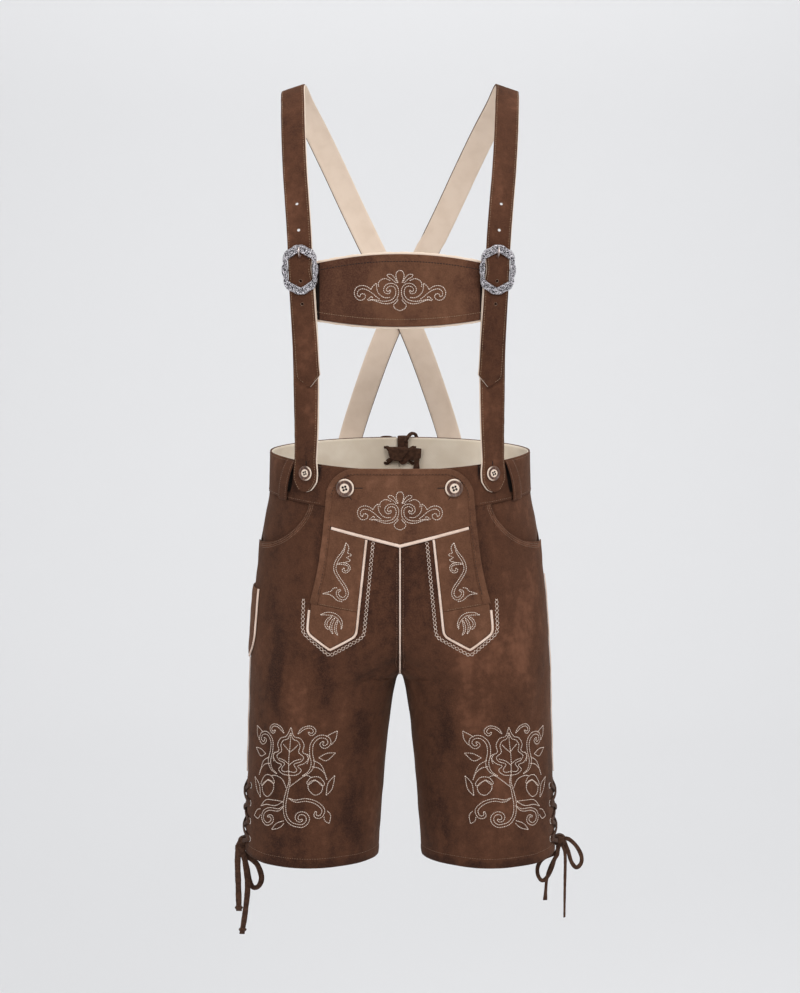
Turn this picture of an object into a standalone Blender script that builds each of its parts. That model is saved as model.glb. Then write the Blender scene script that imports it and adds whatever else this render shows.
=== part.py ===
"""Lederhosen: knee-length suede leather shorts with a drop front, shoulder straps and a chest bar.

Metres, +Z up.  +X is the viewer's right, the front faces -Y, and the origin lies midway between the two
places where the straps rest on the shoulders.  The cloth is a thin wall on one worn-out figure surface,
skin(side, angle, z): angle 0 is the front of a half, 90 degrees its side seam and 180 degrees its back.
Everything that lies on a panel is made from that surface, moved out.
"""
from collections import namedtuple
from math import asin, cos, pi, radians, sin

import bmesh
import bpy
import numpy as np
from mathutils import Vector

MM = 0.001
GAP = 0.3 * MM                  # clear space between two pieces that touch
HALF_GAP = GAP / 2

# ---------------------------------------------------------------- driving sizes
RIM_SIDE = -0.4724              # waist rim at the side seams
RIM_FRONT_DIP = 0.0148          # how much lower the rim is at the centre front
RIM_BACK_RISE = 0.0066          # and how much higher at the centre back
BAND_HEIGHT = 0.0525
HIP_LINE = -0.530               # below this the body starts to part into legs
CROTCH = -0.765
HEM = -1.005
LEG_SPREAD = 0.0284             # half the distance between the legs at the hem
LEG_SPREAD_POWER = 0.55
PARTING_POWER = 3.2             # how late the torso parts into two legs

SUEDE = 1.8 * MM
LINING = 1.0 * MM
STRAP_SUEDE = 1.6 * MM
STRAP_STACK = LINING + GAP + STRAP_SUEDE      # height of a strap's outer face
BAND_OUT = 1.0 * MM             # the waistband stands this far outside the panels
FLAP_LIFT_TOP = BAND_OUT + GAP  # the flap lies on the band at the top ...
FLAP_LIFT_LOW = 0.7 * MM        # ... and on the panel lower down
STRAP_WIDTH = 0.032

# half sections of the body: height, side, front and back reach, squareness of the outline
Section = namedtuple("Section", "z side front back power")
SECTIONS = [
    Section(-0.460, 0.1685, 0.1150, 0.1150, 2.35),
    Section(-0.500, 0.1693, 0.1153, 0.1165, 2.35),
    Section(-0.530, 0.1707, 0.1160, 0.1190, 2.35),
    Section(-0.562, 0.1770, 0.1175, 0.1240, 2.32),
    Section(-0.604, 0.1842, 0.1180, 0.1285, 2.30),
    Section(-0.646, 0.1893, 0.1180, 0.1325, 2.30),
    Section(-0.700, 0.1935, 0.1160, 0.1330, 2.25),
    Section(-0.765, 0.1968, 0.1090, 0.1230, 2.20),
    Section(-0.830, 0.1985, 0.1025, 0.1110, 2.15),
    Section(-0.900, 0.2008, 0.0960, 0.1010, 2.10),
    Section(-0.960, 0.2030, 0.0920, 0.0945, 2.07),
    Section(-1.010, 0.2045, 0.0890, 0.0910, 2.05),
]

# soft folds of both halves: +1 right, -1 left; angles in degrees along the half section;
# the height is the crest (+) or the bottom (-) of the fold, and it fades out at both ends
Fold = namedtuple("Fold", "side top bottom angle_top angle_bottom width height")
FOLDS = [
    Fold(+1, -0.770, -1.030, -38, -30, 13, -5.0 * MM),
    Fold(-1, -0.775, -1.030, -34, -28, 13, -4.6 * MM),
    Fold(+1, -0.800, -1.030, -2, 4, 16, 2.6 * MM),
    Fold(-1, -0.810, -1.030, 2, 6, 16, 2.4 * MM),
    Fold(+1, -0.700, -0.850, -58, 20, 12, -3.0 * MM),
    Fold(-1, -0.705, -0.860, -56, 16, 12, -2.8 * MM),
    Fold(+1, -0.560, -0.760, 62, 50, 12, -2.2 * MM),
    Fold(-1, -0.570, -0.770, 60, 52, 12, -2.0 * MM),
    Fold(+1, -0.700, -0.900, 205, 150, 14, -4.0 * MM),
    Fold(-1, -0.710, -0.920, 208, 146, 14, -3.8 * MM),
    Fold(+1, -0.760, -1.030, 218, 212, 14, -4.5 * MM),
    Fold(-1, -0.770, -1.030, 214, 208, 14, -4.2 * MM),
    Fold(+1, -0.600, -0.740, 120, 132, 13, -2.2 * MM),
    Fold(-1, -0.610, -0.750, 124, 130, 13, -2.0 * MM),
]

# vents at the outer hem corners, laced through four pairs of eyelets
VENT_TOP = -0.898
VENT_HALF = 0.0055
EYELET_SETBACK = 0.036          # from the side seam, along Y
EYELET_ROWS = (-0.9097, -0.9334, -0.9570, -0.9807)
EYELET_HOLE = 0.0074
LACE_RADIUS = 1.5 * MM          # where the lace is drawn through its eyelets
CORD_RADIUS = 2.6 * MM          # the free stretches, spread to their full width
CORD_RADIUS_THIN = 2.0 * MM

# the opening in the waistband at the centre back
NOTCH_TOP = 0.007
NOTCH_BOTTOM = 0.0012
BACK_EYELET_X = 0.021
BACK_EYELET_DROPS = (0.0135, 0.0345)

# front pockets: a quarter ellipse from the waist seam out to the side seam
POCKET_X = 0.1175
POCKET_DEPTH = 0.0585
POCKET_GAPE = 2.2 * MM

# the flap: outer edge, from its round corner to the end of its slit
FlapRow = namedtuple("FlapRow", "z edge rim")
FLAP_ROWS = [
    FlapRow(-0.5250, 0.0940, 0.0078),
    FlapRow(-0.5560, 0.0968, 0.0082),
    FlapRow(-0.6020, 0.1026, 0.0088),
    FlapRow(-0.6210, 0.1060, 0.0092),
    FlapRow(-0.6608, 0.1153, 0.0095),
]
FLAP_TOP = -0.4858
FLAP_CORNER = 0.0392
FLAP_THICK = 1.7 * MM
RIM_THICK = 2.3 * MM
YOKE_APEX = -0.5846             # the yoke ends in a shallow V
YOKE_SLOPE = 0.252
PIPING_WIDE = 4.4 * MM
PIPING = 3.2 * MM
PIPING_THICK = 2.2 * MM
SEAM_INNER = (0.0554, -0.6699)  # where the strip ends and the pointed patch starts
SEAM_OUTER = (0.1153, -0.6602)
POINT_PATH = [(0.0427, -0.5758), (0.0564, -0.7010), (0.0899, -0.7196), (0.1190, -0.6986), (0.1163, -0.6690)]

# knife pocket on the -X side seam
KNIFE_TOP = -0.6500
KNIFE_BOTTOM = -0.7415
KNIFE_HALF = 0.0400
KNIFE_THICK = 2.0 * MM
KNIFE_LIFT = 0.8 * MM           # clear of the side seam's curve

# chest bar
BAR_REACH = 0.1310
BAR_FRONT = -0.1200
BAR_CURVE = 0.0100
BAR_TOP = -0.2119
BAR_BOTTOM = -0.3038
BAR_SHOULDER = 0.1025
BAR_TOP_FALL = 0.0113
BAR_BOTTOM_RISE = 0.0086
BAR_EDGE = 2.4 * MM

# a strap's route: the point on its inner face and the way its outer face looks
Stop = namedtuple("Stop", "x y z out_x out_y out_z")
STRAP_FRONT_TO_BACK = [
    Stop(0.1150, -0.1086, -0.3810, 0.14, -1.0, 0.0),
    Stop(0.1180, -0.1110, -0.3600, 0.14, -1.0, 0.0),
    Stop(0.1205, -0.1148, -0.3200, 0.12, -1.0, 0.0),
    Stop(0.1235, -0.1162, -0.2790, 0.12, -1.0, 0.0),
    Stop(0.1250, -0.1170, -0.2540, 0.12, -1.0, 0.0),
    Stop(0.1262, -0.1179, -0.2314, 0.12, -1.0, 0.0),
    Stop(0.1270, -0.1155, -0.2070, 0.12, -1.0, 0.1),
    Stop(0.1282, -0.1118, -0.1830, 0.12, -1.0, 0.2),
    Stop(0.1308, -0.1010, -0.1470, 0.14, -1.0, 0.3),
    Stop(0.1338, -0.0840, -0.1080, 0.18, -1.0, 0.5),
    Stop(0.1362, -0.0600, -0.0650, 0.24, -1.0, 0.9),
    Stop(0.1375, -0.0330, -0.0280, 0.30, -0.8, 1.2),
    Stop(0.1372, 0.0000, -0.0045, 0.34, 0.0, 1.0),
    Stop(0.1265, 0.0330, -0.0280, 0.30, 0.8, 1.0),
    Stop(0.1085, 0.0610, -0.0640, 0.20, 1.0, 0.7),
    Stop(0.0860, 0.0860, -0.1120, 0.12, 1.0, 0.4),
    Stop(0.0600, 0.1030, -0.1690, 0.05, 1.0, 0.2),
    Stop(0.0290, 0.1125, -0.2330, 0.0, 1.0, 0.0),
    Stop(0.0000, 0.1160, -0.2900, 0.0, 1.0, 0.0),
    Stop(-0.0240, 0.1175, -0.3450, 0.0, 1.0, 0.0),
    Stop(-0.0440, 0.1172, -0.4000, -0.1, 1.0, 0.0),
    Stop(-0.0610, 0.1160, -0.4520, -0.2, 1.0, 0.0),
]
STRAP_SEATS = ((-0.0695, -0.4860), (-0.0755, -0.5150))      # x and z of the last stops, on the back band
CROSSING = {16: 0.8 * MM, 17: 3.7 * MM, 18: 4.2 * MM, 19: 3.7 * MM, 20: 0.8 * MM}
LOWER_STRAP = [
    Stop(0.1262, -0.1114, -0.2255, 0.12, -1.0, 0.0),
    Stop(0.1248, -0.1115, -0.2540, 0.12, -1.0, 0.0),
    Stop(0.1222, -0.1118, -0.2990, 0.12, -1.0, 0.0),
    Stop(0.1204, -0.1080, -0.3400, 0.15, -1.0, 0.0),
    Stop(0.1198, -0.1030, -0.3900, 0.25, -1.0, 0.0),
    Stop(0.1196, -0.0975, -0.4400, 0.45, -1.0, 0.0),
]
LOWER_SEATS = ((0.1196, -0.4760), (0.1200, -0.4950), (0.1212, -0.5175))
STRAP_HOLE = 4.0 * MM
STRAP_HOLES = (-0.1478, -0.1806, -0.2137, -0.2462, -0.2776)

# buckle, in the strap's own plane: u across, v up, w out
BUCKLE_Z = -0.2314
BUCKLE_HALF_WIDE = 0.0232
BUCKLE_HALF_HIGH = 0.0312
BUCKLE_BAND = 0.0060
BUCKLE_BACK = 3.25 * MM         # height of the frame's back over the strap's inner face
BUCKLE_THICK = 3.4 * MM
PRONG_RADIUS = 1.1 * MM

FLAP_BUTTON = (0.0691, -0.5105, 0.0235)     # x, z, diameter
STRAP_BUTTON_Z = -0.4950
STRAP_BUTTON_SIZE = 0.0165
BUTTON_THICK = 3.2 * MM

# belt loops: the front pair's distance from the centre, and the back pair's
BELT_LOOP_XS = (0.1443, 0.1150)
BELT_LOOP_WIDE = 0.0100
BELT_LOOP_STAND = 2.6 * MM

# ---------------------------------------------------------------- materials
Finish = namedtuple("Finish", "colour roughness metallic")
FINISHES = {
    "suede": Finish((0.098, 0.047, 0.028), 0.92, 0.0),
    "suede_light": Finish((0.125, 0.060, 0.034), 0.92, 0.0),
    "strap_lining": Finish((0.620, 0.520, 0.410), 0.80, 0.0),
    "band_lining": Finish((0.440, 0.380, 0.300), 0.85, 0.0),
    "piping": Finish((0.850, 0.700, 0.560), 0.60, 0.0),
    "lace": Finish((0.050, 0.026, 0.018), 0.90, 0.0),
    "silver": Finish((0.420, 0.410, 0.400), 0.35, 1.0),
    "horn": Finish((0.210, 0.120, 0.075), 0.35, 0.0),
}


def clear_scene():
    for old in list(bpy.data.objects):
        bpy.data.objects.remove(old, do_unlink=True)


def material(name):
    found = bpy.data.materials.get(name)
    if found:
        return found
    made = bpy.data.materials.new(name)
    made.use_nodes = True
    shader = made.node_tree.nodes["Principled BSDF"]
    finish = FINISHES[name]
    shader.inputs["Base Color"].default_value = (*finish.colour, 1)
    shader.inputs["Roughness"].default_value = finish.roughness
    shader.inputs["Metallic"].default_value = finish.metallic
    return made


def add_mesh(name, points, faces, finish, smooth_angle=None):
    """One closed solid from points and faces, with its faces turned outwards."""
    mesh = bpy.data.meshes.new(name)
    shape = bmesh.new()
    corners = [shape.verts.new(Vector(p)) for p in points]
    for face in faces:
        shape.faces.new([corners[i] for i in face])
    bmesh.ops.recalc_face_normals(shape, faces=shape.faces)
    shape.to_mesh(mesh)
    shape.free()
    mesh.materials.append(material(finish))
    if smooth_angle:
        mesh.shade_smooth()
        mesh.set_sharp_from_angle(angle=radians(smooth_angle))
    made = bpy.data.objects.new(name, mesh)
    bpy.context.scene.collection.objects.link(made)
    return made


# ---------------------------------------------------------------- the figure surface
def smooth_table(rows, key, column, at):
    """A column of a table read between its rows along a smooth curve."""
    xs = np.array([getattr(r, key) for r in rows])
    ys = np.array([getattr(r, column) for r in rows])
    if xs[0] > xs[-1]:
        xs, ys = xs[::-1], ys[::-1]
    slopes = np.gradient(ys, xs)
    at = min(max(at, xs[0]), xs[-1])
    i = min(int(np.searchsorted(xs, at, side="right")) - 1, len(xs) - 2)
    width = xs[i + 1] - xs[i]
    t = (at - xs[i]) / width
    rise = ys[i] * (2 * t**3 - 3 * t**2 + 1) + ys[i + 1] * (3 * t**2 - 2 * t**3)
    return float(rise + width * (slopes[i] * (t**3 - 2 * t**2 + t) + slopes[i + 1] * (t**3 - t**2)))


Outline = namedtuple("Outline", "centre half front back power parted")


def outline(z):
    """The half section at height z: its centre and half width along X, and its reach to front and back."""
    columns = ("side", "front", "back", "power")
    side, front, back, power = (smooth_table(SECTIONS, "z", column, z) for column in columns)
    if z > CROTCH:
        parted = max(0.0, (HIP_LINE - z) / (HIP_LINE - CROTCH)) ** PARTING_POWER
        half = side / (1 + parted)
        return Outline(parted * half, half, front, back, power, parted)
    inner = max(HALF_GAP, LEG_SPREAD * ((CROTCH - z) / (CROTCH - HEM)) ** LEG_SPREAD_POWER)
    return Outline((side + inner) / 2, (side - inner) / 2, front, back, power, 1.0)


def bare_skin(side, angle, z):
    shape = outline(z)
    across = sin(angle)
    reach = shape.front if cos(angle) > 0 else -shape.back
    depth = -reach * (1 - min(1.0, abs(across)) ** shape.power) ** (1 / shape.power)
    return np.array([side * (shape.centre + shape.half * across), depth, z])


def fold_height(side, angle, z):
    height = 0.0
    for fold in FOLDS:
        if fold.side != side or not fold.bottom < z < fold.top:
            continue
        along = (fold.top - z) / (fold.top - fold.bottom)
        middle = radians(fold.angle_top + (fold.angle_bottom - fold.angle_top) * along)
        off = (angle - middle) / radians(fold.width)
        height += fold.height * sin(pi * along) ** 0.8 * np.exp(-(off**2))
    return height


def skin(side, angle, z):
    """A point of the cloth's outer surface and the direction that faces out of it."""
    step_angle, step_z = 0.01, 0.0015
    here = bare_skin(side, angle, z)
    along = bare_skin(side, angle + step_angle, z) - bare_skin(side, angle - step_angle, z)
    up = bare_skin(side, angle, z + step_z) - bare_skin(side, angle, z - step_z)
    normal = np.cross(along, up) * side
    normal /= np.linalg.norm(normal)
    return here + normal * fold_height(side, angle, z), normal


def angle_at_x(x, z):
    """The angle of the front surface at a distance x from the centre."""
    shape = outline(z)
    return asin(max(-1.0, min(1.0, (abs(x) - shape.centre) / shape.half)))


def angle_at_y(y, z):
    """The angle near the side seam at depth y, front or back."""
    shape = outline(z)
    reach = shape.front if y < 0 else shape.back
    across = (1 - (abs(y) / reach) ** shape.power) ** (1 / shape.power)
    return asin(across) if y < 0 else pi - asin(across)


def inseam_angle(y, z):
    """The angle of the inner leg at depth y, in front of the inseam or behind it."""
    shape = outline(z)
    reach = shape.front if y < 0 else shape.back
    across = (1 - (abs(y) / reach) ** shape.power) ** (1 / shape.power)
    return -asin(across) if y < 0 else pi + asin(across)


def front_start(z):
    """The angle where the front panel starts: the centre seam, and below the crotch the inseam."""
    if z > CROTCH:
        return angle_at_x(HALF_GAP, z)
    return inseam_angle(-HALF_GAP, z)


def back_end(z):
    if z > CROTCH:
        return pi - angle_at_x(HALF_GAP, z)
    return inseam_angle(HALF_GAP, z)


def rim_height(angle):
    """Height of the waist rim."""
    facing = cos(angle)
    if facing > 0:
        return RIM_SIDE - RIM_FRONT_DIP * facing**2
    return RIM_SIDE + RIM_BACK_RISE * facing**2


def seam_height(angle):
    return rim_height(angle) - BAND_HEIGHT


def vent_half(z):
    """Half the distance between front and back at the side seam."""
    if z > VENT_TOP:
        return HALF_GAP
    return HALF_GAP + VENT_HALF * min(1.0, (VENT_TOP - z) / 0.035) ** 0.7


def flap_lift(z):
    """The flap leaves the waistband and comes to lie on the panel."""
    ease = min(1.0, max(0.0, (-0.560 - z) / 0.080))
    return FLAP_LIFT_TOP + (FLAP_LIFT_LOW - FLAP_LIFT_TOP) * ease * ease * (3 - 2 * ease)


def on_front(x, z, out):
    """The point of the front surface at x and z, moved out."""
    side = -1 if x < 0 else 1
    point, normal = skin(side, angle_at_x(x, z), z)
    if abs(x) < 0.004:
        normal = np.array([0.0, normal[1], normal[2]])
        normal /= np.linalg.norm(normal)
        point = np.array([x, point[1], point[2]])
    return point + normal * out


def on_side(side, y, z, out):
    point, normal = skin(side, angle_at_y(y, z), z)
    return point + normal * out


# ---------------------------------------------------------------- walls, ribbons and tubes
def grid_wall(name, outer, inner, finish, smooth_angle=50):
    """A closed wall between two grids of points of the same size."""
    rows, columns = len(outer), len(outer[0])
    points = [p for row in outer for p in row] + [p for row in inner for p in row]
    behind = rows * columns
    faces = []
    for i in range(rows - 1):
        for j in range(columns - 1):
            a = i * columns + j
            for half in ((a, a + 1, a + columns + 1), (a, a + columns + 1, a + columns)):
                faces.append(half)
                faces.append(tuple(behind + k for k in reversed(half)))
    border = [(0, j) for j in range(columns)] + [(i, columns - 1) for i in range(1, rows)]
    border += [(rows - 1, j) for j in range(columns - 2, -1, -1)] + [(i, 0) for i in range(rows - 2, 0, -1)]
    ring = [i * columns + j for i, j in border]
    for a, b in zip(ring, ring[1:] + ring[:1]):
        faces.append((b, a, behind + a, behind + b))
    return add_mesh(name, points, faces, finish, smooth_angle)


def between(top, bottom, rows):
    """A grid of (x, z) places between a top and a bottom line with the same number of points."""
    grid = []
    for i in range(rows + 1):
        t = i / rows
        grid.append([(a[0] + (b[0] - a[0]) * t, a[1] + (b[1] - a[1]) * t) for a, b in zip(top, bottom)])
    return grid


def front_patch(name, places, low, high, finish):
    """A piece of cloth on the front, from a grid of places and its two faces' heights (functions of z)."""
    outer = [[on_front(x, z, high(z)) for x, z in row] for row in places]
    inner = [[on_front(x, z, low(z)) for x, z in row] for row in places]
    return grid_wall(name, outer, inner, finish)


def loft(name, rings, finish, closed_loop=False, smooth_angle=50):
    """A solid through rings of equal size, capped unless the last ring joins the first."""
    size = len(rings[0])
    points = [p for ring in rings for p in ring]
    faces = []
    count = len(rings) if closed_loop else len(rings) - 1
    for i in range(count):
        here, there = i * size, (i + 1) % len(rings) * size
        for j in range(size):
            k = (j + 1) % size
            faces.append((here + j, here + k, there + k))
            faces.append((here + j, there + k, there + j))
    if not closed_loop:
        faces.append(tuple(reversed(range(size))))
        faces.append(tuple((len(rings) - 1) * size + j for j in range(size)))
    return add_mesh(name, points, faces, finish, smooth_angle)


def catmull(stops, steps):
    """A smooth curve through rows of numbers, with the same number of steps in each interval."""
    rows = np.array(stops, dtype=float)
    padded = np.vstack([2 * rows[0] - rows[1], rows, 2 * rows[-1] - rows[-2]])
    made = []
    for i in range(1, len(padded) - 2):
        p0, p1, p2, p3 = padded[i - 1:i + 3]
        for s in range(steps):
            t = s / steps
            made.append(0.5 * (2 * p1 + (p2 - p0) * t + (2 * p0 - 5 * p1 + 4 * p2 - p3) * t**2
                               + (3 * p1 - p0 - 3 * p2 + p3) * t**3))
    made.append(rows[-1])
    return np.array(made)


def evenly(path, spacing):
    """Points along a fine path at an even spacing, ends kept."""
    path = np.array(path)
    lengths = np.concatenate([[0], np.cumsum(np.linalg.norm(np.diff(path[:, :3], axis=0), axis=1))])
    count = max(2, int(round(lengths[-1] / spacing)) + 1)
    at = np.linspace(0, lengths[-1], count)
    return np.column_stack([np.interp(at, lengths, path[:, c]) for c in range(path.shape[1])])


def ribbon(name, frames, half_widths, low, high, finish):
    """A flat strap along its frames, between two heights over its inner face."""
    outer, inner = [], []
    for (point, across, out, _), half in zip(frames, half_widths):
        near, far = point - across * half, point + across * half
        outer.append([near + out * high, far + out * high])
        inner.append([near + out * low, far + out * low])
    return grid_wall(name, outer, inner, finish, smooth_angle=30)


def sweep(name, path, outs, half_wide, half_thick, finish, sides=8):
    """A rounded thong along a path, its flat side facing the given directions."""
    path = np.array(path)
    rings = []
    for i, point in enumerate(path):
        ahead = path[min(i + 1, len(path) - 1)] - path[max(i - 1, 0)]
        ahead /= np.linalg.norm(ahead)
        across = np.cross(ahead, outs[i])
        across /= np.linalg.norm(across)
        out = np.cross(across, ahead)
        ring = []
        for s in range(sides):
            turn = 2 * pi * (s + 0.5) / sides
            ring.append(point + across * half_wide * cos(turn) + out * half_thick * sin(turn))
        rings.append(ring)
    return loft(name, rings, finish)


def front_piping(name, path, width, low, finish="piping"):
    """A piping cord lying along a path of (x, z) places on the front."""
    rings = []
    path = np.array(path)
    for i, (x, z) in enumerate(path):
        ahead = path[min(i + 1, len(path) - 1)] - path[max(i - 1, 0)]
        ahead = ahead / np.linalg.norm(ahead)
        across = np.array([-ahead[1], ahead[0]]) * width / 2
        ring = []
        for place, out in ((-1, 0.0), (1, 0.0), (1, 0.65), (0, 1.0), (-1, 0.65)):
            ring.append(on_front(x + across[0] * place, z + across[1] * place, low(z) + PIPING_THICK * out))
        rings.append(ring)
    return loft(name, rings, finish)


def turned(name, centre, out, up, profile, finish, sides=14):
    """A round piece turned about its own axis; the profile gives radius and height, base first."""
    out = out / np.linalg.norm(out)
    across = np.cross(up, out)
    across /= np.linalg.norm(across)
    up = np.cross(out, across)
    rings = []
    for radius, height in profile:
        ring = []
        for s in range(sides):
            turn = 2 * pi * s / sides
            ring.append(centre + out * height + (across * cos(turn) + up * sin(turn)) * radius)
        rings.append(ring)
    return loft(name, rings, finish, smooth_angle=35)


def cutter_at(name, places, radius, depth):
    """Round cutters, joined in one guide, at places of (point, direction)."""
    shape = bmesh.new()
    for point, out in places:
        turn = Vector(out).to_track_quat("Z", "Y").to_matrix().to_4x4()
        turn.translation = Vector(point)
        bmesh.ops.create_cone(shape, cap_ends=True, segments=12, radius1=radius, radius2=radius,
                              depth=depth, matrix=turn)
    mesh = bpy.data.meshes.new(name)
    shape.to_mesh(mesh)
    shape.free()
    guide = bpy.data.objects.new(name, mesh)
    bpy.context.scene.collection.objects.link(guide)
    guide.hide_render = True
    guide.display_type = "WIRE"
    return guide


def cut(target, guide):
    """Take the cutters out of a solid."""
    boolean = target.modifiers.new("holes", "BOOLEAN")
    boolean.operation = "DIFFERENCE"
    boolean.solver = "EXACT"
    boolean.object = guide


def cord(name, stops, radius=CORD_RADIUS):
    """A free stretch of lace: one smooth curve with filled ends."""
    points = evenly(catmull(stops, 10), 2.4 * 2 * radius)
    curve = bpy.data.curves.new(name, "CURVE")
    curve.dimensions = "3D"
    curve.bevel_depth = radius
    curve.bevel_resolution = 2
    curve.use_fill_caps = True
    spline = curve.splines.new("POLY")
    spline.points.add(len(points) - 1)
    for place, point in zip(spline.points, points):
        place.co = (*point, 1)
    curve.materials.append(material("lace"))
    made = bpy.data.objects.new(name, curve)
    bpy.context.scene.collection.objects.link(made)
    return made


# ---------------------------------------------------------------- panels
INNER_COLUMNS = 5               # from the centre to the pocket
POCKET_TURNS = (0, 18, 36, 54, 68)      # degrees along the pocket's edge
BACK_COLUMNS = 9
LEVELS = (-0.627, -0.662, -0.694, -0.719, -0.738, -0.750, -0.759, CROTCH,
          -0.775, -0.797, -0.830, -0.865, -0.897, -0.918, -0.948, -0.977, HEM)
UPPER_ROWS = 3
HEM_DIP = 0.0045                # the hem hangs lower at the middle of each leg's front


def pocket_edge(turn, wider=0.0):
    """The pocket's edge as x and z; turn goes from 0 at the waist seam to 90 degrees at the side seam."""
    start_z = seam_height(angle_at_x(POCKET_X, HIP_LINE)) - HALF_GAP
    end_x = outline(start_z - POCKET_DEPTH).half * 1.001
    x = end_x - (end_x - POCKET_X + wider) * cos(turn)
    return x, start_z - (POCKET_DEPTH + wider) * sin(turn)


def front_top():
    """(angle, z, gape) along the front panel's upper edge: the waist seam, then the pocket's edge."""
    start = angle_at_x(HALF_GAP, HIP_LINE)
    end = angle_at_x(POCKET_X, HIP_LINE)
    edge = []
    for i in range(INNER_COLUMNS):
        angle = start + (end - start) * i / INNER_COLUMNS
        edge.append((angle, seam_height(angle) - HALF_GAP, 0.0))
    for degrees in POCKET_TURNS:
        x, z = pocket_edge(radians(degrees))
        edge.append((angle_at_x(x, z), z, POCKET_GAPE * sin(radians(degrees)) ** 2))
    low_z = pocket_edge(pi / 2)[1]
    rest = edge[-1][1] - low_z
    for depth, share in ((-0.040, 0.30), (-0.020, 0.08), (-HALF_GAP, 0.0)):
        z = low_z + rest * share
        edge.append((angle_at_y(depth, z), z, POCKET_GAPE))
    return edge


def back_top():
    start, end = angle_at_y(HALF_GAP, HIP_LINE), pi - angle_at_x(HALF_GAP, HIP_LINE)
    edge = []
    for i in range(BACK_COLUMNS + 1):
        angle = start + (end - start) * i / BACK_COLUMNS
        edge.append((angle, seam_height(angle) - HALF_GAP, 0.0))
    return edge


def panel(name, side, top, start_of, end_of, finish):
    """A body panel from its upper edge through the levels down to the hem."""
    first, last = top[0][0], top[-1][0]
    shares = [(angle - first) / (last - first) for angle, _, _ in top]
    outer, inner = [], []
    for row in range(UPPER_ROWS + len(LEVELS)):
        level = LEVELS[max(0, row - UPPER_ROWS)]
        down = min(1.0, row / UPPER_ROWS)
        outer_row, inner_row = [], []
        for share, (top_angle, top_z, gape) in zip(shares, top):
            z = top_z + (level - top_z) * down
            angle = start_of(z) + (end_of(z) - start_of(z)) * share
            angle = top_angle + (angle - top_angle) * down
            z -= HEM_DIP * max(0.0, (z - LEVELS[-2]) / (HEM - LEVELS[-2])) * max(0.0, cos(angle)) ** 2
            point, normal = skin(side, angle, z)
            lift = gape * (1 - down) ** 1.5
            outer_row.append(point + normal * lift)
            inner_row.append(point + normal * (lift - SUEDE))
        outer.append(outer_row)
        inner.append(inner_row)
    return grid_wall(name, outer, inner, finish)


def eyelet_places(side, facing):
    """Where the vent's eyelets are in a front (-1) or back (+1) panel, with the way out."""
    return [(side, facing * EYELET_SETBACK, z) for z in EYELET_ROWS]


def body_panels():
    for side, label in ((1, "right"), (-1, "left")):
        front = panel(f"front_{label}", side, front_top(), front_start,
                      lambda z: angle_at_y(-vent_half(z), z), "suede")
        back = panel(f"back_{label}", side, back_top(), lambda z: angle_at_y(vent_half(z), z),
                     back_end, "suede")
        for cloth, facing in ((front, -1), (back, 1)):
            places = []
            for _, y, z in eyelet_places(side, facing):
                places.append(skin(side, angle_at_y(y, z), z))
            cut(cloth, cutter_at(f"eyelet_cutter_{cloth.name}", places, EYELET_HOLE / 2, 12 * MM))


def pocket_bearers():
    """The piece behind each front pocket's mouth."""
    hidden = 0.009
    columns, rows = 8, 4
    for side, label in ((1, "right"), (-1, "left")):
        first = angle_at_x(POCKET_X - hidden, HIP_LINE)
        outer, inner = [], []
        for row in range(rows + 1):
            outer_row, inner_row = [], []
            for i in range(columns + 1):
                turn = pi / 2 * i / columns
                top_angle = first + (angle_at_y(-HALF_GAP, HIP_LINE) - first) * i / columns
                top_z = seam_height(top_angle) - HALF_GAP
                x, z = pocket_edge(turn, hidden)
                z -= hidden * cos(turn)
                low_angle = angle_at_x(x, z) if i < columns else angle_at_y(-HALF_GAP, z)
                angle = top_angle + (low_angle - top_angle) * row / rows
                point, normal = skin(side, angle, top_z + (z - top_z) * row / rows)
                outer_row.append(point - normal * (SUEDE + 1.3 * MM))
                inner_row.append(point - normal * (SUEDE + 2.7 * MM))
            outer.append(outer_row)
            inner.append(inner_row)
        grid_wall(f"pocket_bearer_{label}", outer, inner, "suede")


def notch_half(z):
    share = min(1.0, max(0.0, (z - (RIM_SIDE - BAND_HEIGHT)) / BAND_HEIGHT))
    return NOTCH_BOTTOM + (NOTCH_TOP - NOTCH_BOTTOM) * share


def back_point(x, z, out):
    """The point of the back surface at x and z, moved out, and the way out."""
    side = -1 if x < 0 else 1
    point, normal = skin(side, pi - angle_at_x(x, z), z)
    return point + normal * out, normal


def waistband_half(name, side, high, low, drop, raise_low, finish):
    columns, rows = 19, 2
    outer, inner = [], []
    for row in range(rows + 1):
        outer_row, inner_row = [], []
        for i in range(columns + 1):
            middle = RIM_SIDE - BAND_HEIGHT * row / rows
            start, end = angle_at_x(HALF_GAP, middle), pi - angle_at_x(notch_half(middle), middle)
            angle = start + (end - start) * i / columns
            top, bottom = rim_height(angle) - drop, seam_height(angle) + raise_low
            point, normal = skin(side, angle, top + (bottom - top) * row / rows)
            outer_row.append(point + normal * high)
            inner_row.append(point + normal * low)
        outer.append(outer_row)
        inner.append(inner_row)
    return grid_wall(name, outer, inner, finish)


def back_eyelets():
    rim = RIM_SIDE + RIM_BACK_RISE
    return [(x, rim - drop) for x in (-BACK_EYELET_X, BACK_EYELET_X) for drop in BACK_EYELET_DROPS]


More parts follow.
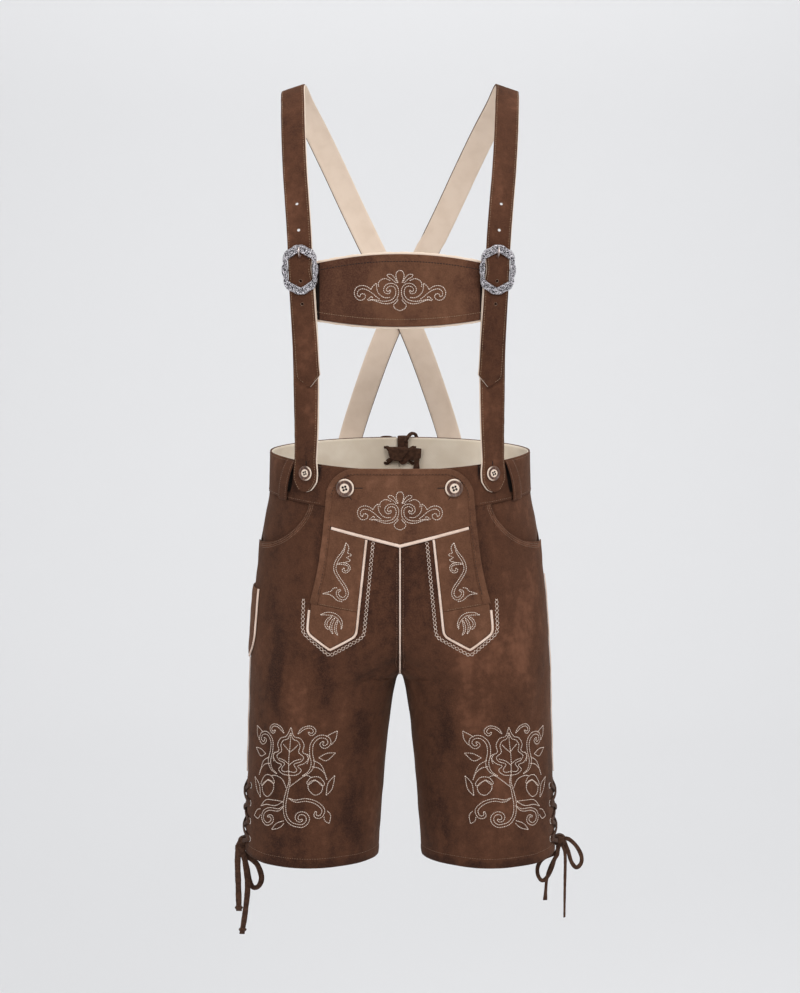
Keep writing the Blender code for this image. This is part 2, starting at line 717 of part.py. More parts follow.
def waistband():
    under = BAND_OUT - SUEDE - GAP
    for side, label in ((1, "right"), (-1, "left")):
        band = waistband_half(f"waistband_{label}", side, BAND_OUT, BAND_OUT - SUEDE, 0.0, HALF_GAP, "suede")
        lining = waistband_half(f"waistband_lining_{label}", side, under, under - 1.2 * MM,
                                0.8 * MM, HALF_GAP, "band_lining")
        places = [back_point(x, z, 0.0) for x, z in back_eyelets() if x * side > 0]
        for cloth in (band, lining):
            cut(cloth, cutter_at(f"eyelet_cutter_{cloth.name}", places, 3.4 * MM, 14 * MM))


# ---------------------------------------------------------------- drop front
def flap_edge(z):
    return smooth_table(FLAP_ROWS, "z", "edge", z)


def flap_rim(z):
    return smooth_table(FLAP_ROWS, "z", "rim", z)


def seam_line(x):
    """Height of the seam under the flap's strip."""
    slope = (SEAM_OUTER[1] - SEAM_INNER[1]) / (SEAM_OUTER[0] - SEAM_INNER[0])
    return SEAM_INNER[1] + (abs(x) - SEAM_INNER[0]) * slope


def yoke_line(x):
    return YOKE_APEX + YOKE_SLOPE * abs(x)


def mirrored(places):
    return [(-x, z) for x, z in places]


def rim_lines():
    """The flap's outer line and the line inside its rim, from the slit's end up to the centre, for +X."""
    outer, inner = [], []
    corner_x, corner_z = FLAP_ROWS[0].edge - FLAP_CORNER, FLAP_TOP - FLAP_CORNER
    low_x = SEAM_OUTER[0]
    outer.append((low_x, seam_line(low_x) + GAP))
    inner.append((low_x - FLAP_ROWS[-1].rim, seam_line(low_x - FLAP_ROWS[-1].rim) + GAP))
    for z in (-0.640, -0.621, -0.602, -0.580, -0.556, -0.540):
        outer.append((flap_edge(z), z))
        inner.append((flap_edge(z) - flap_rim(z), z))
    for step in range(7):
        turn = radians(15 * step)
        outer.append((corner_x + FLAP_CORNER * cos(turn), corner_z + FLAP_CORNER * sin(turn)))
        radius = FLAP_CORNER - FLAP_ROWS[0].rim
        inner.append((corner_x + radius * cos(turn), corner_z + radius * sin(turn)))
    for x in (0.036, 0.018, 0.0):
        outer.append((x, FLAP_TOP))
        inner.append((x, FLAP_TOP - FLAP_ROWS[0].rim))
    return outer, inner


def flap_piece(name, places, finish="suede_light", thick=FLAP_THICK):
    return front_patch(name, places, flap_lift, lambda z: flap_lift(z) + thick, finish)


def flap_yoke():
    corner_x, corner_z = FLAP_ROWS[0].edge - FLAP_CORNER, FLAP_TOP - FLAP_CORNER
    radius = FLAP_CORNER - FLAP_ROWS[0].rim - GAP
    half = []
    for step in range(6):
        turn = radians(18 * step)
        half.append((corner_x + radius * cos(turn), corner_z + radius * sin(turn)))
    half += [(x, corner_z + radius) for x in (0.037, 0.018)]
    top = half + [(0.0, corner_z + radius)] + mirrored(reversed(half))
    bottom = [(x, yoke_line(x) + PIPING_WIDE / 2 + GAP) for x, _ in top]
    flap_piece("flap_yoke", between(top, bottom, 4))


def flap_binding():
    outer, inner = rim_lines()
    outer += mirrored(reversed(outer[:-1]))
    inner += mirrored(reversed(inner[:-1]))
    flap_piece("flap_rim", [outer, inner], "suede_light", RIM_THICK)


def piping_path(side):
    """The line of the piping round the flap's strip and its pointed end, corners rounded."""
    path = [np.array(p) for p in POINT_PATH]
    start = path[0] + (path[1] - path[0]) * 0.02
    start[1] = yoke_line(start[0]) - PIPING_WIDE / 2 - 2.5 * GAP
    rounded = [start, start + (path[1] - start) * 0.25, start + (path[1] - start) * 0.5,
               start + (path[1] - start) * 0.75]
    for here, before, after in zip(path[1:-1], path[:-2], path[2:]):
        cut_short = 0.0030 if here is path[2] else 0.0075
        back = here + (before - here) / np.linalg.norm(before - here) * cut_short
        ahead = here + (after - here) / np.linalg.norm(after - here) * cut_short
        rounded += [back, 0.25 * back + 0.5 * here + 0.25 * ahead, ahead]
    rounded.append(path[-1])
    return [(side * x, z) for x, z in rounded]


def inset(path, distance):
    """A path moved sideways, to its left."""
    path = np.array(path)
    moved = []
    for i, point in enumerate(path):
        before = point - path[i - 1] if i else path[1] - point
        after = path[i + 1] - point if i + 1 < len(path) else before
        before, after = before / np.linalg.norm(before), after / np.linalg.norm(after)
        middle = before + after
        middle /= np.linalg.norm(middle)
        left = np.array([-middle[1], middle[0]])
        stretch = 1 / max(0.5, float(np.dot(middle, before)))
        moved.append(tuple(point + left * distance * stretch))
    return moved


def flap_strips():
    """The embroidered strips beside the flap's centre, and the pointed patches that end them."""
    clear = PIPING / 2 + GAP
    inner_line = inset(piping_path(1), clear)
    top_in, low_in = inner_line[0], inner_line[3]
    slope = (low_in[0] - top_in[0]) / (low_in[1] - top_in[1])
    rows, columns = 5, 4
    grid = []
    for row in range(rows + 1):
        t = row / rows
        x_out = flap_edge(-0.5655) - flap_rim(-0.5655)
        top_out = yoke_line(x_out) - PIPING_WIDE / 2 - GAP
        low_out = seam_line(0.1055) + HALF_GAP
        z_out = top_out + (low_out - top_out) * t
        x_out = flap_edge(z_out) - flap_rim(z_out) - GAP
        z_first = yoke_line(top_in[0]) - PIPING_WIDE / 2 - GAP
        z_last = seam_line(SEAM_INNER[0]) + HALF_GAP
        z_in = z_first + (z_last - z_first) * t
        x_in = top_in[0] + (z_in - top_in[1]) * slope
        grid.append([(x_in + (x_out - x_in) * c / columns, z_in + (z_out - z_in) * c / columns)
                     for c in range(columns + 1)])
    bottom = inner_line[4:-1]
    outer_end = inner_line[-1]
    x_in = top_in[0] + (seam_line(SEAM_INNER[0]) - top_in[1]) * slope
    top = []
    lean = (outer_end[0] - bottom[-1][0]) / (outer_end[1] - bottom[-1][1])
    x_out = outer_end[0] + lean * (seam_line(outer_end[0]) - outer_end[1])
    for i in range(len(bottom)):
        x = x_in + (x_out - x_in) * i / (len(bottom) - 1)
        top.append((x, seam_line(x) - HALF_GAP))
    point_grid = between(top, bottom, 3)
    for side, label in ((1, "right"), (-1, "left")):
        flap_piece(f"flap_strip_{label}", [[(side * x, z) for x, z in row] for row in grid])
        flap_piece(f"flap_point_{label}", [[(side * x, z) for x, z in row] for row in point_grid])


def pipings():
    reach = flap_edge(-0.5623) - flap_rim(-0.5623) - GAP
    steps = 6
    half = [(reach * (1 - i / steps), yoke_line(reach * (1 - i / steps))) for i in range(steps)]
    front_piping("piping_yoke", half + [(0.0, YOKE_APEX)] + mirrored(reversed(half)), PIPING_WIDE, flap_lift)
    for side, label in ((1, "right"), (-1, "left")):
        front_piping(f"piping_strip_{label}", piping_path(side), PIPING, lambda z: FLAP_LIFT_LOW)
    centre_piping()


def centre_piping():
    """The piping in the centre seam, which stands out of the valley between the legs as it runs down."""
    half = 1.3 * MM
    rings = []
    levels = (-0.5875, -0.605, -0.625, -0.645, -0.665, -0.685, -0.700, -0.715, -0.727, -0.737, -0.745,
              -0.751, -0.756)
    for z in levels:
        point, normal = skin(1, angle_at_x(half, z), z)
        out = np.array([0.0, normal[1], normal[2]])
        out /= np.linalg.norm(out)
        rise = 1.1 * MM * min(1.0, max(0.0, (-0.690 - z) / 0.020))
        seat = np.array([0.0, point[1], point[2]]) + out * (GAP + rise)
        ring = []
        for x, height in ((-half, 0.0), (half, 0.0), (half, 1.1 * MM), (0.0, 1.8 * MM), (-half, 1.1 * MM)):
            ring.append(seat + np.array([x, 0.0, 0.0]) + out * height)
        rings.append(ring)
    loft("piping_centre", rings, "piping")


def side_pipings():
    half = 1.2 * MM
    for side, label, top in ((1, "right", -0.6350), (-1, "left", KNIFE_BOTTOM - 0.0040)):
        rings = []
        count = max(6, int((top - VENT_TOP) / 0.024))
        for i in range(count + 1):
            z = top + (VENT_TOP + 0.0010 - top) * i / count
            point, normal = skin(side, pi / 2, z)
            along = np.array([0.0, 1.0, 0.0])
            ring = []
            section = ((-half, 0.0), (half, 0.0), (half, 0.7 * MM), (0.0, 1.4 * MM), (-half, 0.7 * MM))
            for y, height in section:
                ring.append(point + normal * (GAP + height) + along * y)
            rings.append(ring)
        loft(f"side_piping_{label}", rings, "piping")


# ---------------------------------------------------------------- pocket and loops
def knife_outline(turn, grow=0.0):
    """The knife pocket's lower edge: depth y and height z, from its front to its back corner."""
    round_from = KNIFE_BOTTOM + KNIFE_HALF
    return -(KNIFE_HALF + grow) * cos(turn), round_from - (KNIFE_HALF + grow) * sin(turn)


def knife_pocket():
    columns, rows = 8, 3
    outer, inner = [], []
    for row in range(rows + 1):
        outer_row, inner_row = [], []
        for i in range(columns + 1):
            turn = pi * i / columns
            y, low = knife_outline(turn)
            y = y if abs(y) > HALF_GAP else HALF_GAP
            z = KNIFE_TOP + (low - KNIFE_TOP) * row / rows
            outer_row.append(on_side(-1, y, z, KNIFE_LIFT + KNIFE_THICK))
            inner_row.append(on_side(-1, y, z, KNIFE_LIFT))
        outer.append(outer_row)
        inner.append(inner_row)
    grid_wall("knife_pocket", outer, inner, "suede_light")

    width = 2.8 * MM
    middle = GAP + width / 2
    path = [(-KNIFE_HALF - middle, KNIFE_TOP), (-KNIFE_HALF - middle, KNIFE_TOP - 0.025)]
    path += [knife_outline(pi * i / 16, middle) for i in range(17)]
    path += [(KNIFE_HALF + middle, KNIFE_TOP - 0.025), (KNIFE_HALF + middle, KNIFE_TOP)]
    path = np.array(path)
    rings = []
    for i, (y, z) in enumerate(path):
        ahead = path[min(i + 1, len(path) - 1)] - path[max(i - 1, 0)]
        ahead /= np.linalg.norm(ahead)
        over = np.array([-ahead[1], ahead[0]]) * width / 2
        ring = []
        for place, height in ((-1, 0.0), (1, 0.0), (1, 1.5 * MM), (0, 2.2 * MM), (-1, 1.5 * MM)):
            depth = y + over[0] * place
            depth = depth if abs(depth) > HALF_GAP else HALF_GAP
            ring.append(on_side(-1, depth, z + over[1] * place, KNIFE_LIFT + height))
        rings.append(ring)
    loft("knife_pocket_piping", rings, "piping")


def belt_loops():
    thick = 1.6 * MM
    steps = 6
    for side, label in ((1, "right"), (-1, "left")):
        for distance, place in zip(BELT_LOOP_XS, ("front", "back")):
            rings = []
            for i in range(steps + 1):
                share = i / steps
                ring = []
                stand = BAND_OUT + GAP + BELT_LOOP_STAND * sin(pi * share) ** 0.6
                for edge, height in ((-1, 0.0), (1, 0.0), (1, thick), (-1, thick)):
                    x = distance + edge * BELT_LOOP_WIDE / 2
                    angle = angle_at_x(x, RIM_SIDE)
                    angle = angle if place == "front" else pi - angle
                    z = rim_height(angle) - 0.001 - (BAND_HEIGHT + 0.001) * share
                    point, normal = skin(side, angle, z)
                    ring.append(point + normal * (stand + height))
                rings.append(ring)
            loft(f"belt_loop_{place}_{label}", rings, "suede")


# ---------------------------------------------------------------- straps
def seated(x, z, out, back=False):
    """A stop of a strap on the waistband, just clear of it."""
    side = -1 if x < 0 else 1
    angle = angle_at_x(x, z)
    point, normal = skin(side, pi - angle if back else angle, z)
    place = point + normal * out
    return Stop(*place, *normal)


def strap_route(side):
    """The shoulder strap's route; the one from the right shoulder crosses outside the other."""
    stops = []
    for i, stop in enumerate(STRAP_FRONT_TO_BACK):
        rise = CROSSING.get(i, 0.0) if side > 0 else 0.0
        stops.append(stop._replace(x=side * stop.x, y=stop.y + rise, out_x=side * stop.out_x))
    for x, z in STRAP_SEATS:
        stops.append(seated(side * x, z, BAND_OUT + GAP + 0.4 * MM, back=True))
    return stops


def lower_route(side):
    stops = [s._replace(x=side * s.x, out_x=side * s.out_x) for s in LOWER_STRAP]
    for x, z in LOWER_SEATS:
        stops.append(seated(side * x, z, BAND_OUT + GAP + 0.4 * MM))
    return stops


def strap_frames(route, spacing, first_marks=(), last_marks=()):
    """Frames evenly along a strap, and at marked distances from its two ends."""
    rows = catmull(route, 8)
    lengths = np.concatenate([[0], np.cumsum(np.linalg.norm(np.diff(rows[:, :3], axis=0), axis=1))])
    whole = lengths[-1]
    low, high = max(first_marks, default=0.0), whole - max(last_marks, default=0.0)
    count = int(round((high - low) / spacing))
    marks = [0.0, *first_marks, *np.linspace(low, high, count + 1), *(whole - m for m in last_marks), whole]
    marks = np.unique(np.round(marks, 7))
    at = np.column_stack([np.interp(marks, lengths, rows[:, c]) for c in range(6)])
    frames = []
    for i, row in enumerate(at):
        point, out = row[:3], row[3:]
        ahead = at[min(i + 1, len(at) - 1), :3] - at[max(i - 1, 0), :3]
        ahead = ahead / np.linalg.norm(ahead)
        across = np.cross(ahead, out)
        across = across / np.linalg.norm(across)
        frames.append((point, across, np.cross(across, ahead), ahead))
    return frames, marks, whole


def frame_at_height(frames, z):
    """The frame where a strap's front stretch passes a height."""
    for here, there in zip(frames, frames[1:]):
        if (here[0][2] - z) * (there[0][2] - z) <= 0:
            share = (z - here[0][2]) / (there[0][2] - here[0][2])
            made = [a + (b - a) * share for a, b in zip(here, there)]
            return [made[0]] + [v / np.linalg.norm(v) for v in made[1:]]
    raise ValueError("the strap doesn't reach this height")


def strap_pair(name, frames, widths, finish_name, edge):
    """A strap's lining and, outside it, its suede."""
    lining = ribbon(f"{name}_lining_{finish_name}", frames, [w + edge * min(1, w / 0.01) for w in widths],
                    0.0, LINING, "strap_lining")
    outer = ribbon(f"{name}_{finish_name}", frames, widths, LINING + GAP, STRAP_STACK, "suede")
    return outer, lining


def straps():
    half, edge = STRAP_WIDTH / 2, 0.5 * MM
    point_length, spade = 0.0135, (0.004, 0.009, 0.016, 0.030, 0.045)
    for side, label in ((1, "right"), (-1, "left")):
        frames, marks, whole = strap_frames(strap_route(side), 0.0230, (point_length,), spade)
        widths = []
        for mark in marks:
            from_tip, from_end = mark, max(0.0, whole - mark)
            width = half + 1.5 * MM * sin(pi * min(1.0, from_end / 0.045)) ** 2
            if from_tip < point_length:
                width = half * (0.05 + 0.95 * from_tip / point_length)
            if from_end < 0.016:
                width = (half + 1.5 * MM) * (0.10 + 0.90 * (from_end / 0.016) ** 0.6)
            widths.append(width)
        outer, lining = strap_pair("strap", frames, widths, label, edge)
        places = []
        for z in STRAP_HOLES:
            point, _, out, _ = frame_at_height(frames, z)
            places.append((point + out * 1.5 * MM, out))
        guide = cutter_at(f"hole_cutter_{label}", places, STRAP_HOLE / 2, 8 * MM)
        cut(outer, guide)
        cut(lining, guide)
        buckle(side, label, frame_at_height(frames, BUCKLE_Z))
        back_button(frames, marks, whole, label)

        frames, marks, whole = strap_frames(lower_route(side), 0.0260, (), spade)
        widths = []
        for mark in marks:
            from_end = max(0.0, whole - mark)
            width = 0.0142 + 1.6 * MM * sin(pi * min(1.0, from_end / 0.045)) ** 2
            if from_end < 0.016:
                width = 0.0155 * (0.10 + 0.90 * (from_end / 0.016) ** 0.6)
            widths.append(width)
        strap_pair("lower_strap", frames, widths, label, edge)
        point, _, out, _ = frame_at_height(frames, STRAP_BUTTON_Z)
        button(f"button_strap_{label}", point + out * (STRAP_STACK + GAP), out, STRAP_BUTTON_SIZE)


def back_button(frames, marks, whole, label):
    at = int(np.argmin(abs(marks - (whole - 0.0215))))
    point, _, out, _ = frames[at]
    button(f"button_back_{label}", point + out * (STRAP_STACK + GAP), out, STRAP_BUTTON_SIZE)


def bar_face(x):
    """Depth of the chest bar's outer face."""
    return BAR_FRONT + BAR_CURVE * (x / 0.13) ** 2


def chest_bar():
    columns = 14

    def wall(name, near, far, grow, finish):
        outer, inner = [], []
        for row in range(3):
            outer_row, inner_row = [], []
            for i in range(columns + 1):
                x = BAR_REACH * (2 * i / columns - 1)
                share = (x / BAR_SHOULDER) ** 2
                top = BAR_TOP - BAR_TOP_FALL * share + grow
                bottom = BAR_BOTTOM + BAR_BOTTOM_RISE * share - grow
                z = top + (bottom - top) * row / 2
                slope = 2 * BAR_CURVE * x / 0.13**2
                out = np.array([slope, -1.0, 0.0]) / (1 + slope**2) ** 0.5
                point = np.array([x, bar_face(x), z])
                outer_row.append(point - out * near)
                inner_row.append(point - out * far)
            outer.append(outer_row)
            inner.append(inner_row)
        grid_wall(name, outer, inner, finish)

    wall("chest_bar", 0.0, SUEDE, 0.0, "suede_light")
    wall("chest_bar_lining", SUEDE + GAP, SUEDE + GAP + 1.2 * MM, BAR_EDGE, "strap_lining")


# ---------------------------------------------------------------- metal and buttons
def joined(target, addition):
    """Join a second solid to the first; the second is then only a helper."""
    addition.hide_render = True
    addition.display_type = "WIRE"
    join = target.modifiers.new("join", "BOOLEAN")
    join.operation = "UNION"
    join.solver = "EXACT"
    join.object = addition


def buckle(side, label, frame):
    point, across, out, up = frame
    across = across * side

    def place(u, v, w):
        return point + across * u + up * v + out * w

    def frame_line(turn, band):
        """A point of the frame's outline; band is 0 on the outer edge and 1 on the inner one."""
        power = 2.5
        wide = BUCKLE_HALF_WIDE - BUCKLE_BAND * band * 0.96
        high = BUCKLE_HALF_HIGH - BUCKLE_BAND * band * 1.25
        radius = ((abs(cos(turn)) / wide) ** power + (abs(sin(turn)) / high) ** power) ** (-1 / power)
        waves = 0.028 * cos(8 * turn) * (1 - 0.6 * band)
        peak = np.exp(-((abs(sin(turn)) - 1) / 0.03) ** 2) * 1.6 * MM * band
        return radius * (1 + waves) + peak

    rings = []
    count = 36
    for i in range(count):
        turn = 2 * pi * i / count
        ring = []
        for band, height in ((0.0, 0.0), (1.0, 0.0), (1.0, 0.62), (0.5, 1.0), (0.0, 0.5)):
            radius = frame_line(turn, band)
            ring.append(place(radius * cos(turn), radius * sin(turn), BUCKLE_BACK + BUCKLE_THICK * height))
        rings.append(ring)
    ring_solid = loft(f"buckle_{label}", rings, "silver", closed_loop=True)

    bar_low, bar_high, leg = -2.9 * MM, -0.3 * MM, 0.0175
    outline_points = [(-0.0205, BUCKLE_BACK + 1.2 * MM), (-leg, BUCKLE_BACK + 1.2 * MM), (-leg, bar_high),
                      (leg, bar_high), (leg, BUCKLE_BACK + 1.2 * MM), (0.0205, BUCKLE_BACK + 1.2 * MM),
                      (0.0205, bar_low), (-0.0205, bar_low)]
    lower = [place(u, -1.5 * MM, w) for u, w in outline_points]
    upper = [place(u, 1.5 * MM, w) for u, w in outline_points]
    bar = loft(f"buckle_bar_{label}", [lower, upper], "silver")
    joined(ring_solid, bar)

    hole_v = STRAP_HOLES[2] - BUCKLE_Z
    stops = [(0.0030, -1.7 * MM), (0.0085, -2.4 * MM), (hole_v - 0.0032, -3.2 * MM),
             (hole_v - 0.0006, -2.0 * MM), (hole_v + 0.0004, 2.2 * MM), (hole_v + 0.0026, 6.6 * MM),
             (0.0240, 8.2 * MM), (0.0285, 8.2 * MM)]
    path = [place(0.0, v, w) for v, w in stops]
    sweep(f"prong_{label}", path, [across] * len(path), PRONG_RADIUS * 0.8, PRONG_RADIUS, "silver", sides=6)


def button(name, seat, out, size):
    radius = size / 2
    profile = [(0.45 * radius, 0.0), (0.86 * radius, 0.2), (1.0 * radius, 0.55), (0.93 * radius, 1.0),
               (0.72 * radius, 0.88), (0.60 * radius, 0.62), (0.30 * radius, 0.66)]
    profile = [(r, h * BUTTON_THICK) for r, h in profile]
    turned(name, np.array(seat), np.array(out), np.array([0.0, 0.0, 1.0]), profile, "horn")


def flap_buttons():
    x, z, size = FLAP_BUTTON
    for side, label in ((1, "right"), (-1, "left")):
        _, normal = skin(side, angle_at_x(x, z), z)
        seat = on_front(side * x, z, flap_lift(z) + FLAP_THICK + GAP + 0.15 * MM)
        button(f"button_flap_{label}", seat, normal, size)


# ---------------------------------------------------------------- laces
def eyelet_turn(facing, row, rising):
    """The lace's hairpin through an eyelet: (y, z, out) from one strand to the other."""
    y, z = facing * EYELET_SETBACK, EYELET_ROWS[row]
    near, far = y - facing * 5.5 * MM, y - facing * 1.8 * MM
    lead = 2.0 * MM if not rising else -2.0 * MM
    return [(near, z + lead, 2.5 * MM), (far, z + lead * 0.85, 1.2 * MM), (y, z, -0.4 * MM),
            (far, z - lead * 0.85, 1.2 * MM), (near, z - lead, 2.5 * MM)]


def eyelet_pass(facing, row):
    """The lace's way through a top eyelet to the inside."""
    y, z = facing * EYELET_SETBACK, EYELET_ROWS[row]
    near, far = y - facing * 5.5 * MM, y - facing * 1.8 * MM
    return [(near, z - 1.0 * MM, 2.5 * MM), (far, z, 1.3 * MM), (y, z, -0.9 * MM), (far, z, -3.8 * MM),
            (near, z, -5.4 * MM)]


def crossing_run(row_from, row_to, facing, level):
    """The middle of a strand over the vent, from a row on one side to a row on the other."""
    run = []
    for share in (0.28, 0.5, 0.72):
        y = facing * EYELET_SETBACK * (1 - 2 * share)
        z = EYELET_ROWS[row_from] + (EYELET_ROWS[row_to] - EYELET_ROWS[row_from]) * share
        run.append((y, z, 2.6 * MM + level * (1 - abs(share - 0.5) / 0.5)))
    return run


def side_lace(side, label):
    """The hem lace, one tube: up one zigzag from the knot, through the top pair and down the other."""
    over, under = 4.2 * MM, 0.0
    route = [(-0.0094, -0.9884, 3.6 * MM), (-0.0200, -0.9860, 2.9 * MM)]
    route += eyelet_turn(-1, 3, True)
    route += crossing_run(3, 2, -1, over) + eyelet_turn(1, 2, True)
    route += crossing_run(2, 1, 1, over) + eyelet_turn(-1, 1, True)
    route += crossing_run(1, 0, -1, over) + eyelet_pass(1, 0)
    route += [(0.018, EYELET_ROWS[0], -6.0 * MM), (0.0, EYELET_ROWS[0], -6.0 * MM),
              (-0.018, EYELET_ROWS[0], -6.0 * MM)]
    route += list(reversed(eyelet_pass(-1, 0)))
    route += crossing_run(0, 1, -1, under) + eyelet_turn(1, 1, False)
    route += crossing_run(1, 2, 1, under) + eyelet_turn(-1, 2, False)
    route += crossing_run(2, 3, -1, under) + eyelet_turn(1, 3, False)
    route += [(0.0190, -0.9868, 2.9 * MM), (0.0075, -0.9888, 3.6 * MM)]
    path, outs = [], []
    for y, z, out in route:
        path.append(on_side(side, y if abs(y) > HALF_GAP else HALF_GAP, z, out))
        outs.append(skin(side, angle_at_y(y if abs(y) > HALF_GAP else HALF_GAP, z), z)[1])
    guides = []
    for i, point in enumerate(path):
        ahead = path[min(i + 1, len(path) - 1)] - path[max(i - 1, 0)]
        upright = np.cross(outs[i], np.array([0.0, 0.0, 1.0]))
        guides.append(np.cross(upright, ahead))
    sweep(f"side_lace_{label}", path, guides, LACE_RADIUS, LACE_RADIUS, "lace", sides=6)


def knot(name, centre, radii):
    """A lumpy knot, seen as a rounded body with a waist."""
    rings = []
    for share in (-1.0, -0.82, -0.35, 0.0, 0.35, 0.82, 1.0):
        spread = (1 - 0.45 * abs(share) ** 5) * (1 - 0.10 * np.exp(-((share / 0.2) ** 2)))
        ring = []
        for s in range(12):
            turn = 2 * pi * (s + 0.5) / 12
            square = (abs(cos(turn)) ** 3 + abs(sin(turn)) ** 3) ** (-1 / 3)
            reach = spread * square
            ring.append((centre[0] + radii[0] * reach * cos(turn), centre[1] + radii[1] * share,
                         centre[2] + radii[2] * reach * sin(turn)))
        rings.append(ring)
    loft(name, rings, "lace")


KNOT_SIZE = (5.2 * MM, 8.0 * MM, 6.0 * MM)
LEFT_KNOT = (-0.2105, -0.0010, -0.9893)
RIGHT_KNOT = (0.2108, -0.0010, -0.9893)
LEFT_END_SHORT = [(-0.2134, -0.0066, -0.9952), (-0.2142, -0.0068, -1.0200), (-0.2134, -0.0062, -1.0500),
                  (-0.2128, -0.0055, -1.0836)]
LEFT_END_LONG = [(-0.2076, -0.0066, -0.9952), (-0.2074, -0.0070, -1.0065), (-0.2045, -0.0072, -1.0160),
                 (-0.2020, -0.0072, -1.0350), (-0.2013, -0.0070, -1.0555), (-0.2045, -0.0060, -1.0850),
                 (-0.2090, -0.0050, -1.1146)]
LEFT_LOOP = [(-0.2106, -0.0004, -0.9960), (-0.2085, -0.0004, -1.0040), (-0.2030, -0.0002, -1.0105),
             (-0.1950, 0.0000, -1.0160), (-0.1878, 0.0005, -1.0240), (-0.1830, 0.0010, -1.0400),
             (-0.1868, 0.0018, -1.0515), (-0.1944, 0.0028, -1.0535), (-0.1995, 0.0044, -1.0440),
             (-0.2020, 0.0062, -1.0300), (-0.2060, 0.0068, -1.0130), (-0.2090, 0.0066, -1.0050),
             (-0.2104, 0.0052, -0.9955)]
RIGHT_END_LONG = [(0.2138, -0.0062, -0.9952), (0.2172, -0.0075, -1.0040), (0.2180, -0.0078, -1.0170),
                  (0.2176, -0.0075, -1.0500), (0.2172, -0.0070, -1.0917)]
RIGHT_END_SHORT = [(0.2100, 0.0052, -0.9952), (0.2088, 0.0066, -1.0070), (0.2040, 0.0070, -1.0160),
                   (0.1975, 0.0072, -1.0300), (0.1940, 0.0068, -1.0450), (0.1921, 0.0060, -1.0715)]
RIGHT_LOOP_BIG = [(0.2173, -0.0050, -0.9862), (0.2240, -0.0062, -0.9880), (0.2330, -0.0066, -0.9970),
                  (0.2392, -0.0060, -1.0095), (0.2388, -0.0050, -1.0200), (0.2325, -0.0040, -1.0255),
                  (0.2262, -0.0028, -1.0180), (0.2225, -0.0010, -1.0060), (0.2190, 0.0018, -0.9965),
                  (0.2175, 0.0040, -0.9925)]
RIGHT_LOOP_SMALL = [(0.2082, -0.0066, -0.9962), (0.2076, -0.0069, -1.0070), (0.2040, -0.0069, -1.0135),
                    (0.2000, -0.0067, -1.0270), (0.1930, -0.0061, -1.0395), (0.1870, -0.0056, -1.0425),
                    (0.1820, -0.0052, -1.0350), (0.1820, -0.0047, -1.0240), (0.1880, -0.0036, -1.0145),
                    (0.1980, -0.0018, -1.0098), (0.2062, -0.0004, -1.0060), (0.2104, -0.0002, -0.9960)]


def laces():
    for side, label, centre in ((1, "right", RIGHT_KNOT), (-1, "left", LEFT_KNOT)):
        side_lace(side, label)
        knot(f"lace_knot_{label}", centre, KNOT_SIZE)
    cord("lace_end_left_short", LEFT_END_SHORT)
    cord("lace_end_left_long", LEFT_END_LONG)
    cord("lace_loop_left", LEFT_LOOP)
    cord("lace_end_right_long", RIGHT_END_LONG, CORD_RADIUS_THIN)
    cord("lace_end_right_short", RIGHT_END_SHORT, CORD_RADIUS_THIN)
    cord("lace_loop_right_big", RIGHT_LOOP_BIG)
    cord("lace_loop_right_small", RIGHT_LOOP_SMALL)


def back_lace():
    """The waistband's lace: a bar outside, a cross inside, and both ends up to a knot outside."""
    top_z, low_z = (RIM_SIDE + RIM_BACK_RISE - drop for drop in BACK_EYELET_DROPS)
    outside, inside = BAND_OUT + 2.0 * MM, BAND_OUT - SUEDE - GAP - 1.2 * MM - 2.0 * MM

    def through(x, z, way, inwards):
        """Through an eyelet: way is the side from which the strand comes and, inside, to which it goes."""
        steps = [(x + way * 5.0 * MM, outside), (x + way * 1.4 * MM, outside - 0.6 * MM),
                 (x, (outside + inside) / 2), (x + way * 1.4 * MM, inside + 0.6 * MM),
                 (x + way * 5.0 * MM, inside)]
        steps = steps if inwards else steps[::-1]
        return [(px, z, out) for px, out in steps]

    eye = BACK_EYELET_X
    route = [(0.0020, top_z + 0.004, outside + 0.6 * MM), (0.0062, top_z + 0.0035, outside + 0.6 * MM)]
    route += through(eye, top_z, -1, True)
    route += [(0.008, (2 * top_z + low_z) / 3, inside), (0.0, (top_z + low_z) / 2, inside),
              (-0.008, (top_z + 2 * low_z) / 3, inside)]
    route += through(-eye, low_z, 1, False)
    route += [(0.0, low_z, outside + 0.4 * MM)]
    route += through(eye, low_z, -1, True)
    route += [(0.008, (top_z + 2 * low_z) / 3, inside - 2.4 * MM),
              (0.0, (top_z + low_z) / 2, inside - 3.6 * MM),
              (-0.008, (2 * top_z + low_z) / 3, inside - 2.4 * MM)]
    route += through(-eye, top_z, 1, False)
    route += [(-0.0062, top_z + 0.0035, outside + 0.6 * MM), (-0.0020, top_z + 0.004, outside + 0.6 * MM)]
    path = [back_point(x, z, out)[0] for x, z, out in route]
    outs = [np.array([0.0, 0.0, 1.0])] * len(path)
    lace = sweep("back_lace", path, outs, LACE_RADIUS, LACE_RADIUS, "lace", sides=6)
    seat, _ = back_point(0.0001, top_z + 0.004, outside + 0.6 * MM)
    rings = []
    for share in (-0.9, -0.4, 0.4, 0.9):
        spread = (1 - share**2) ** 0.5
        ring = []
        for s in range(8):
            turn = 2 * pi * s / 8
            ring.append(seat + np.array([4.6 * MM * share, 3.4 * MM * spread * cos(turn),
                                         4.4 * MM * spread * sin(turn)]))
        rings.append(ring)
    joined(lace, loft("back_lace_knot", rings, "lace"))
    joined(lace, flat_knot(inside))
    joined(lace, rim_band(inside, outside))


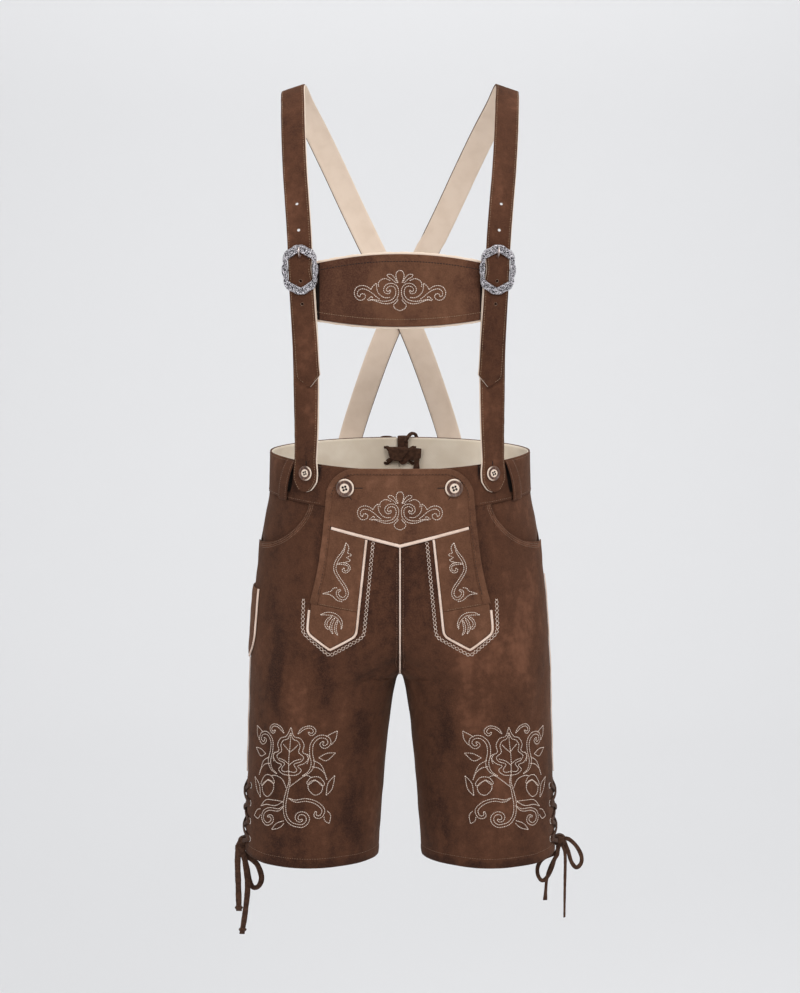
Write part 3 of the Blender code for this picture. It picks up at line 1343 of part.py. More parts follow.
def flat_knot(inside):
    """The broad folded knot of the lace inside the waistband: x, middle height and half height."""
    rings = []
    for x, z, half in ((-0.0186, -0.4830, 0.0045), (-0.0130, -0.4860, 0.0086), (-0.0040, -0.4885, 0.0098),
                       (0.0060, -0.4890, 0.0106), (0.0150, -0.4875, 0.0096), (0.0240, -0.4855, 0.0088),
                       (0.0294, -0.4850, 0.0072)):
        ring = []
        for place, out in ((-1, -0.6), (-0.6, 0.9), (0.6, 0.9), (1, -0.6), (0.5, -2.2), (-0.5, -2.2)):
            point, normal = back_point(x, z + half * place, inside)
            ring.append(point + normal * out * MM)
        rings.append(ring)
    return loft("back_lace_flat_knot", rings, "lace")


def rim_band(inside, outside):
    """The broad end of the lace that comes up from the flat knot and over the rim to the outside."""
    rim = RIM_SIDE + RIM_BACK_RISE
    rings = []
    for z, out, half in ((rim - 0.0165, inside - 0.2 * MM, 0.0070), (rim - 0.0040, inside, 0.0074),
                         (rim + 0.0032, inside + 1.6 * MM, 0.0074), (rim + 0.0052, 0.0, 0.0070),
                         (rim + 0.0036, outside - 0.6 * MM, 0.0060), (rim - 0.0030, outside + 0.9 * MM, 0.0052),
                         (rim - 0.0100, outside + 0.9 * MM, 0.0040)):
        rings.append((z, out, half))
    made = []
    for i, (z, out, half) in enumerate(rings):
        before, after = rings[max(0, i - 1)], rings[min(len(rings) - 1, i + 1)]
        ahead = np.array([after[0] - before[0], after[1] - before[1]])
        ahead /= np.linalg.norm(ahead)
        off = np.array([-ahead[1], ahead[0]]) * 0.9 * MM
        ring = []
        for x, way in ((-half, -1), (half, -1), (half, 1), (-half, 1)):
            ring.append(back_point(0.0037 + x, z + off[0] * way, out + off[1] * way)[0])
        made.append(ring)
    return loft("back_lace_rim_band", made, "lace")


def main():
    clear_scene()
    body_panels()
    pocket_bearers()
    waistband()
    flap_yoke()
    flap_binding()
    flap_strips()
    pipings()
    side_pipings()
    knife_pocket()
    belt_loops()
    chest_bar()
    straps()
    flap_buttons()
    laces()
    back_lace()


main()
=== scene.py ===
from collections import namedtuple
import bpy
import numpy as np
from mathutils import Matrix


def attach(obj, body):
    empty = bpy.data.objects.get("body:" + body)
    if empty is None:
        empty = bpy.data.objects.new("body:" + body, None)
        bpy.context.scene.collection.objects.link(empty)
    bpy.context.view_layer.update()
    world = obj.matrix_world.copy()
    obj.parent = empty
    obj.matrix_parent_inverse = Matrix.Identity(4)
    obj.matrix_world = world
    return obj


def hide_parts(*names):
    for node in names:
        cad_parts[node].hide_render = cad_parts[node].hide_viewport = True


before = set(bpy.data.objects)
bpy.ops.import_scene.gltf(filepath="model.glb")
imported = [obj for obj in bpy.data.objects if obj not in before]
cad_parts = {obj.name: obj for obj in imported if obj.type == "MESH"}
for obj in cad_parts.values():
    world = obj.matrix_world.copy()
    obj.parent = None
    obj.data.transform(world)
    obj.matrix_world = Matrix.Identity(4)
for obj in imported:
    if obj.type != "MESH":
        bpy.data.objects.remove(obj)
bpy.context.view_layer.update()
ROOT = "root"
SIDES = ((1, "right"), (-1, "left"))
FORWARD = np.array([0.0, -1.0, 0.0])
UPWARD = np.array([0.0, 0.0, 1.0])

# ================================================================ sizes, in metres
MM = 0.001
GAP = 0.3 * MM
HALF_GAP = GAP / 2
RIM_SIDE = -0.4724
RIM_FRONT_DIP = 0.0148
RIM_BACK_RISE = 0.0066
BAND_HEIGHT = 0.0525
HIP_LINE = -0.530
CROTCH = -0.765
HEM = -1.005
LEG_SPREAD = 0.0284
LEG_SPREAD_POWER = 0.55
PARTING_POWER = 3.2
SUEDE = 1.8 * MM
LINING = 1.0 * MM
STRAP_SUEDE = 1.6 * MM
STRAP_STACK = LINING + GAP + STRAP_SUEDE
BAND_OUT = 1.0 * MM
FLAP_LIFT_TOP = BAND_OUT + GAP
FLAP_LIFT_LOW = 0.7 * MM
FLAP_SETTLE_TOP = -0.560        # from here down the flap settles on the legs
FLAP_SETTLE_RUN = 0.080
WAVY_TOP = -0.52                # the hide is wavy from here down, fully so after the run
WAVY_RUN = 0.03
STRAP_WIDTH = 0.032

# half sections of the body: height, side, front and back reach, squareness of the outline
SECTIONS = np.array([
    (-1.010, 0.2045, 0.0890, 0.0910, 2.05),
    (-0.960, 0.2030, 0.0920, 0.0945, 2.07),
    (-0.900, 0.2008, 0.0960, 0.1010, 2.10),
    (-0.830, 0.1985, 0.1025, 0.1110, 2.15),
    (-0.765, 0.1968, 0.1090, 0.1230, 2.20),
    (-0.700, 0.1935, 0.1160, 0.1330, 2.25),
    (-0.646, 0.1893, 0.1180, 0.1325, 2.30),
    (-0.604, 0.1842, 0.1180, 0.1285, 2.30),
    (-0.562, 0.1770, 0.1175, 0.1240, 2.32),
    (-0.530, 0.1707, 0.1160, 0.1190, 2.35),
    (-0.500, 0.1693, 0.1153, 0.1165, 2.35),
    (-0.460, 0.1685, 0.1150, 0.1150, 2.35),
])

# soft folds: side of the body, top and bottom height, angles there and width in degrees, and how
# far the cloth stands out in millimetres
Fold = namedtuple("Fold", "side top bottom angle_top angle_bottom width height")
FOLDS = [Fold(*row) for row in (
    (1, -0.77, -1.03, -38, -30, 13, -5.0),
    (-1, -0.775, -1.03, -34, -28, 13, -4.6),
    (1, -0.80, -1.03, -2, 4, 16, 2.6),
    (-1, -0.81, -1.03, 2, 6, 16, 2.4),
    (1, -0.70, -0.85, -58, 20, 12, -3.0),
    (-1, -0.705, -0.86, -56, 16, 12, -2.8),
    (1, -0.56, -0.76, 62, 50, 12, -2.2),
    (-1, -0.57, -0.77, 60, 52, 12, -2.0),
    (1, -0.70, -0.90, 205, 150, 14, -4.0),
    (-1, -0.71, -0.92, 208, 146, 14, -3.8),
    (1, -0.76, -1.03, 218, 212, 14, -4.5),
    (-1, -0.77, -1.03, 214, 208, 14, -4.2),
    (1, -0.60, -0.74, 120, 132, 13, -2.2),
    (-1, -0.61, -0.75, 124, 130, 13, -2.0),
)]
# smaller creases that only the visible surface has
CREASES = [Fold(*row) for row in (
    (1, -0.69, -0.80, -62, -20, 5, -1.3),
    (1, -0.715, -0.79, -70, -40, 4, 1.0),
    (-1, -0.695, -0.805, -60, -18, 5, -1.2),
    (-1, -0.72, -0.795, -72, -44, 4, 1.0),
    (1, -0.735, -0.87, 74, 30, 6, -1.0),
    (-1, -0.745, -0.88, 72, 34, 6, -0.9),
    (1, -0.545, -0.64, 40, 34, 5, -0.8),
    (-1, -0.545, -0.65, 42, 38, 5, -0.8),
    (1, -0.86, -1.02, 30, 26, 7, -1.4),
    (-1, -0.85, -1.02, 34, 28, 7, -1.4),
    (1, -0.85, -1.01, 60, 66, 6, 1.1),
    (-1, -0.86, -1.01, 58, 64, 6, 1.0),
    (1, -0.54, -0.66, 110, 125, 6, -1.2),
    (-1, -0.54, -0.65, 112, 124, 6, -1.1),
    (1, -0.72, -0.79, 222, 180, 6, -1.4),
    (-1, -0.725, -0.795, 224, 182, 6, -1.4),
    (1, -0.84, -1.01, 160, 152, 8, -1.6),
    (-1, -0.85, -1.01, 158, 154, 8, -1.5),
    (1, -0.80, -0.96, 120, 126, 7, 1.2),
    (-1, -0.79, -0.95, 124, 128, 7, 1.2),
)]

VENT_TOP = -0.898
VENT_HALF = 0.0055
VENT_RUN = 0.035                # height over which the vent opens to its full width
EYELET_SETBACK = 0.036
EYELET_ROWS = (-0.9097, -0.9334, -0.9570, -0.9807)
NOTCH_TOP = 0.0052
NOTCH_BOTTOM = 0.2 * MM
BACK_EYELET_X = 0.021
BACK_EYELET_DROPS = (0.0135, 0.0345)
POCKET_X = 0.1175
POCKET_DEPTH = 0.0572
POCKET_GAPE = 2.2 * MM

# the flap: height, distance of its edge from the centre, width of its stitched rim; from the bottom up
FLAP_ROWS = np.array([
    (-0.6608, 0.1153, 0.0095),
    (-0.6210, 0.1060, 0.0092),
    (-0.6020, 0.1026, 0.0088),
    (-0.5560, 0.0968, 0.0082),
    (-0.5250, 0.0940, 0.0078),
])
FLAP_TOP = -0.4858
FLAP_CORNER = 0.0392
FLAP_THICK = 1.7 * MM
RIM_THICK = 2.3 * MM
RIM_RUN = (-0.652, -0.540)
STRIP_TOP = -0.5655
STRIP_FOOT_X = 0.1055
YOKE_PIPING_END = -0.5623
CENTRE_PIPING_RUN = (-0.5875, -0.756)
SIDE_PIPING_TOP = -0.6350
POINT_CUTS = (0.0075, 0.0030, 0.0075)
YOKE_APEX = -0.5846
YOKE_SLOPE = 0.252
PIPING_WIDE = 4.4 * MM
PIPING = 3.2 * MM
PIPING_THICK = 2.2 * MM
SEAM_INNER = (0.0554, -0.6699)
SEAM_OUTER = (0.1153, -0.6602)
POINT_PATH = [(0.0427, -0.5758), (0.0564, -0.7010), (0.0899, -0.7196), (0.1190, -0.6986), (0.1163, -0.6690)]
CHAIN_PATH = [(0.0343, -0.5790), (0.0465, -0.7025), (0.0905, -0.7275), (0.1255, -0.6985), (0.1240, -0.6550)]

KNIFE_TOP = -0.6500
KNIFE_BOTTOM = -0.7415
KNIFE_HALF = 0.0400
KNIFE_THICK = 2.0 * MM
KNIFE_LIFT = 0.8 * MM

BAR_REACH = 0.1310
BAR_FRONT = -0.1200
BAR_CURVE = 0.0100              # how far the bar falls back at BAR_HALF from its middle
BAR_HALF = 0.13
BAR_TOP = -0.2119
BAR_BOTTOM = -0.3038
BAR_SHOULDER = 0.1025
BAR_TOP_FALL = 0.0113
BAR_BOTTOM_RISE = 0.0086
BAR_EDGE = 2.8 * MM

# strap routes: point on the inner face, and the way the outer face looks
STRAP_FRONT_TO_BACK = np.array([
    (0.1150, -0.1086, -0.3810, 0.14, -1.0, 0.0),
    (0.1180, -0.1110, -0.3600, 0.14, -1.0, 0.0),
    (0.1205, -0.1148, -0.3200, 0.12, -1.0, 0.0),
    (0.1235, -0.1162, -0.2790, 0.12, -1.0, 0.0),
    (0.1250, -0.1170, -0.2540, 0.12, -1.0, 0.0),
    (0.1262, -0.1179, -0.2314, 0.12, -1.0, 0.0),
    (0.1270, -0.1155, -0.2070, 0.12, -1.0, 0.1),
    (0.1282, -0.1118, -0.1830, 0.12, -1.0, 0.2),
    (0.1308, -0.1010, -0.1470, 0.14, -1.0, 0.3),
    (0.1338, -0.0840, -0.1080, 0.18, -1.0, 0.5),
    (0.1362, -0.0600, -0.0650, 0.24, -1.0, 0.9),
    (0.1375, -0.0330, -0.0280, 0.30, -0.8, 1.2),
    (0.1372, 0.0000, -0.0045, 0.34, 0.0, 1.0),
    (0.1265, 0.0330, -0.0280, 0.30, 0.8, 1.0),
    (0.1085, 0.0610, -0.0640, 0.20, 1.0, 0.7),
    (0.0860, 0.0860, -0.1120, 0.12, 1.0, 0.4),
    (0.0600, 0.1030, -0.1690, 0.05, 1.0, 0.2),
    (0.0290, 0.1125, -0.2330, 0.0, 1.0, 0.0),
    (0.0000, 0.1160, -0.2900, 0.0, 1.0, 0.0),
    (-0.0240, 0.1175, -0.3450, 0.0, 1.0, 0.0),
    (-0.0440, 0.1172, -0.4000, -0.1, 1.0, 0.0),
    (-0.0610, 0.1160, -0.4520, -0.2, 1.0, 0.0),
])
STRAP_SEATS = ((-0.0695, -0.4860), (-0.0755, -0.5150))
CROSSING = {16: 0.8 * MM, 17: 3.7 * MM, 18: 4.2 * MM, 19: 3.7 * MM, 20: 0.8 * MM}
LOWER_STRAP = np.array([
    (0.1262, -0.1114, -0.2255, 0.12, -1.0, 0.0),
    (0.1248, -0.1115, -0.2540, 0.12, -1.0, 0.0),
    (0.1222, -0.1118, -0.2990, 0.12, -1.0, 0.0),
    (0.1204, -0.1080, -0.3400, 0.15, -1.0, 0.0),
    (0.1198, -0.1030, -0.3900, 0.25, -1.0, 0.0),
    (0.1196, -0.0975, -0.4400, 0.45, -1.0, 0.0),
])
LOWER_SEATS = ((0.1196, -0.4760), (0.1200, -0.4950), (0.1212, -0.5175))
STRAP_HOLES = (-0.1494, -0.1820, -0.2137, -0.2456, -0.2750)
STRAP_HOLE = 4.0 * MM
PRONG_HOLE = 2                  # counted from the top, from 0
BUCKLE_Z = -0.2314
BUCKLE_HALF_WIDE = 0.0232
BUCKLE_HALF_HIGH = 0.0312
BUCKLE_BACK = 3.25 * MM
FLAP_BUTTON = (0.0691, -0.5105, 0.0235)
STRAP_BUTTON_Z = -0.4934
STRAP_BUTTON_SIZE = 0.0192
BUTTON_THICK = 3.2 * MM
BELT_LOOP_XS = (0.1426, 0.1150)
BELT_LOOP_WIDE = 0.0100
BELT_LOOP_STAND = 2.6 * MM

# free stretches of the laces, centreline points
LEFT_END_SHORT = [(-0.2134, -0.0066, -0.9952), (-0.2142, -0.0068, -1.0200), (-0.2134, -0.0062, -1.0500),
                  (-0.2128, -0.0055, -1.0836)]
LEFT_END_LONG = [(-0.2076, -0.0066, -0.9952), (-0.2074, -0.0070, -1.0065), (-0.2045, -0.0072, -1.0160),
                 (-0.2020, -0.0072, -1.0350), (-0.2013, -0.0070, -1.0555), (-0.2045, -0.0060, -1.0850),
                 (-0.2090, -0.0050, -1.1146)]
LEFT_LOOP = [(-0.2106, -0.0004, -0.9960), (-0.2085, -0.0004, -1.0040), (-0.2030, -0.0002, -1.0105),
             (-0.1950, 0.0000, -1.0160), (-0.1878, 0.0005, -1.0240), (-0.1830, 0.0010, -1.0400),
             (-0.1868, 0.0018, -1.0515), (-0.1944, 0.0028, -1.0535), (-0.1995, 0.0044, -1.0440),
             (-0.2020, 0.0062, -1.0300), (-0.2060, 0.0068, -1.0130), (-0.2090, 0.0066, -1.0050),
             (-0.2104, 0.0052, -0.9955)]
RIGHT_END_LONG = [(0.2138, -0.0062, -0.9952), (0.2172, -0.0075, -1.0040), (0.2180, -0.0078, -1.0170),
                  (0.2176, -0.0075, -1.0500), (0.2172, -0.0070, -1.0917)]
RIGHT_END_SHORT = [(0.2100, 0.0052, -0.9952), (0.2088, 0.0066, -1.0070), (0.2040, 0.0070, -1.0160),
                   (0.1975, 0.0072, -1.0300), (0.1940, 0.0068, -1.0450), (0.1921, 0.0060, -1.0715)]
RIGHT_LOOP_BIG = [(0.2173, -0.0050, -0.9862), (0.2240, -0.0062, -0.9880), (0.2330, -0.0066, -0.9970),
                  (0.2392, -0.0060, -1.0095), (0.2388, -0.0050, -1.0200), (0.2325, -0.0040, -1.0255),
                  (0.2262, -0.0028, -1.0180), (0.2225, -0.0010, -1.0060), (0.2190, 0.0018, -0.9965),
                  (0.2175, 0.0040, -0.9925)]
RIGHT_LOOP_SMALL = [(0.2082, -0.0066, -0.9962), (0.2076, -0.0069, -1.0070), (0.2040, -0.0069, -1.0135),
                    (0.2000, -0.0067, -1.0270), (0.1930, -0.0061, -1.0395), (0.1870, -0.0056, -1.0425),
                    (0.1820, -0.0052, -1.0350), (0.1820, -0.0047, -1.0240), (0.1880, -0.0036, -1.0145),
                    (0.1980, -0.0018, -1.0098), (0.2062, -0.0004, -1.0060), (0.2104, -0.0002, -0.9960)]
LEFT_KNOT = np.array((-0.2105, -0.0010, -0.9893))
RIGHT_KNOT = np.array((0.2108, -0.0010, -0.9893))
LEFT_KNOT_SHIFT = np.array([5.4, -2.0, -1.0]) * MM
LEFT_KNOT_BEND = [(-0.2066, -0.0050, -0.9885), (-0.2104, -0.0064, -0.9915), (-0.2131, -0.0069, -0.9968),
                  (-0.2137, -0.0067, -1.0010)]
KNOT_SIZES = {1: (8.0 * MM, 9.0 * MM, 8.0 * MM), -1: (8.4 * MM, 9.0 * MM, 6.8 * MM)}

CAMERA_DISTANCE = 5.0
CAMERA_DIP = 6.09               # degrees below level
CAMERA_LENS = 139.4


# ================================================================ the body's surface, as arrays
def hermite(rows, at, column):
    """A column of a rising table read along a smooth curve between its rows."""
    xs, ys = rows[:, 0], rows[:, column]
    slopes = np.gradient(ys, xs)
    at = np.clip(at, xs[0], xs[-1])
    k = np.clip(np.searchsorted(xs, at, side="right") - 1, 0, len(xs) - 2)
    width = xs[k + 1] - xs[k]
    t = (at - xs[k]) / width
    rise = ys[k] * (2 * t**3 - 3 * t**2 + 1) + ys[k + 1] * (3 * t**2 - 2 * t**3)
    return rise + width * (slopes[k] * (t**3 - 2 * t**2 + t) + slopes[k + 1] * (t**3 - t**2))


FINE_Z = np.linspace(-1.010, -0.460, 2201)
FINE_TABLES = [hermite(SECTIONS, FINE_Z, c) for c in (1, 2, 3, 4)]


def outline(z):
    """Centre, half width, front and back reach and squareness of the half section at heights z."""
    side, front, back, power = (np.interp(z, FINE_Z, t) for t in FINE_TABLES)
    above = z > CROTCH
    parted = np.where(above, np.clip((HIP_LINE - z) / (HIP_LINE - CROTCH), 0, 1) ** PARTING_POWER, 1.0)
    whole = side / (1 + parted)
    spread = np.clip((CROTCH - z) / (CROTCH - HEM), 0, None) ** LEG_SPREAD_POWER
    inner = np.maximum(HALF_GAP, LEG_SPREAD * spread)
    centre = np.where(above, parted * whole, (side + inner) / 2)
    half = np.where(above, whole, (side - inner) / 2)
    return centre, half, front, back, power


def bare_skin(side, angle, z):
    centre, half, front, back, power = outline(z)
    across = np.sin(angle)
    reach = np.where(np.cos(angle) > 0, front, -back)
    depth = -reach * (1 - np.minimum(1.0, np.abs(across)) ** power) ** (1 / power)
    return np.stack([side * (centre + half * across), depth, z], axis=-1)


def crease_height(rows, side, angle, z):
    height = np.zeros(np.shape(z))
    for fold in rows:
        along = (fold.top - z) / (fold.top - fold.bottom)
        on = (side == fold.side) & (along > 0) & (along < 1)
        along = np.clip(along, 0, 1)
        middle = np.radians(fold.angle_top + (fold.angle_bottom - fold.angle_top) * along)
        off = (angle - middle) / np.radians(fold.width)
        height += np.where(on, fold.height * MM * np.sin(np.pi * along) ** 0.8 * np.exp(-(off**2)), 0.0)
    return height


def unevenness(point):
    """The slight waviness of hide, under a millimetre, as a sum of slow waves."""
    total = np.zeros(point.shape[:-1])
    for i in range(9):
        turn = 2.399 * i
        pitch = 0.085 / (1 + 0.42 * i)
        way = np.array([np.cos(turn), 0.6 * np.sin(turn * 1.7), np.sin(turn)])
        total += np.sin(point @ way * 2 * np.pi / pitch + 1.3 * i * i) / (1 + 0.55 * i)
    return total * 0.22 * MM


def same_shape(*values):
    return np.broadcast_arrays(*(np.asarray(value, float) for value in values))


def unit(v):
    return v / np.maximum(np.linalg.norm(v, axis=-1, keepdims=True), 1e-12)


def skin(side, angle, z):
    """Points of the cloth's outer surface and the directions that face out of it."""
    side, angle, z = same_shape(side, angle, z)
    step_angle, step_z = 0.01, 1.5 * MM
    here = bare_skin(side, angle, z)
    along = bare_skin(side, angle + step_angle, z) - bare_skin(side, angle - step_angle, z)
    up = bare_skin(side, angle, z + step_z) - bare_skin(side, angle, z - step_z)
    normal = unit(np.cross(along, up) * side[..., None])
    height = crease_height(FOLDS + CREASES, side, angle, z)
    height += unevenness(here) * np.clip((WAVY_TOP - z) / WAVY_RUN, 0, 1)
    return here + normal * height[..., None], normal


def angle_at_x(x, z):
    centre, half, _, _, _ = outline(z)
    return np.arcsin(np.clip((np.abs(x) - centre) / half, -1, 1))


def angle_at_y(y, z, inner=False):
    """The angle at depth y near the side seam, or near the inseam, front or back."""
    _, _, front, back, power = outline(z)
    across = (1 - (np.abs(y) / np.where(y < 0, front, back)) ** power) ** (1 / power)
    turn = np.arcsin(across) * (-1 if inner else 1)
    return np.where(y < 0, turn, np.pi - turn)


def front_start(z):
    return np.where(z > CROTCH, angle_at_x(HALF_GAP, z), angle_at_y(-HALF_GAP, z, inner=True))


def back_end(z):
    return np.where(z > CROTCH, np.pi - angle_at_x(HALF_GAP, z), angle_at_y(HALF_GAP, z, inner=True))


def rim_height(angle):
    facing = np.cos(angle)
    return RIM_SIDE + np.where(facing > 0, -RIM_FRONT_DIP, RIM_BACK_RISE) * facing**2


def seam_height(angle):
    return rim_height(angle) - BAND_HEIGHT


def vent_half(z):
    return HALF_GAP + VENT_HALF * np.clip((VENT_TOP - z) / VENT_RUN, 0, 1) ** 0.7


def flap_lift(z):
    ease = np.clip((FLAP_SETTLE_TOP - z) / FLAP_SETTLE_RUN, 0, 1)
    return FLAP_LIFT_TOP + (FLAP_LIFT_LOW - FLAP_LIFT_TOP) * ease * ease * (3 - 2 * ease)


def pushed(point, normal, out):
    return point + normal * np.asarray(out)[..., None]


def on_front(x, z, out):
    """Points of the front surface at x and z, moved out."""
    x, z, out = same_shape(x, z, out)
    point, normal = skin(np.where(x < 0, -1.0, 1.0), angle_at_x(x, z), z)
    # across the centre seam the surface is flat
    middle = (np.abs(x) < 4 * MM)[..., None]
    normal = unit(np.where(middle, normal * (0.0, 1.0, 1.0), normal))
    point = np.where(middle, np.stack([x, point[..., 1], point[..., 2]], -1), point)
    return pushed(point, normal, out)


def on_side(side, y, z, out):
    y = np.where(np.abs(y) < HALF_GAP, HALF_GAP, y)
    point, normal = skin(side, angle_at_y(y, z), z)
    return pushed(point, normal, np.broadcast_to(out, point.shape[:-1]))


def back_skin(x, z):
    return skin(np.where(np.asarray(x) < 0, -1.0, 1.0), np.pi - angle_at_x(x, z), z)


def on_back(x, z, out):
    x, z, out = same_shape(x, z, out)
    return pushed(*back_skin(x, z), out)


# ================================================================ meshes
def make_object(name, points, faces, material, smooth=True):
    mesh = bpy.data.meshes.new(name)
    mesh.from_pydata([tuple(p) for p in np.asarray(points).reshape(-1, 3).tolist()], [], faces)
    mesh.materials.append(material)
    if smooth:
        mesh.shade_smooth()
    made = bpy.data.objects.new(name, mesh)
    bpy.context.scene.collection.objects.link(made)
    return made


def finish_piece(piece, nodes=()):
    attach(piece, ROOT)
    if nodes:
        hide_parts(*nodes)
    return piece


def shell(name, outer, inner, material, bulge=0.30 * MM):
    """A cut piece: outer and inner grids of points joined by a softly rounded edge."""
    outer, inner = np.asarray(outer), np.asarray(inner)
    rows, columns = outer.shape[:2]
    size = rows * columns
    index = np.arange(size).reshape(rows, columns)
    quads = np.stack([index[:-1, :-1], index[:-1, 1:], index[1:, 1:], index[1:, :-1]], -1).reshape(-1, 4)
    border = np.concatenate([index[0, :], index[1:, -1], index[-1, -2::-1], index[-2:0:-1, 0]])
    inward = np.concatenate([index[1, :], index[1:, -2], index[-2, -2::-1], index[-2:0:-1, 1]])
    flat_outer, flat_inner = outer.reshape(-1, 3), inner.reshape(-1, 3)
    away = unit(flat_outer[border] - flat_outer[inward])
    middle = (flat_outer[border] + flat_inner[border]) / 2 + away * bulge
    points = np.concatenate([flat_outer, flat_inner, middle])
    ring = np.arange(len(border)) + 2 * size
    after = np.roll(np.arange(len(border)), -1)
    faces = quads.tolist() + (quads[:, ::-1] + size).tolist()
    faces += np.stack([border[after], border, ring, ring[after]], -1).tolist()
    faces += np.stack([ring[after], ring, border + size, border[after] + size], -1).tolist()
    piece = make_object(name, points, faces, material)
    a, b, c = (points[quads[:, k]] - points.mean(0) for k in range(3))
    if np.einsum("ij,ij->i", a, np.cross(b, c)).sum() < 0:
        piece.data.flip_normals()
    return piece


def lengths_along(path):
    return np.concatenate([[0.0], np.cumsum(np.linalg.norm(np.diff(path, axis=0), axis=1))])


def finish_parts(name, parts, material, slot, *nodes):
    return finish_piece(make_object(name, *joined_parts(parts), material), nodes)


def cut_piece(name, node, outer, inner, material, bulge=0.30 * MM):
    """A sewn piece, put under the root, with the part of model.glb that it stands for hidden."""
    piece = finish_piece(shell(name, outer, inner, material, bulge), [node])
    return piece


def catmull(stops, steps):
    rows = np.array(stops, dtype=float)
    padded = np.vstack([2 * rows[0] - rows[1], rows, 2 * rows[-1] - rows[-2]])
    t = (np.arange(steps) / steps)[:, None]
    made = []
    for i in range(1, len(padded) - 2):
        p0, p1, p2, p3 = padded[i - 1:i + 3]
        made.append(0.5 * (2 * p1 + (p2 - p0) * t + (2 * p0 - 5 * p1 + 4 * p2 - p3) * t**2
                           + (3 * p1 - p0 - 3 * p2 + p3) * t**3))
    return np.vstack(made + [rows[-1:]])


def evenly(path, spacing):
    path = np.asarray(path, dtype=float)
    lengths = lengths_along(path[:, :3])
    count = max(2, int(round(lengths[-1] / spacing)) + 1)
    at = np.linspace(0, lengths[-1], count)
    return np.column_stack([np.interp(at, lengths, path[:, c]) for c in range(path.shape[1])])


def ring_faces(count, size, ends="closed"):
    """Faces between rings of points: the end rings are filled, left open, or joined to each other."""
    index = np.arange(count * size).reshape(count, size)
    after = np.roll(index, -1, axis=1)
    if ends == "joined":
        corners_of_face = [index, after, np.roll(after, -1, axis=0), np.roll(index, -1, axis=0)]
    else:
        corners_of_face = [index[:-1], after[:-1], after[1:], index[1:]]
    faces = np.stack(corners_of_face, -1).reshape(-1, 4).tolist()
    return faces + [index[0][::-1].tolist(), index[-1].tolist()] if ends == "closed" else faces


def tube_parts(path, across, up, sections):
    """Points and faces of a tube: sections holds, for each path point, offsets across and up."""
    path, across, up, sections = (np.asarray(part) for part in (path, across, up, sections))
    rings = path[:, None] + across[:, None] * sections[..., :1] + up[:, None] * sections[..., 1:]
    return rings.reshape(-1, 3), ring_faces(*rings.shape[:2])


def frames_on(path, up):
    """Across and up directions along a path whose up is roughly given."""
    ahead = unit(np.gradient(np.asarray(path), axis=0))
    across = unit(np.cross(ahead, up))
    return across, unit(np.cross(across, ahead))


def joined_parts(parts):
    """One list of points and faces from several."""
    points, faces, start = [], [], 0
    for more, more_faces in parts:
        points.append(np.asarray(more).reshape(-1, 3))
        faces += [[i + start for i in face] for face in more_faces]
        start += len(points[-1])
    return np.concatenate(points), faces


def leftwards(path):
    """The directions to the left of a flat path of two coordinates."""
    ahead = unit(np.gradient(path, axis=0))
    return np.stack([-ahead[:, 1], ahead[:, 0]], -1)


def wheel(out, hint, count):
    """Directions all round an axis."""
    across = unit(np.cross(out, hint))
    turn = 2 * np.pi * np.arange(count) / count
    return np.cos(turn)[:, None] * across + np.sin(turn)[:, None] * np.cross(across, out)


def hump(value, middle, width):
    """1 at the middle, fading softly to 0 over the width."""
    return np.exp(-(((value - middle) / width) ** 2))


# ---------------------------------------------------------------- sewing
STITCH_SIDES = 5


def stitch_parts(lines, length, gap, width, height):
    """Raised stitches along lines; a line is (points, directions out of the cloth)."""
    ends = []
    for path, out in lines:
        lengths = lengths_along(path)
        count = max(1, int(round(lengths[-1] / (length + gap))))
        pitch = lengths[-1] / count
        begin = np.arange(count) * pitch + gap / 2 * pitch / (length + gap)
        finish = begin + length * pitch / (length + gap)
        ends.append([np.column_stack([np.interp(at, lengths, values[:, c]) for c in range(3)])
                     for values, at in ((path, begin), (path, finish), (out, (begin + finish) / 2))])
    starts, ends, ups = (np.concatenate(part) for part in zip(*ends))
    ups = unit(ups)
    across = unit(np.cross(unit(ends - starts), ups))
    points = np.empty((len(starts), 3 * STITCH_SIDES + 2, 3))
    for ring, (share, swell) in enumerate(((0.10, 0.62), (0.5, 1.0), (0.90, 0.62))):
        centre = starts + (ends - starts) * share
        for k in range(STITCH_SIDES):
            turn = 2 * np.pi * k / STITCH_SIDES + np.pi / 2
            points[:, ring * STITCH_SIDES + k] = (centre + across * (width / 2 * swell * np.cos(turn))
                                                  + ups * (height * swell * np.sin(turn)))
    points[:, -2] = starts - ups * height * 0.5
    points[:, -1] = ends - ups * height * 0.5
    pairs = [(k, (k + 1) % STITCH_SIDES) for k in range(STITCH_SIDES)]
    sides = [(first + a, first + b, first + b + STITCH_SIDES, first + a + STITCH_SIDES)
             for first in (0, STITCH_SIDES) for a, b in pairs]
    last, near = 2 * STITCH_SIDES, 3 * STITCH_SIDES
    caps = [(b, a, near) for a, b in pairs] + [(a + last, b + last, near + 1) for a, b in pairs]
    offsets = np.arange(len(starts))[:, None, None] * points.shape[1]
    faces = (np.array(sides)[None] + offsets).reshape(-1, 4).tolist()
    faces += (np.array(caps)[None] + offsets).reshape(-1, 3).tolist()
    return points.reshape(-1, 3), faces


def laid(path, surface, out):
    """A line of (x, z) or (y, z) places carried onto a surface, with its outward directions."""
    path = evenly(np.asarray(path, dtype=float), 1.2 * MM)
    low = surface(path[:, 0], path[:, 1], np.zeros(len(path)) + out)
    high = surface(path[:, 0], path[:, 1], np.zeros(len(path)) + out + 1 * MM)
    return low, unit(high - low)


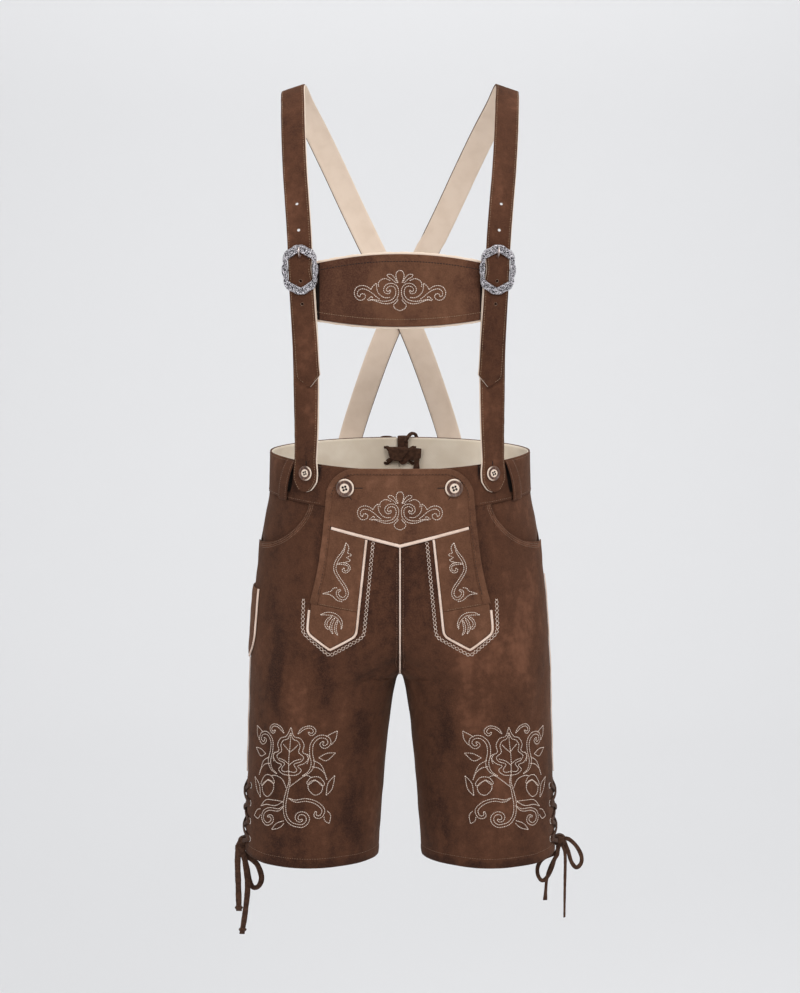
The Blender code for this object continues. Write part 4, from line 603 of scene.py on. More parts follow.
# ================================================================ materials
def linear(colour):
    channels = [int(colour[i:i + 2], 16) / 255 for i in (1, 3, 5)]
    return (*(c / 12.92 if c <= 0.04045 else ((c + 0.055) / 1.055) ** 2.4 for c in channels), 1.0)


def add_node(tree, kind, output, inputs, **settings):
    """Adds a shader node with its settings and links, and gives the output that is asked for."""
    made = tree.nodes.new("ShaderNode" + kind)
    for key, value in settings.items():
        setattr(made, key, value)
    for key, value in inputs.items():
        if isinstance(value, bpy.types.NodeSocket):
            tree.links.new(value, made.inputs[key])
        else:
            made.inputs[key].default_value = value
    return made.outputs[output]


def new_material(name, **constants):
    """A material with its shader; constants are set on the shader's own sockets."""
    made = bpy.data.materials.new(name)
    made.use_nodes = True
    shader = made.node_tree.nodes["Principled BSDF"]
    for key, value in constants.items():
        shader.inputs[key.replace("_", " ")].default_value = value
    return made, made.node_tree, add_node(made.node_tree, "TexCoord", "Object", {})


def summed(tree, a, share_a, b, share_b=1.0):
    """Two patterns laid over each other, each with its own strength."""
    part = add_node(tree, "Math", 0, {0: b, 1: share_b}, operation="MULTIPLY")
    return add_node(tree, "Math", 0, {0: a, 1: share_a, 2: part}, operation="MULTIPLY_ADD")


def toned(tree, pattern, low, high, first, second, most=1.0):
    """The colour that passes from first to second where the pattern rises from low to high."""
    steps = {"Value": pattern, "From Min": low, "From Max": high, "To Max": most}
    share = add_node(tree, "MapRange", 0, steps, interpolation_type="SMOOTHSTEP")
    return add_node(tree, "Mix", 2, {0: share, 6: first, 7: second}, data_type="RGBA")


def finished(material, colour, relief=None, depth=0.0, strength=1.0):
    """The material with its colour, and a relief of the given depth, joined to its shader."""
    tree = material.node_tree
    shader = tree.nodes["Principled BSDF"]
    tree.links.new(colour, shader.inputs["Base Color"])
    if relief:
        raised = add_node(tree, "Bump", 0, {"Height": relief, "Distance": depth, "Strength": strength})
        tree.links.new(raised, shader.inputs["Normal"])
    return material


def suede_material(name, dark, middle, pale, cloud=0.055):
    """Sueded deerskin: a brushed nap that scatters light, cloudy where hands have turned it, with the
    pores of the hide as a fine pebbling. A painted number lightens raised places and darkens seams: partly
    rubbing, partly painted shade and painted highlights."""
    made, tree, place = new_material(name, Roughness=0.88, Sheen_Weight=0.10, Sheen_Roughness=0.5,
                                     Specular_IOR_Level=0.16, Sheen_Tint=linear("#c9a88c"))
    wear_and_shade = add_node(tree, "Attribute", "Fac", {}, attribute_name="wear_and_shade")
    # hides are brushed from waist to hem, which draws the clouds out downwards
    brushed = add_node(tree, "Mapping", 0, {"Vector": place, "Scale": (1.0, 1.0, 0.42)})
    drawn = {"Vector": brushed, "Scale": 1 / cloud, "Detail": 4.0, "Roughness": 0.6}
    clouds = add_node(tree, "TexNoise", 0, drawn)
    soiled = {"Vector": place, "Scale": 1 / (11 * MM), "Detail": 4.0, "Roughness": 0.62}
    patches = add_node(tree, "TexNoise", 0, soiled)
    nap = add_node(tree, "TexNoise", 0, {"Vector": place, "Scale": 1 / (1.6 * MM), "Roughness": 0.6})
    tone = summed(tree, wear_and_shade, 0.17, summed(tree, clouds, 0.62, patches, 0.38))
    colour = toned(tree, tone, 0.30, 0.52, linear(dark), linear(middle))
    colour = toned(tree, tone, 0.50, 0.78, colour, linear(pale))
    colour = toned(tree, nap, 0.35, 0.70, colour, linear(pale), 0.22)
    # painted shade turns nearly black where one layer lies tight under another, standing for the shadow in
    # the gap
    colour = toned(tree, wear_and_shade, -3.4, -1.7, linear("#140c09"), colour)
    pebble = summed(tree, add_node(tree, "TexNoise", 0, {"Vector": place, "Scale": 1 / (5 * MM)}), 0.9, nap)
    return finished(made, colour, pebble, 0.45 * MM, 0.8)


def plain_leather(name, colour, marks, depth, roughness=0.7, specular=0.3):
    """Smooth leather: even colour with faint soiling and the fine grain of the skin."""
    made, tree, place = new_material(name, Roughness=roughness, Specular_IOR_Level=specular)
    soil = add_node(tree, "TexNoise", 0, {"Vector": place, "Scale": 1 / (18 * MM), "Detail": 3.0})
    grain = add_node(tree, "TexNoise", 0, {"Vector": place, "Scale": 1 / (1.4 * MM)})
    return finished(made, toned(tree, soil, 0.35, 0.75, linear(colour), linear(marks)), grain, depth, 0.6)


def lace_leather():
    """Cut suede thong: dark, matt and furry, darker in its creases."""
    dull = {"Roughness": 0.92, "Sheen_Weight": 0.04, "Specular_IOR_Level": 0.15}
    made, tree, place = new_material("cut_suede_thong", **dull)
    creases = add_node(tree, "TexNoise", 0, {"Vector": place, "Scale": 1 / (4 * MM), "Detail": 3.0})
    fur = add_node(tree, "TexNoise", 0, {"Vector": place, "Scale": 1 / (1 * MM)})
    colour = toned(tree, creases, 0.3, 0.7, linear("#3f2a20"), linear("#573d2f"))
    return finished(made, colour, fur, 0.12 * MM)


WAVE_SCALE = 2 * np.pi / 20     # the wave node repeats twenty times in two pi of its scale


def lining_cloth():
    """Twill-woven cotton lining: greyish cream, with the diagonal ribs of the weave drawn 2.6 mm apart,
    coarser than real yarn so that they still read at arm's length."""
    rib = 2.6 * MM
    made, tree, place = new_material("cotton_twill", Roughness=0.9, Sheen_Weight=0.1)
    turned = add_node(tree, "Mapping", 0, {"Vector": place, "Rotation": (0.0, 0.7, 0.0)})
    weave = {"Vector": turned, "Scale": WAVE_SCALE / rib, "Distortion": 0.4}
    ribs = add_node(tree, "TexWave", "Fac", weave, bands_direction="X")
    handled = add_node(tree, "TexNoise", 0, {"Vector": place, "Scale": 1 / (30 * MM), "Detail": 3.0})
    tone = summed(tree, ribs, 0.03, handled)
    colour = toned(tree, tone, 0.35, 0.95, linear("#eedfca"), linear("#fff4e2"))
    return finished(made, colour, ribs, 0.06 * MM)


def old_silver(name, tarnish, bright, depth):
    """Antiqued silver plate: bright where it's rubbed, nearly black in the engraving's hollows."""
    bead, scroll = 1.9 * MM, 4.488 * MM
    made, tree, place = new_material(name, Metallic=1.0, Roughness=0.36)
    hollows = add_node(tree, "TexVoronoi", 0, {"Vector": place, "Scale": 1 / bead}, feature="F1")
    curls = {"Vector": place, "Scale": WAVE_SCALE / scroll, "Distortion": 11.0, "Detail": 1.0,
             "Detail Scale": 9.0}
    scrolls = add_node(tree, "TexWave", "Fac", curls, wave_type="RINGS")
    relief = summed(tree, hollows, 0.6, scrolls, 0.5)
    rubbed = add_node(tree, "Attribute", "Fac", {}, attribute_name="rubbed")
    tone = summed(tree, relief, 1.0, rubbed)
    return finished(made, toned(tree, tone, 0.52, 0.69, linear(tarnish), linear(bright)), relief, depth)


def turned_horn():
    """Polished horn: dark brown with paler streaks drawn out along the growth of the horn."""
    made, tree, place = new_material("polished_horn", Roughness=0.42, IOR=1.5)
    along = add_node(tree, "Mapping", 0, {"Vector": place, "Scale": (1.0, 1.0, 0.25)})
    pale = add_node(tree, "Attribute", "Fac", {}, attribute_name="pale")
    growth = add_node(tree, "TexNoise", 0, {"Vector": along, "Scale": 1 / (2.4 * MM), "Detail": 3.0})
    streaks = toned(tree, growth, 0.42, 0.72, linear("#4a2d22"), linear("#7d5a47"))
    # the pale attribute gives the turned centre's pale colour and a painted highlight on the rim
    pale_and_highlit = add_node(tree, "Mix", 2, {0: pale, 6: streaks, 7: linear("#efd9c6")}, data_type="RGBA")
    return finished(made, pale_and_highlit)


def thread(name, colour, shadow, gloss=0.45):
    """Twisted thread: colour turning darker between the plies."""
    made, tree, place = new_material(name, Roughness=gloss)
    plies = add_node(tree, "TexNoise", 0, {"Vector": place, "Scale": 1 / (1.2 * MM), "Detail": 1.0})
    return finished(made, toned(tree, plies, 0.35, 0.65, linear(shadow), linear(colour)))


SUEDE_DARK = suede_material("deerskin_brown", "#311c14", "#4f3122", "#774e3a")
# the same deerskin as the legs, made paler: painted light on the flap, the knife pocket and the chest bar
SUEDE_PAINTED_LIT = suede_material("deerskin_brown_painted_lit", "#482c20", "#62412f", "#8a5f49", 0.04)
STRAP_HIDE = plain_leather("sheepskin_lining", "#efdbc8", "#e8d3bf", 0.15 * MM, 0.75, 0.2)
PIPING_HIDE = plain_leather("piping_sheepskin", "#f0d8c8", "#dcc0ad", 0.15 * MM, 0.7, 0.25)
THONG = lace_leather()
TWILL = lining_cloth()
SILVER = old_silver("antiqued_silver", "#1b191d", "#dcd8dd", 0.5 * MM)
PRONG_METAL = old_silver("rubbed_silver", "#d8c6c0", "#fff2ec", 0.02 * MM)
PEWTER = old_silver("eyelet_pewter", "#a5958c", "#fff4ec", 0.02 * MM)
HORN = turned_horn()
PALE_SILK = thread("embroidery_silk", "#f4e3d6", "#cdb5a4")
EDGE_THREAD = thread("edge_thread", "#a98a6c", "#7d624b", 0.6)
SEAM_THREAD = thread("seam_thread", "#8d6b54", "#5f4636", 0.6)
DARK_THREAD = thread("dark_sewing_thread", "#20140e", "#120b08", 0.9)

# rows of stitches: thread, slot, then length, gap, width and height in millimetres
STITCHES = {
    "legs": (SEAM_THREAD, "suede", 2.5, 0.8, 0.7, 0.26),
    "pockets": (SEAM_THREAD, "suede", 1.7, 0.6, 0.9, 0.3),
    "knife pocket": (SEAM_THREAD, "suede_light", 2.5, 0.8, 0.62, 0.26),
    "belt loops": (SEAM_THREAD, "suede", 2.0, 0.7, 0.8, 0.26),
    # the flap rim's dark stitches lie nearly end to end, so that they are also painted shade along the rim's
    # seam
    "flap rim": (DARK_THREAD, "suede_light", 4.0, 0.2, 0.9, 0.3),
    "flap": (EDGE_THREAD, "suede_light", 2.2, 0.9, 0.62, 0.26),
    "buttonholes": (DARK_THREAD, "suede_light", 6.0, 0.1, 1.0, 0.5),
    "strap slits": (DARK_THREAD, "suede", 7.0, 0.1, 1.3, 0.3),
    # the bar's top row is wide dark thread: real stitches, and also painted shade in their groove
    "bar top": (DARK_THREAD, "suede_light", 3.2, 0.5, 1.2, 0.25),
    "bar bottom": (EDGE_THREAD, "suede_light", 2.2, 0.8, 0.7, 0.26),
    "straps": (EDGE_THREAD, "suede", 2.3, 0.9, 0.8, 0.30),
    "silk": (PALE_SILK, None, 2.1, 0.35, 1.3, 0.45),
    "silk chain": (PALE_SILK, None, 2.1, 0.35, 1.15, 0.45),
}


def sew_lines(name, lines, row):
    yarn, slot, *sizes = STITCHES[row]
    return finish_piece(make_object(name, *stitch_parts(lines, *(size * MM for size in sizes)), yarn))


# ================================================================ the camera and the laces come first
scene = bpy.context.scene
scene.view_settings.view_transform = "Standard"
camera_data = bpy.data.cameras.new("camera")
camera_data.lens = CAMERA_LENS
camera_data.sensor_width = 36
camera = bpy.data.objects.new("camera", camera_data)
camera.location = (0, -CAMERA_DISTANCE, 0)
camera.rotation_euler = (np.radians(90 - CAMERA_DIP), 0, 0)
scene.collection.objects.link(camera)
scene.camera = camera


def thong_sections(count, wide, thick, swell=None, sides=10):
    """Cross-sections of a flat thong with rounded edges."""
    turns = 2 * np.pi * (np.arange(sides) + 0.5) / sides
    across = np.sign(np.cos(turns)) * np.abs(np.cos(turns)) ** 0.6 * wide / 2
    up = np.sign(np.sin(turns)) * np.abs(np.sin(turns)) ** 0.8 * thick / 2
    section = np.stack([across, up], -1)
    scale = np.ones((count, 2)) if swell is None else np.asarray(swell)
    return section[None] * scale[:, None, :]


def ribbon(stops, wide, thick, spacing=1.0 * MM, outward=FORWARD, steps=10, sides=10):
    """A run of thong through stops, its flat face turned outward."""
    path = evenly(catmull(stops, steps), spacing)
    across, up = frames_on(path, np.broadcast_to(outward, path.shape))
    return tube_parts(path, across, up, thong_sections(len(path), wide, thick, sides=sides))


def lace(node, stops, wide, thick, twist, knot_at, flare):
    """A free end or loop of suede thong, with its flat side turning from one angle to another."""
    path = evenly(catmull(stops, 24), 1.5 * MM)
    count = len(path)
    share = np.linspace(0, 1, count)
    turn = np.radians(twist[0] + (twist[1] - twist[0]) * share)[:, None]
    across, up = frames_on(path, np.broadcast_to(FORWARD, path.shape))
    # cut by hand, so its width is a little uneven
    uneven = 1 + 0.035 * np.sin(share * 23.0 + stops[0][0] * 900) + 0.02 * np.sin(share * 61.0)
    wider = uneven * (1 + flare * np.clip((share - 0.86) / 0.14, 0, 1))
    sections = thong_sections(count, wide, thick, np.stack([wider, np.ones(count)], -1))
    across, up = across * np.cos(turn) + up * np.sin(turn), up * np.cos(turn) - across * np.sin(turn)
    parts = [tube_parts(path, across, up, sections)]
    if knot_at:
        parts.append(knot_parts(path[int(knot_at * (count - 1))], wide * 0.60, wide * 0.42))
    piece = finish_parts(node + "_thong", parts, THONG, "lace", node)
    length = float(lengths_along(path)[-1])
    return length


def knot_parts(centre, radius, half_high):
    """A small overhand knot seen as a turned bead with a crossing groove."""
    around = 14
    turns = 2 * np.pi * np.arange(around) / around
    rings = []
    for height in np.linspace(-1, 1, 9):
        lumps = 1 + 0.12 * np.cos(2 * turns + 2.5 * height)
        reach = radius * (np.sqrt(max(0.0, 1 - height**2)) * 0.9 + 0.12) * lumps
        rings.append(centre + np.stack([reach * np.cos(turns), reach * np.sin(turns) * 0.8,
                                        np.full(around, half_high * height)], -1))
    return np.concatenate(rings), ring_faces(len(rings), around)


# stops, width and thickness in millimetres, what its end is, turns at its ends, place of its knot, flare
for node, stops, wide, thick, far_end, twist, knot_at, flare in (
        ("lace_end_left_short", LEFT_END_SHORT, 8.0, 1.9, "knot", (5, -15), 0.95, 0.0),
        ("lace_end_left_long", LEFT_END_LONG, 7.8, 1.9, "knot", (5, 25), 0.955, 0.0),
        ("lace_loop_left", LEFT_LOOP, 7.6, 1.9, "object", (15, 25), None, 0.0),
        ("lace_end_right_long", RIGHT_END_LONG, 4.2, 1.8, "bare", (0, 60), None, 0.1),
        ("lace_end_right_short", RIGHT_END_SHORT, 4.4, 1.8, "bare", (0, 30), None, 0.6),
        ("lace_loop_right_big", RIGHT_LOOP_BIG, 5.6, 1.9, "object", (10, -20), None, 0.0),
        ("lace_loop_right_small", RIGHT_LOOP_SMALL, 5.4, 1.9, "object", (-15, 20), None, 0.0)):
    lace(node, stops, wide * MM, thick * MM, twist, knot_at, flare)


# ================================================================ the cloth of the breeches
def paint(piece, name, values):
    """A number for each vertex, read by the materials."""
    layer = piece.data.attributes.new(name, "FLOAT", "POINT")
    layer.data.foreach_set("value", np.asarray(values, dtype=np.float32).ravel())


def corners(piece):
    points = np.empty(len(piece.data.vertices) * 3)
    piece.data.vertices.foreach_get("co", points)
    return points.reshape(-1, 3)


def punch(piece, places, radius, depth):
    """Round holes through a piece at places of (point, direction)."""
    parts, around = [], 20
    turns = 2 * np.pi * np.arange(around) / around
    section = np.stack([np.cos(turns), np.sin(turns)], -1)[None].repeat(2, 0) * radius
    for point, out in places:
        across = unit(np.cross(out, UPWARD))
        path = np.array([point - out * depth / 2, point + out * depth / 2])
        parts.append(tube_parts(path, [across] * 2, [np.cross(across, out)] * 2, section))
    cutter = make_object("cutter", *joined_parts(parts), piece.data.materials[0], smooth=False)
    cutter.data.flip_normals()
    boolean = piece.modifiers.new("holes", "BOOLEAN")
    boolean.operation, boolean.solver, boolean.object = "DIFFERENCE", "EXACT", cutter
    seen = piece.evaluated_get(bpy.context.evaluated_depsgraph_get())
    made = bpy.data.meshes.new_from_object(seen)
    piece.modifiers.clear()
    piece.data = made
    bpy.data.objects.remove(cutter)


def pocket_edge(turn, wider=0.0):
    start_z = seam_height(angle_at_x(POCKET_X, HIP_LINE)) - HALF_GAP
    end_x = outline(start_z - POCKET_DEPTH)[1] * 1.001
    # flatter than a quarter of an ellipse
    x = end_x - (end_x - POCKET_X + wider) * np.clip(np.cos(turn), 0, 1) ** 1.25
    return x, start_z - (POCKET_DEPTH + wider) * np.sin(turn) ** 1.25


def front_top():
    """Rows of angle, height and gape along the front panel's upper edge."""
    start, end = angle_at_x(HALF_GAP, HIP_LINE), angle_at_x(POCKET_X, HIP_LINE)
    angle = np.linspace(start, end, 46)[:-1]
    edge = [np.column_stack([angle, seam_height(angle) - HALF_GAP, np.zeros(len(angle))])]
    turn = np.radians(np.linspace(0, 68, 26))
    x, z = pocket_edge(turn)
    edge.append(np.column_stack([angle_at_x(x, z), z, POCKET_GAPE * np.sin(turn) ** 2]))
    low_z = pocket_edge(np.pi / 2)[1]
    rest = edge[-1][-1, 1] - low_z
    depth = -np.linspace(0.054, HALF_GAP, 14)
    share = np.interp(-depth, (HALF_GAP, 0.020, 0.040, 0.056), (0.0, 0.08, 0.30, 0.62))
    z = low_z + rest * share
    side_part = np.column_stack([angle_at_y(depth, z), z, np.full(len(z), POCKET_GAPE)])
    side_part = side_part[side_part[:, 0] > edge[-1][-1, 0] + 0.004]
    return np.concatenate(edge + [side_part])


def back_top():
    angle = np.linspace(angle_at_y(HALF_GAP, HIP_LINE), np.pi - angle_at_x(HALF_GAP, HIP_LINE), 84)
    return np.column_stack([angle, seam_height(angle) - HALF_GAP, np.zeros(len(angle))])


FIRST_LEVEL = -0.627
HEM_START = -0.977
HEM_DIP = 0.0045                # the hem hangs lower at the middle of each leg's front
HEM_ROW = 12.6 * MM             # the hem's stitches above its edge


def hem_height(angle):
    rise = 0.0035 * np.clip((np.sin(angle) - 0.7) / 0.3, 0, 1)
    return HEM + rise - HEM_DIP * np.clip(np.cos(angle), 0, 1) ** 2


LEVELS = np.concatenate([np.linspace(FIRST_LEVEL, CROTCH, 46)[1:], np.linspace(CROTCH, HEM, 82)[1:]])


def eyelet_place(side, facing, z):
    return skin(side, angle_at_y(facing * EYELET_SETBACK, z), z)


def leg_wear_and_shade(at, side, is_front):
    """How the suede of a leg is rubbed at its mesh points, with painted shade and a painted highlight:
    scuffs, folds, seams and hem.
    """
    x, y, z = np.abs(at[:, 0]), at[:, 1], at[:, 2]
    wear_and_shade = (0.15 + 0.25 * side) * hump(z, -0.80, 0.10) * hump(x, 0.10, 0.045)
    # outside the knee one leg has a painted highlight, the other painted shade in a fold there
    drift = 5 * MM * np.sin(z * 29 + 0.6) + 3 * MM * np.sin(z * 71)
    wear_and_shade += (0.9 if side > 0 else -0.8) * hump(x - drift, 0.167, 0.015) * hump(z, -0.735, 0.12)
    # painted shade darkens the hem, the side, the middle and the waist
    wear_and_shade -= 0.9 * hump(z, HEM, 6 * MM) + 0.6 * hump(y, 0, 10 * MM)
    wear_and_shade -= 0.7 * hump(x, 0, 12 * MM) + 0.5 * hump(z, HIP_LINE, 12 * MM)
    # painted shadow of the flap's edge darkens the leather beside it
    wear_and_shade -= 0.6 * hump(np.maximum(x, 0.100), 0.100, 16 * MM) * hump(z, -0.60, 65 * MM) * (y < 0)
    if is_front:
        # rubbed pale along the pocket's sewn edge
        mouth = np.column_stack(pocket_edge(np.linspace(0, np.pi / 2, 60)))[None]
        near = np.linalg.norm(np.stack([x, z], -1)[:, None] - mouth, axis=-1).min(axis=1)
        wear_and_shade += 0.9 * hump(near, 3.6 * MM, 3 * MM) * (z > -0.60)
    # painted shade lies darker in the long soft folds of the legs
    for middle, wide, depth in ((0.058, 11 * MM, 0.95), (0.092, 8 * MM, 0.45), (0.158, 9 * MM, 0.45)):
        drift = 6 * MM * np.sin(z * 31 + side) + 3 * MM * np.sin(z * 83 + 2 * side)
        fade = np.clip((-0.70 - z) / 0.08, 0, 1) * (0.7 + 0.3 * np.sin(z * 57 + middle * 90))
        wear_and_shade -= depth * hump(x - drift, middle, wide) * fade
    return wear_and_shade


def panel(name, node, side, top, start_of, end_of):
    """A body panel: even rows from its upper edge down to the hem, with its edges turned in."""
    top_rows = 30
    share = ((top[:, 0] - top[0, 0]) / (top[-1, 0] - top[0, 0]))[None]
    down = np.concatenate([np.linspace(0, 1, top_rows), np.ones(len(LEVELS))])[:, None]
    # the columns crowd where the pocket starts and spread evenly below it
    share = share + (np.linspace(0, 1, len(top))[None] - share) * down**2
    level = np.concatenate([np.full(top_rows, FIRST_LEVEL), LEVELS])[:, None]
    z = top[None, :, 1] + (level - top[None, :, 1]) * down
    angle = start_of(z) + (end_of(z) - start_of(z)) * share
    angle = top[None, :, 0] + (angle - top[None, :, 0]) * down
    z = z + (hem_height(angle) - HEM) * np.clip((z - HEM_START) / (HEM - HEM_START), 0, 1)
    point, normal = skin(side, angle, z)
    lift = top[None, :, 2] * (1 - down) ** 1.5
    # the hem is turned up and sewn, so that it stands a little thicker than the leg above it
    over_hem = z - hem_height(angle)
    hem = hump(over_hem, 6 * MM, 4.5 * MM) * 0.5 * MM - hump(over_hem, HEM_ROW, 1.5 * MM) * 0.25 * MM
    outer, inner = pushed(point, normal, lift + hem), pushed(point, normal, lift - SUEDE)
    piece = cut_piece(name, node, outer, inner, SUEDE_DARK)
    is_front = "front" in node
    punch(piece, [eyelet_place(side, -1 if is_front else 1, z) for z in EYELET_ROWS], 3.5 * MM, 12 * MM)
    paint(piece, "wear_and_shade", leg_wear_and_shade(corners(piece), side, is_front))
    return piece


for side, label in SIDES:
    panel(f"leg_front_{label}", f"front_{label}", side, front_top(), front_start,
          lambda z: angle_at_y(-vent_half(z), z))
    panel(f"leg_back_{label}", f"back_{label}", side, back_top(), lambda z: angle_at_y(vent_half(z), z),
          back_end)


def pocket_bearers():
    """The cloth behind each front pocket's mouth."""
    hidden = 0.009
    for side, label in SIDES:
        first = angle_at_x(POCKET_X - hidden, HIP_LINE)
        share = np.linspace(0, 1, 30)
        top_angle = first + (angle_at_y(-HALF_GAP, HIP_LINE) - first) * share
        top_z = seam_height(top_angle) - HALF_GAP
        x, z = pocket_edge(np.pi / 2 * share, hidden)
        z = z - hidden * np.cos(np.pi / 2 * share)
        low_angle = np.where(share < 1, angle_at_x(x, z), angle_at_y(-HALF_GAP, z))
        down = np.linspace(0, 1, 16)[:, None]
        point, normal = skin(side, top_angle + (low_angle - top_angle) * down, top_z + (z - top_z) * down)
        # it rises towards the waist and the side, where it fills the pocket's mouth
        rise = np.clip((0.72 + 0.30 * share - down) / 0.4, 0, 1) * np.clip((share - 0.10) / 0.25, 0, 1)
        deep = (SUEDE + 1.3 * MM) * (1 - rise**2 * (3 - 2 * rise))
        cut_piece(f"pocket_bearer_cloth_{label}", f"pocket_bearer_{label}", pushed(point, normal, -deep),
                  pushed(point, normal, -deep - 1.4 * MM), SUEDE_DARK)


pocket_bearers()


def notch_half(z):
    share = np.clip((z - (RIM_SIDE - BAND_HEIGHT)) / BAND_HEIGHT, 0, 1)
    return NOTCH_BOTTOM + (NOTCH_TOP - NOTCH_BOTTOM) * share**1.5


def back_eyelets():
    rim = RIM_SIDE + RIM_BACK_RISE
    return [(x, rim - drop) for x in (-BACK_EYELET_X, BACK_EYELET_X) for drop in BACK_EYELET_DROPS]


LOOP_EDGE = ((0.4826, 0.4932, 0.5038, 0.5113, 0.5187), (0.1344, 0.1361, 0.1379, 0.1390, 0.1408))
LOOP_MIDDLE = 0.500
LOOP_SHADE_HALF = 0.0195
BAND_SHADES = ((0.0975, 0.1065), (0.1285, 0.1460))


def band_painted_shade(at, side):
    """Painted shadow on the band, nearly black, beside the belt loop and along the strap's sewn edge."""
    x, y, depth = np.abs(at[:, 0]), at[:, 1], -at[:, 2]
    # the belt loop's outer edge leans outwards on its way down
    beyond = x - np.interp(depth, *LOOP_EDGE)
    behind = np.clip(beyond / (0.7 * MM), 0, 1) * np.clip((7.8 * MM - beyond) / MM, 0, 1)
    behind = behind * (np.abs(depth - LOOP_MIDDLE) < LOOP_SHADE_HALF)
    strap_edge = 0.1026 - 1.6 * MM * (side > 0)
    behind = behind + hump(x, strap_edge, 1.7 * MM) * np.exp(-(((depth - 0.486) / 0.014) ** 4))
    return -3.6 * behind * (y < 0)


def waistband():
    under = BAND_OUT - SUEDE - GAP
    down = np.linspace(0, 1, 20)[:, None]
    middle = RIM_SIDE - BAND_HEIGHT * down
    start, end = angle_at_x(HALF_GAP, middle), np.pi - angle_at_x(notch_half(middle), middle)
    # more columns where the belt loops and the straps shade the band
    close = np.concatenate([np.arange(*ends, 0.7 * MM) for ends in BAND_SHADES])
    close = (angle_at_x(close, middle[10, 0]) - start[10, 0]) / (end[10, 0] - start[10, 0])
    share = np.sort(np.concatenate([np.linspace(0, 1, 120), close]))[None]
    # the lining closes the notch behind the lace, but for a narrow top
    closed = np.pi - angle_at_x(np.clip(notch_half(middle) - 2.6 * MM, HALF_GAP, None), middle)
    # the two sewn edges lie a little lower than the band between them
    soft = -0.25 * MM * (hump(down, 0, 0.05) + hump(down, 1, 0.05))
    for side, label in SIDES:
        for name, node, high, thick, drop, last, material, slot in (
                ("band", "waistband", BAND_OUT, SUEDE, 0.0, end, SUEDE_DARK, "suede"),
                ("band_twill", "waistband_lining", under, 1.2 * MM, 0.8 * MM, closed, TWILL, "band_lining")):
            angle = start + (last - start) * share
            top, bottom = rim_height(angle) - drop, seam_height(angle) + HALF_GAP
            point, normal = skin(side, angle, top + (bottom - top) * down)
            outer = pushed(point, normal, high + soft + 0 * angle)
            inner = pushed(point, normal, high - thick + 0 * angle)
            piece = cut_piece(f"{name}_{label}", f"{node}_{label}", outer, inner, material)
            if name == "band":
                punch(piece, [back_skin(x, z) for x, z in back_eyelets() if x * side > 0], 3.2 * MM, 14 * MM)
                paint(piece, "wear_and_shade", band_painted_shade(corners(piece), side))


waistband()


# ---------------------------------------------------------------- drop front
def flap_edge(z):
    return hermite(FLAP_ROWS, np.asarray(z, float), 1)


def flap_rim(z):
    return hermite(FLAP_ROWS, np.asarray(z, float), 2)


def inside_rim(z):
    return flap_edge(z) - flap_rim(z)


def seam_line(x):
    slope = (SEAM_OUTER[1] - SEAM_INNER[1]) / (SEAM_OUTER[0] - SEAM_INNER[0])
    return SEAM_INNER[1] + (np.abs(x) - SEAM_INNER[0]) * slope


def yoke_line(x):
    return YOKE_APEX + YOKE_SLOPE * np.abs(x)


def mirrored(line):
    """A line from +X to the centre, carried on to -X."""
    return np.concatenate([line, line[-2::-1] * np.array([-1.0, 1.0])])


def flap_piece(name, node, places, thick=FLAP_THICK, puff=0.25 * MM, bulge=0.30 * MM):
    """A piece of the flap from a grid of (x, z) places, a little fuller between its sewn edges."""
    x, z = places[..., 0], places[..., 1]
    rows = np.linspace(-1, 1, x.shape[0])[:, None]
    columns = np.linspace(-1, 1, x.shape[1])[None]
    full = puff * (1 - rows**8) * (1 - columns**16)
    outer = on_front(x, z, flap_lift(z) + thick + full)
    inner = on_front(x, z, flap_lift(z))
    return cut_piece(name, node, outer, inner, SUEDE_PAINTED_LIT, bulge=bulge)


CORNER_X, CORNER_Z = FLAP_ROWS[-1, 1] - FLAP_CORNER, FLAP_TOP - FLAP_CORNER
CORNER_RIM = FLAP_ROWS[-1, 2]


def round_corner(radius, count=26):
    """The flap's upper corner and the flat edge from there to the centre, for +X."""
    turn = np.radians(np.linspace(0, 90, count))
    flat = np.linspace(CORNER_X, 0, count)[1:]
    bend = np.column_stack([CORNER_X + radius * np.cos(turn), CORNER_Z + radius * np.sin(turn)])
    return np.concatenate([bend, np.column_stack([flat, np.full(count - 1, CORNER_Z + radius)])])


def flap_yoke():
    radius = FLAP_CORNER - CORNER_RIM - GAP
    top = mirrored(round_corner(radius))
    bottom = np.column_stack([top[:, 0], yoke_line(top[:, 0]) + PIPING_WIDE / 2 + GAP])
    grid = top + (bottom - top) * np.linspace(0, 1, 34)[:, None, None]
    # below the rounded corners the sides follow the rim
    edge = inside_rim(grid[..., 1]) - GAP
    wider = np.where(grid[..., 1] < CORNER_Z, edge / (CORNER_X + radius), 1.0)
    grid[..., 0] *= 1 + (wider - 1) * (np.abs(grid[..., 0]) / (CORNER_X + radius)) ** 3
    flap_piece("flap_field", "flap_yoke", grid)


def rim_lines():
    """The flap's outer line and the line inside its rim, from the slit's end up to the centre, for +X."""
    z = np.linspace(*RIM_RUN, 40)
    lines = []
    for inwards, rim in ((0.0, 0.0 * z), (1.0, flap_rim(z))):
        low_x = SEAM_OUTER[0] - inwards * FLAP_ROWS[0, 2]
        start = low_x, seam_line(low_x) + GAP
        corner = round_corner(FLAP_CORNER - inwards * CORNER_RIM)
        lines.append(np.concatenate([[start], np.column_stack([flap_edge(z) - rim, z]), corner]))
    return lines


def flap_binding():
    outer, inner = (mirrored(line) for line in rim_lines())
    share = np.linspace(0, 1, 9)[:, None, None]
    flap_piece("flap_border", "flap_rim", outer + (inner - outer) * share, RIM_THICK, puff=0.35 * MM,
               bulge=0.5 * MM)


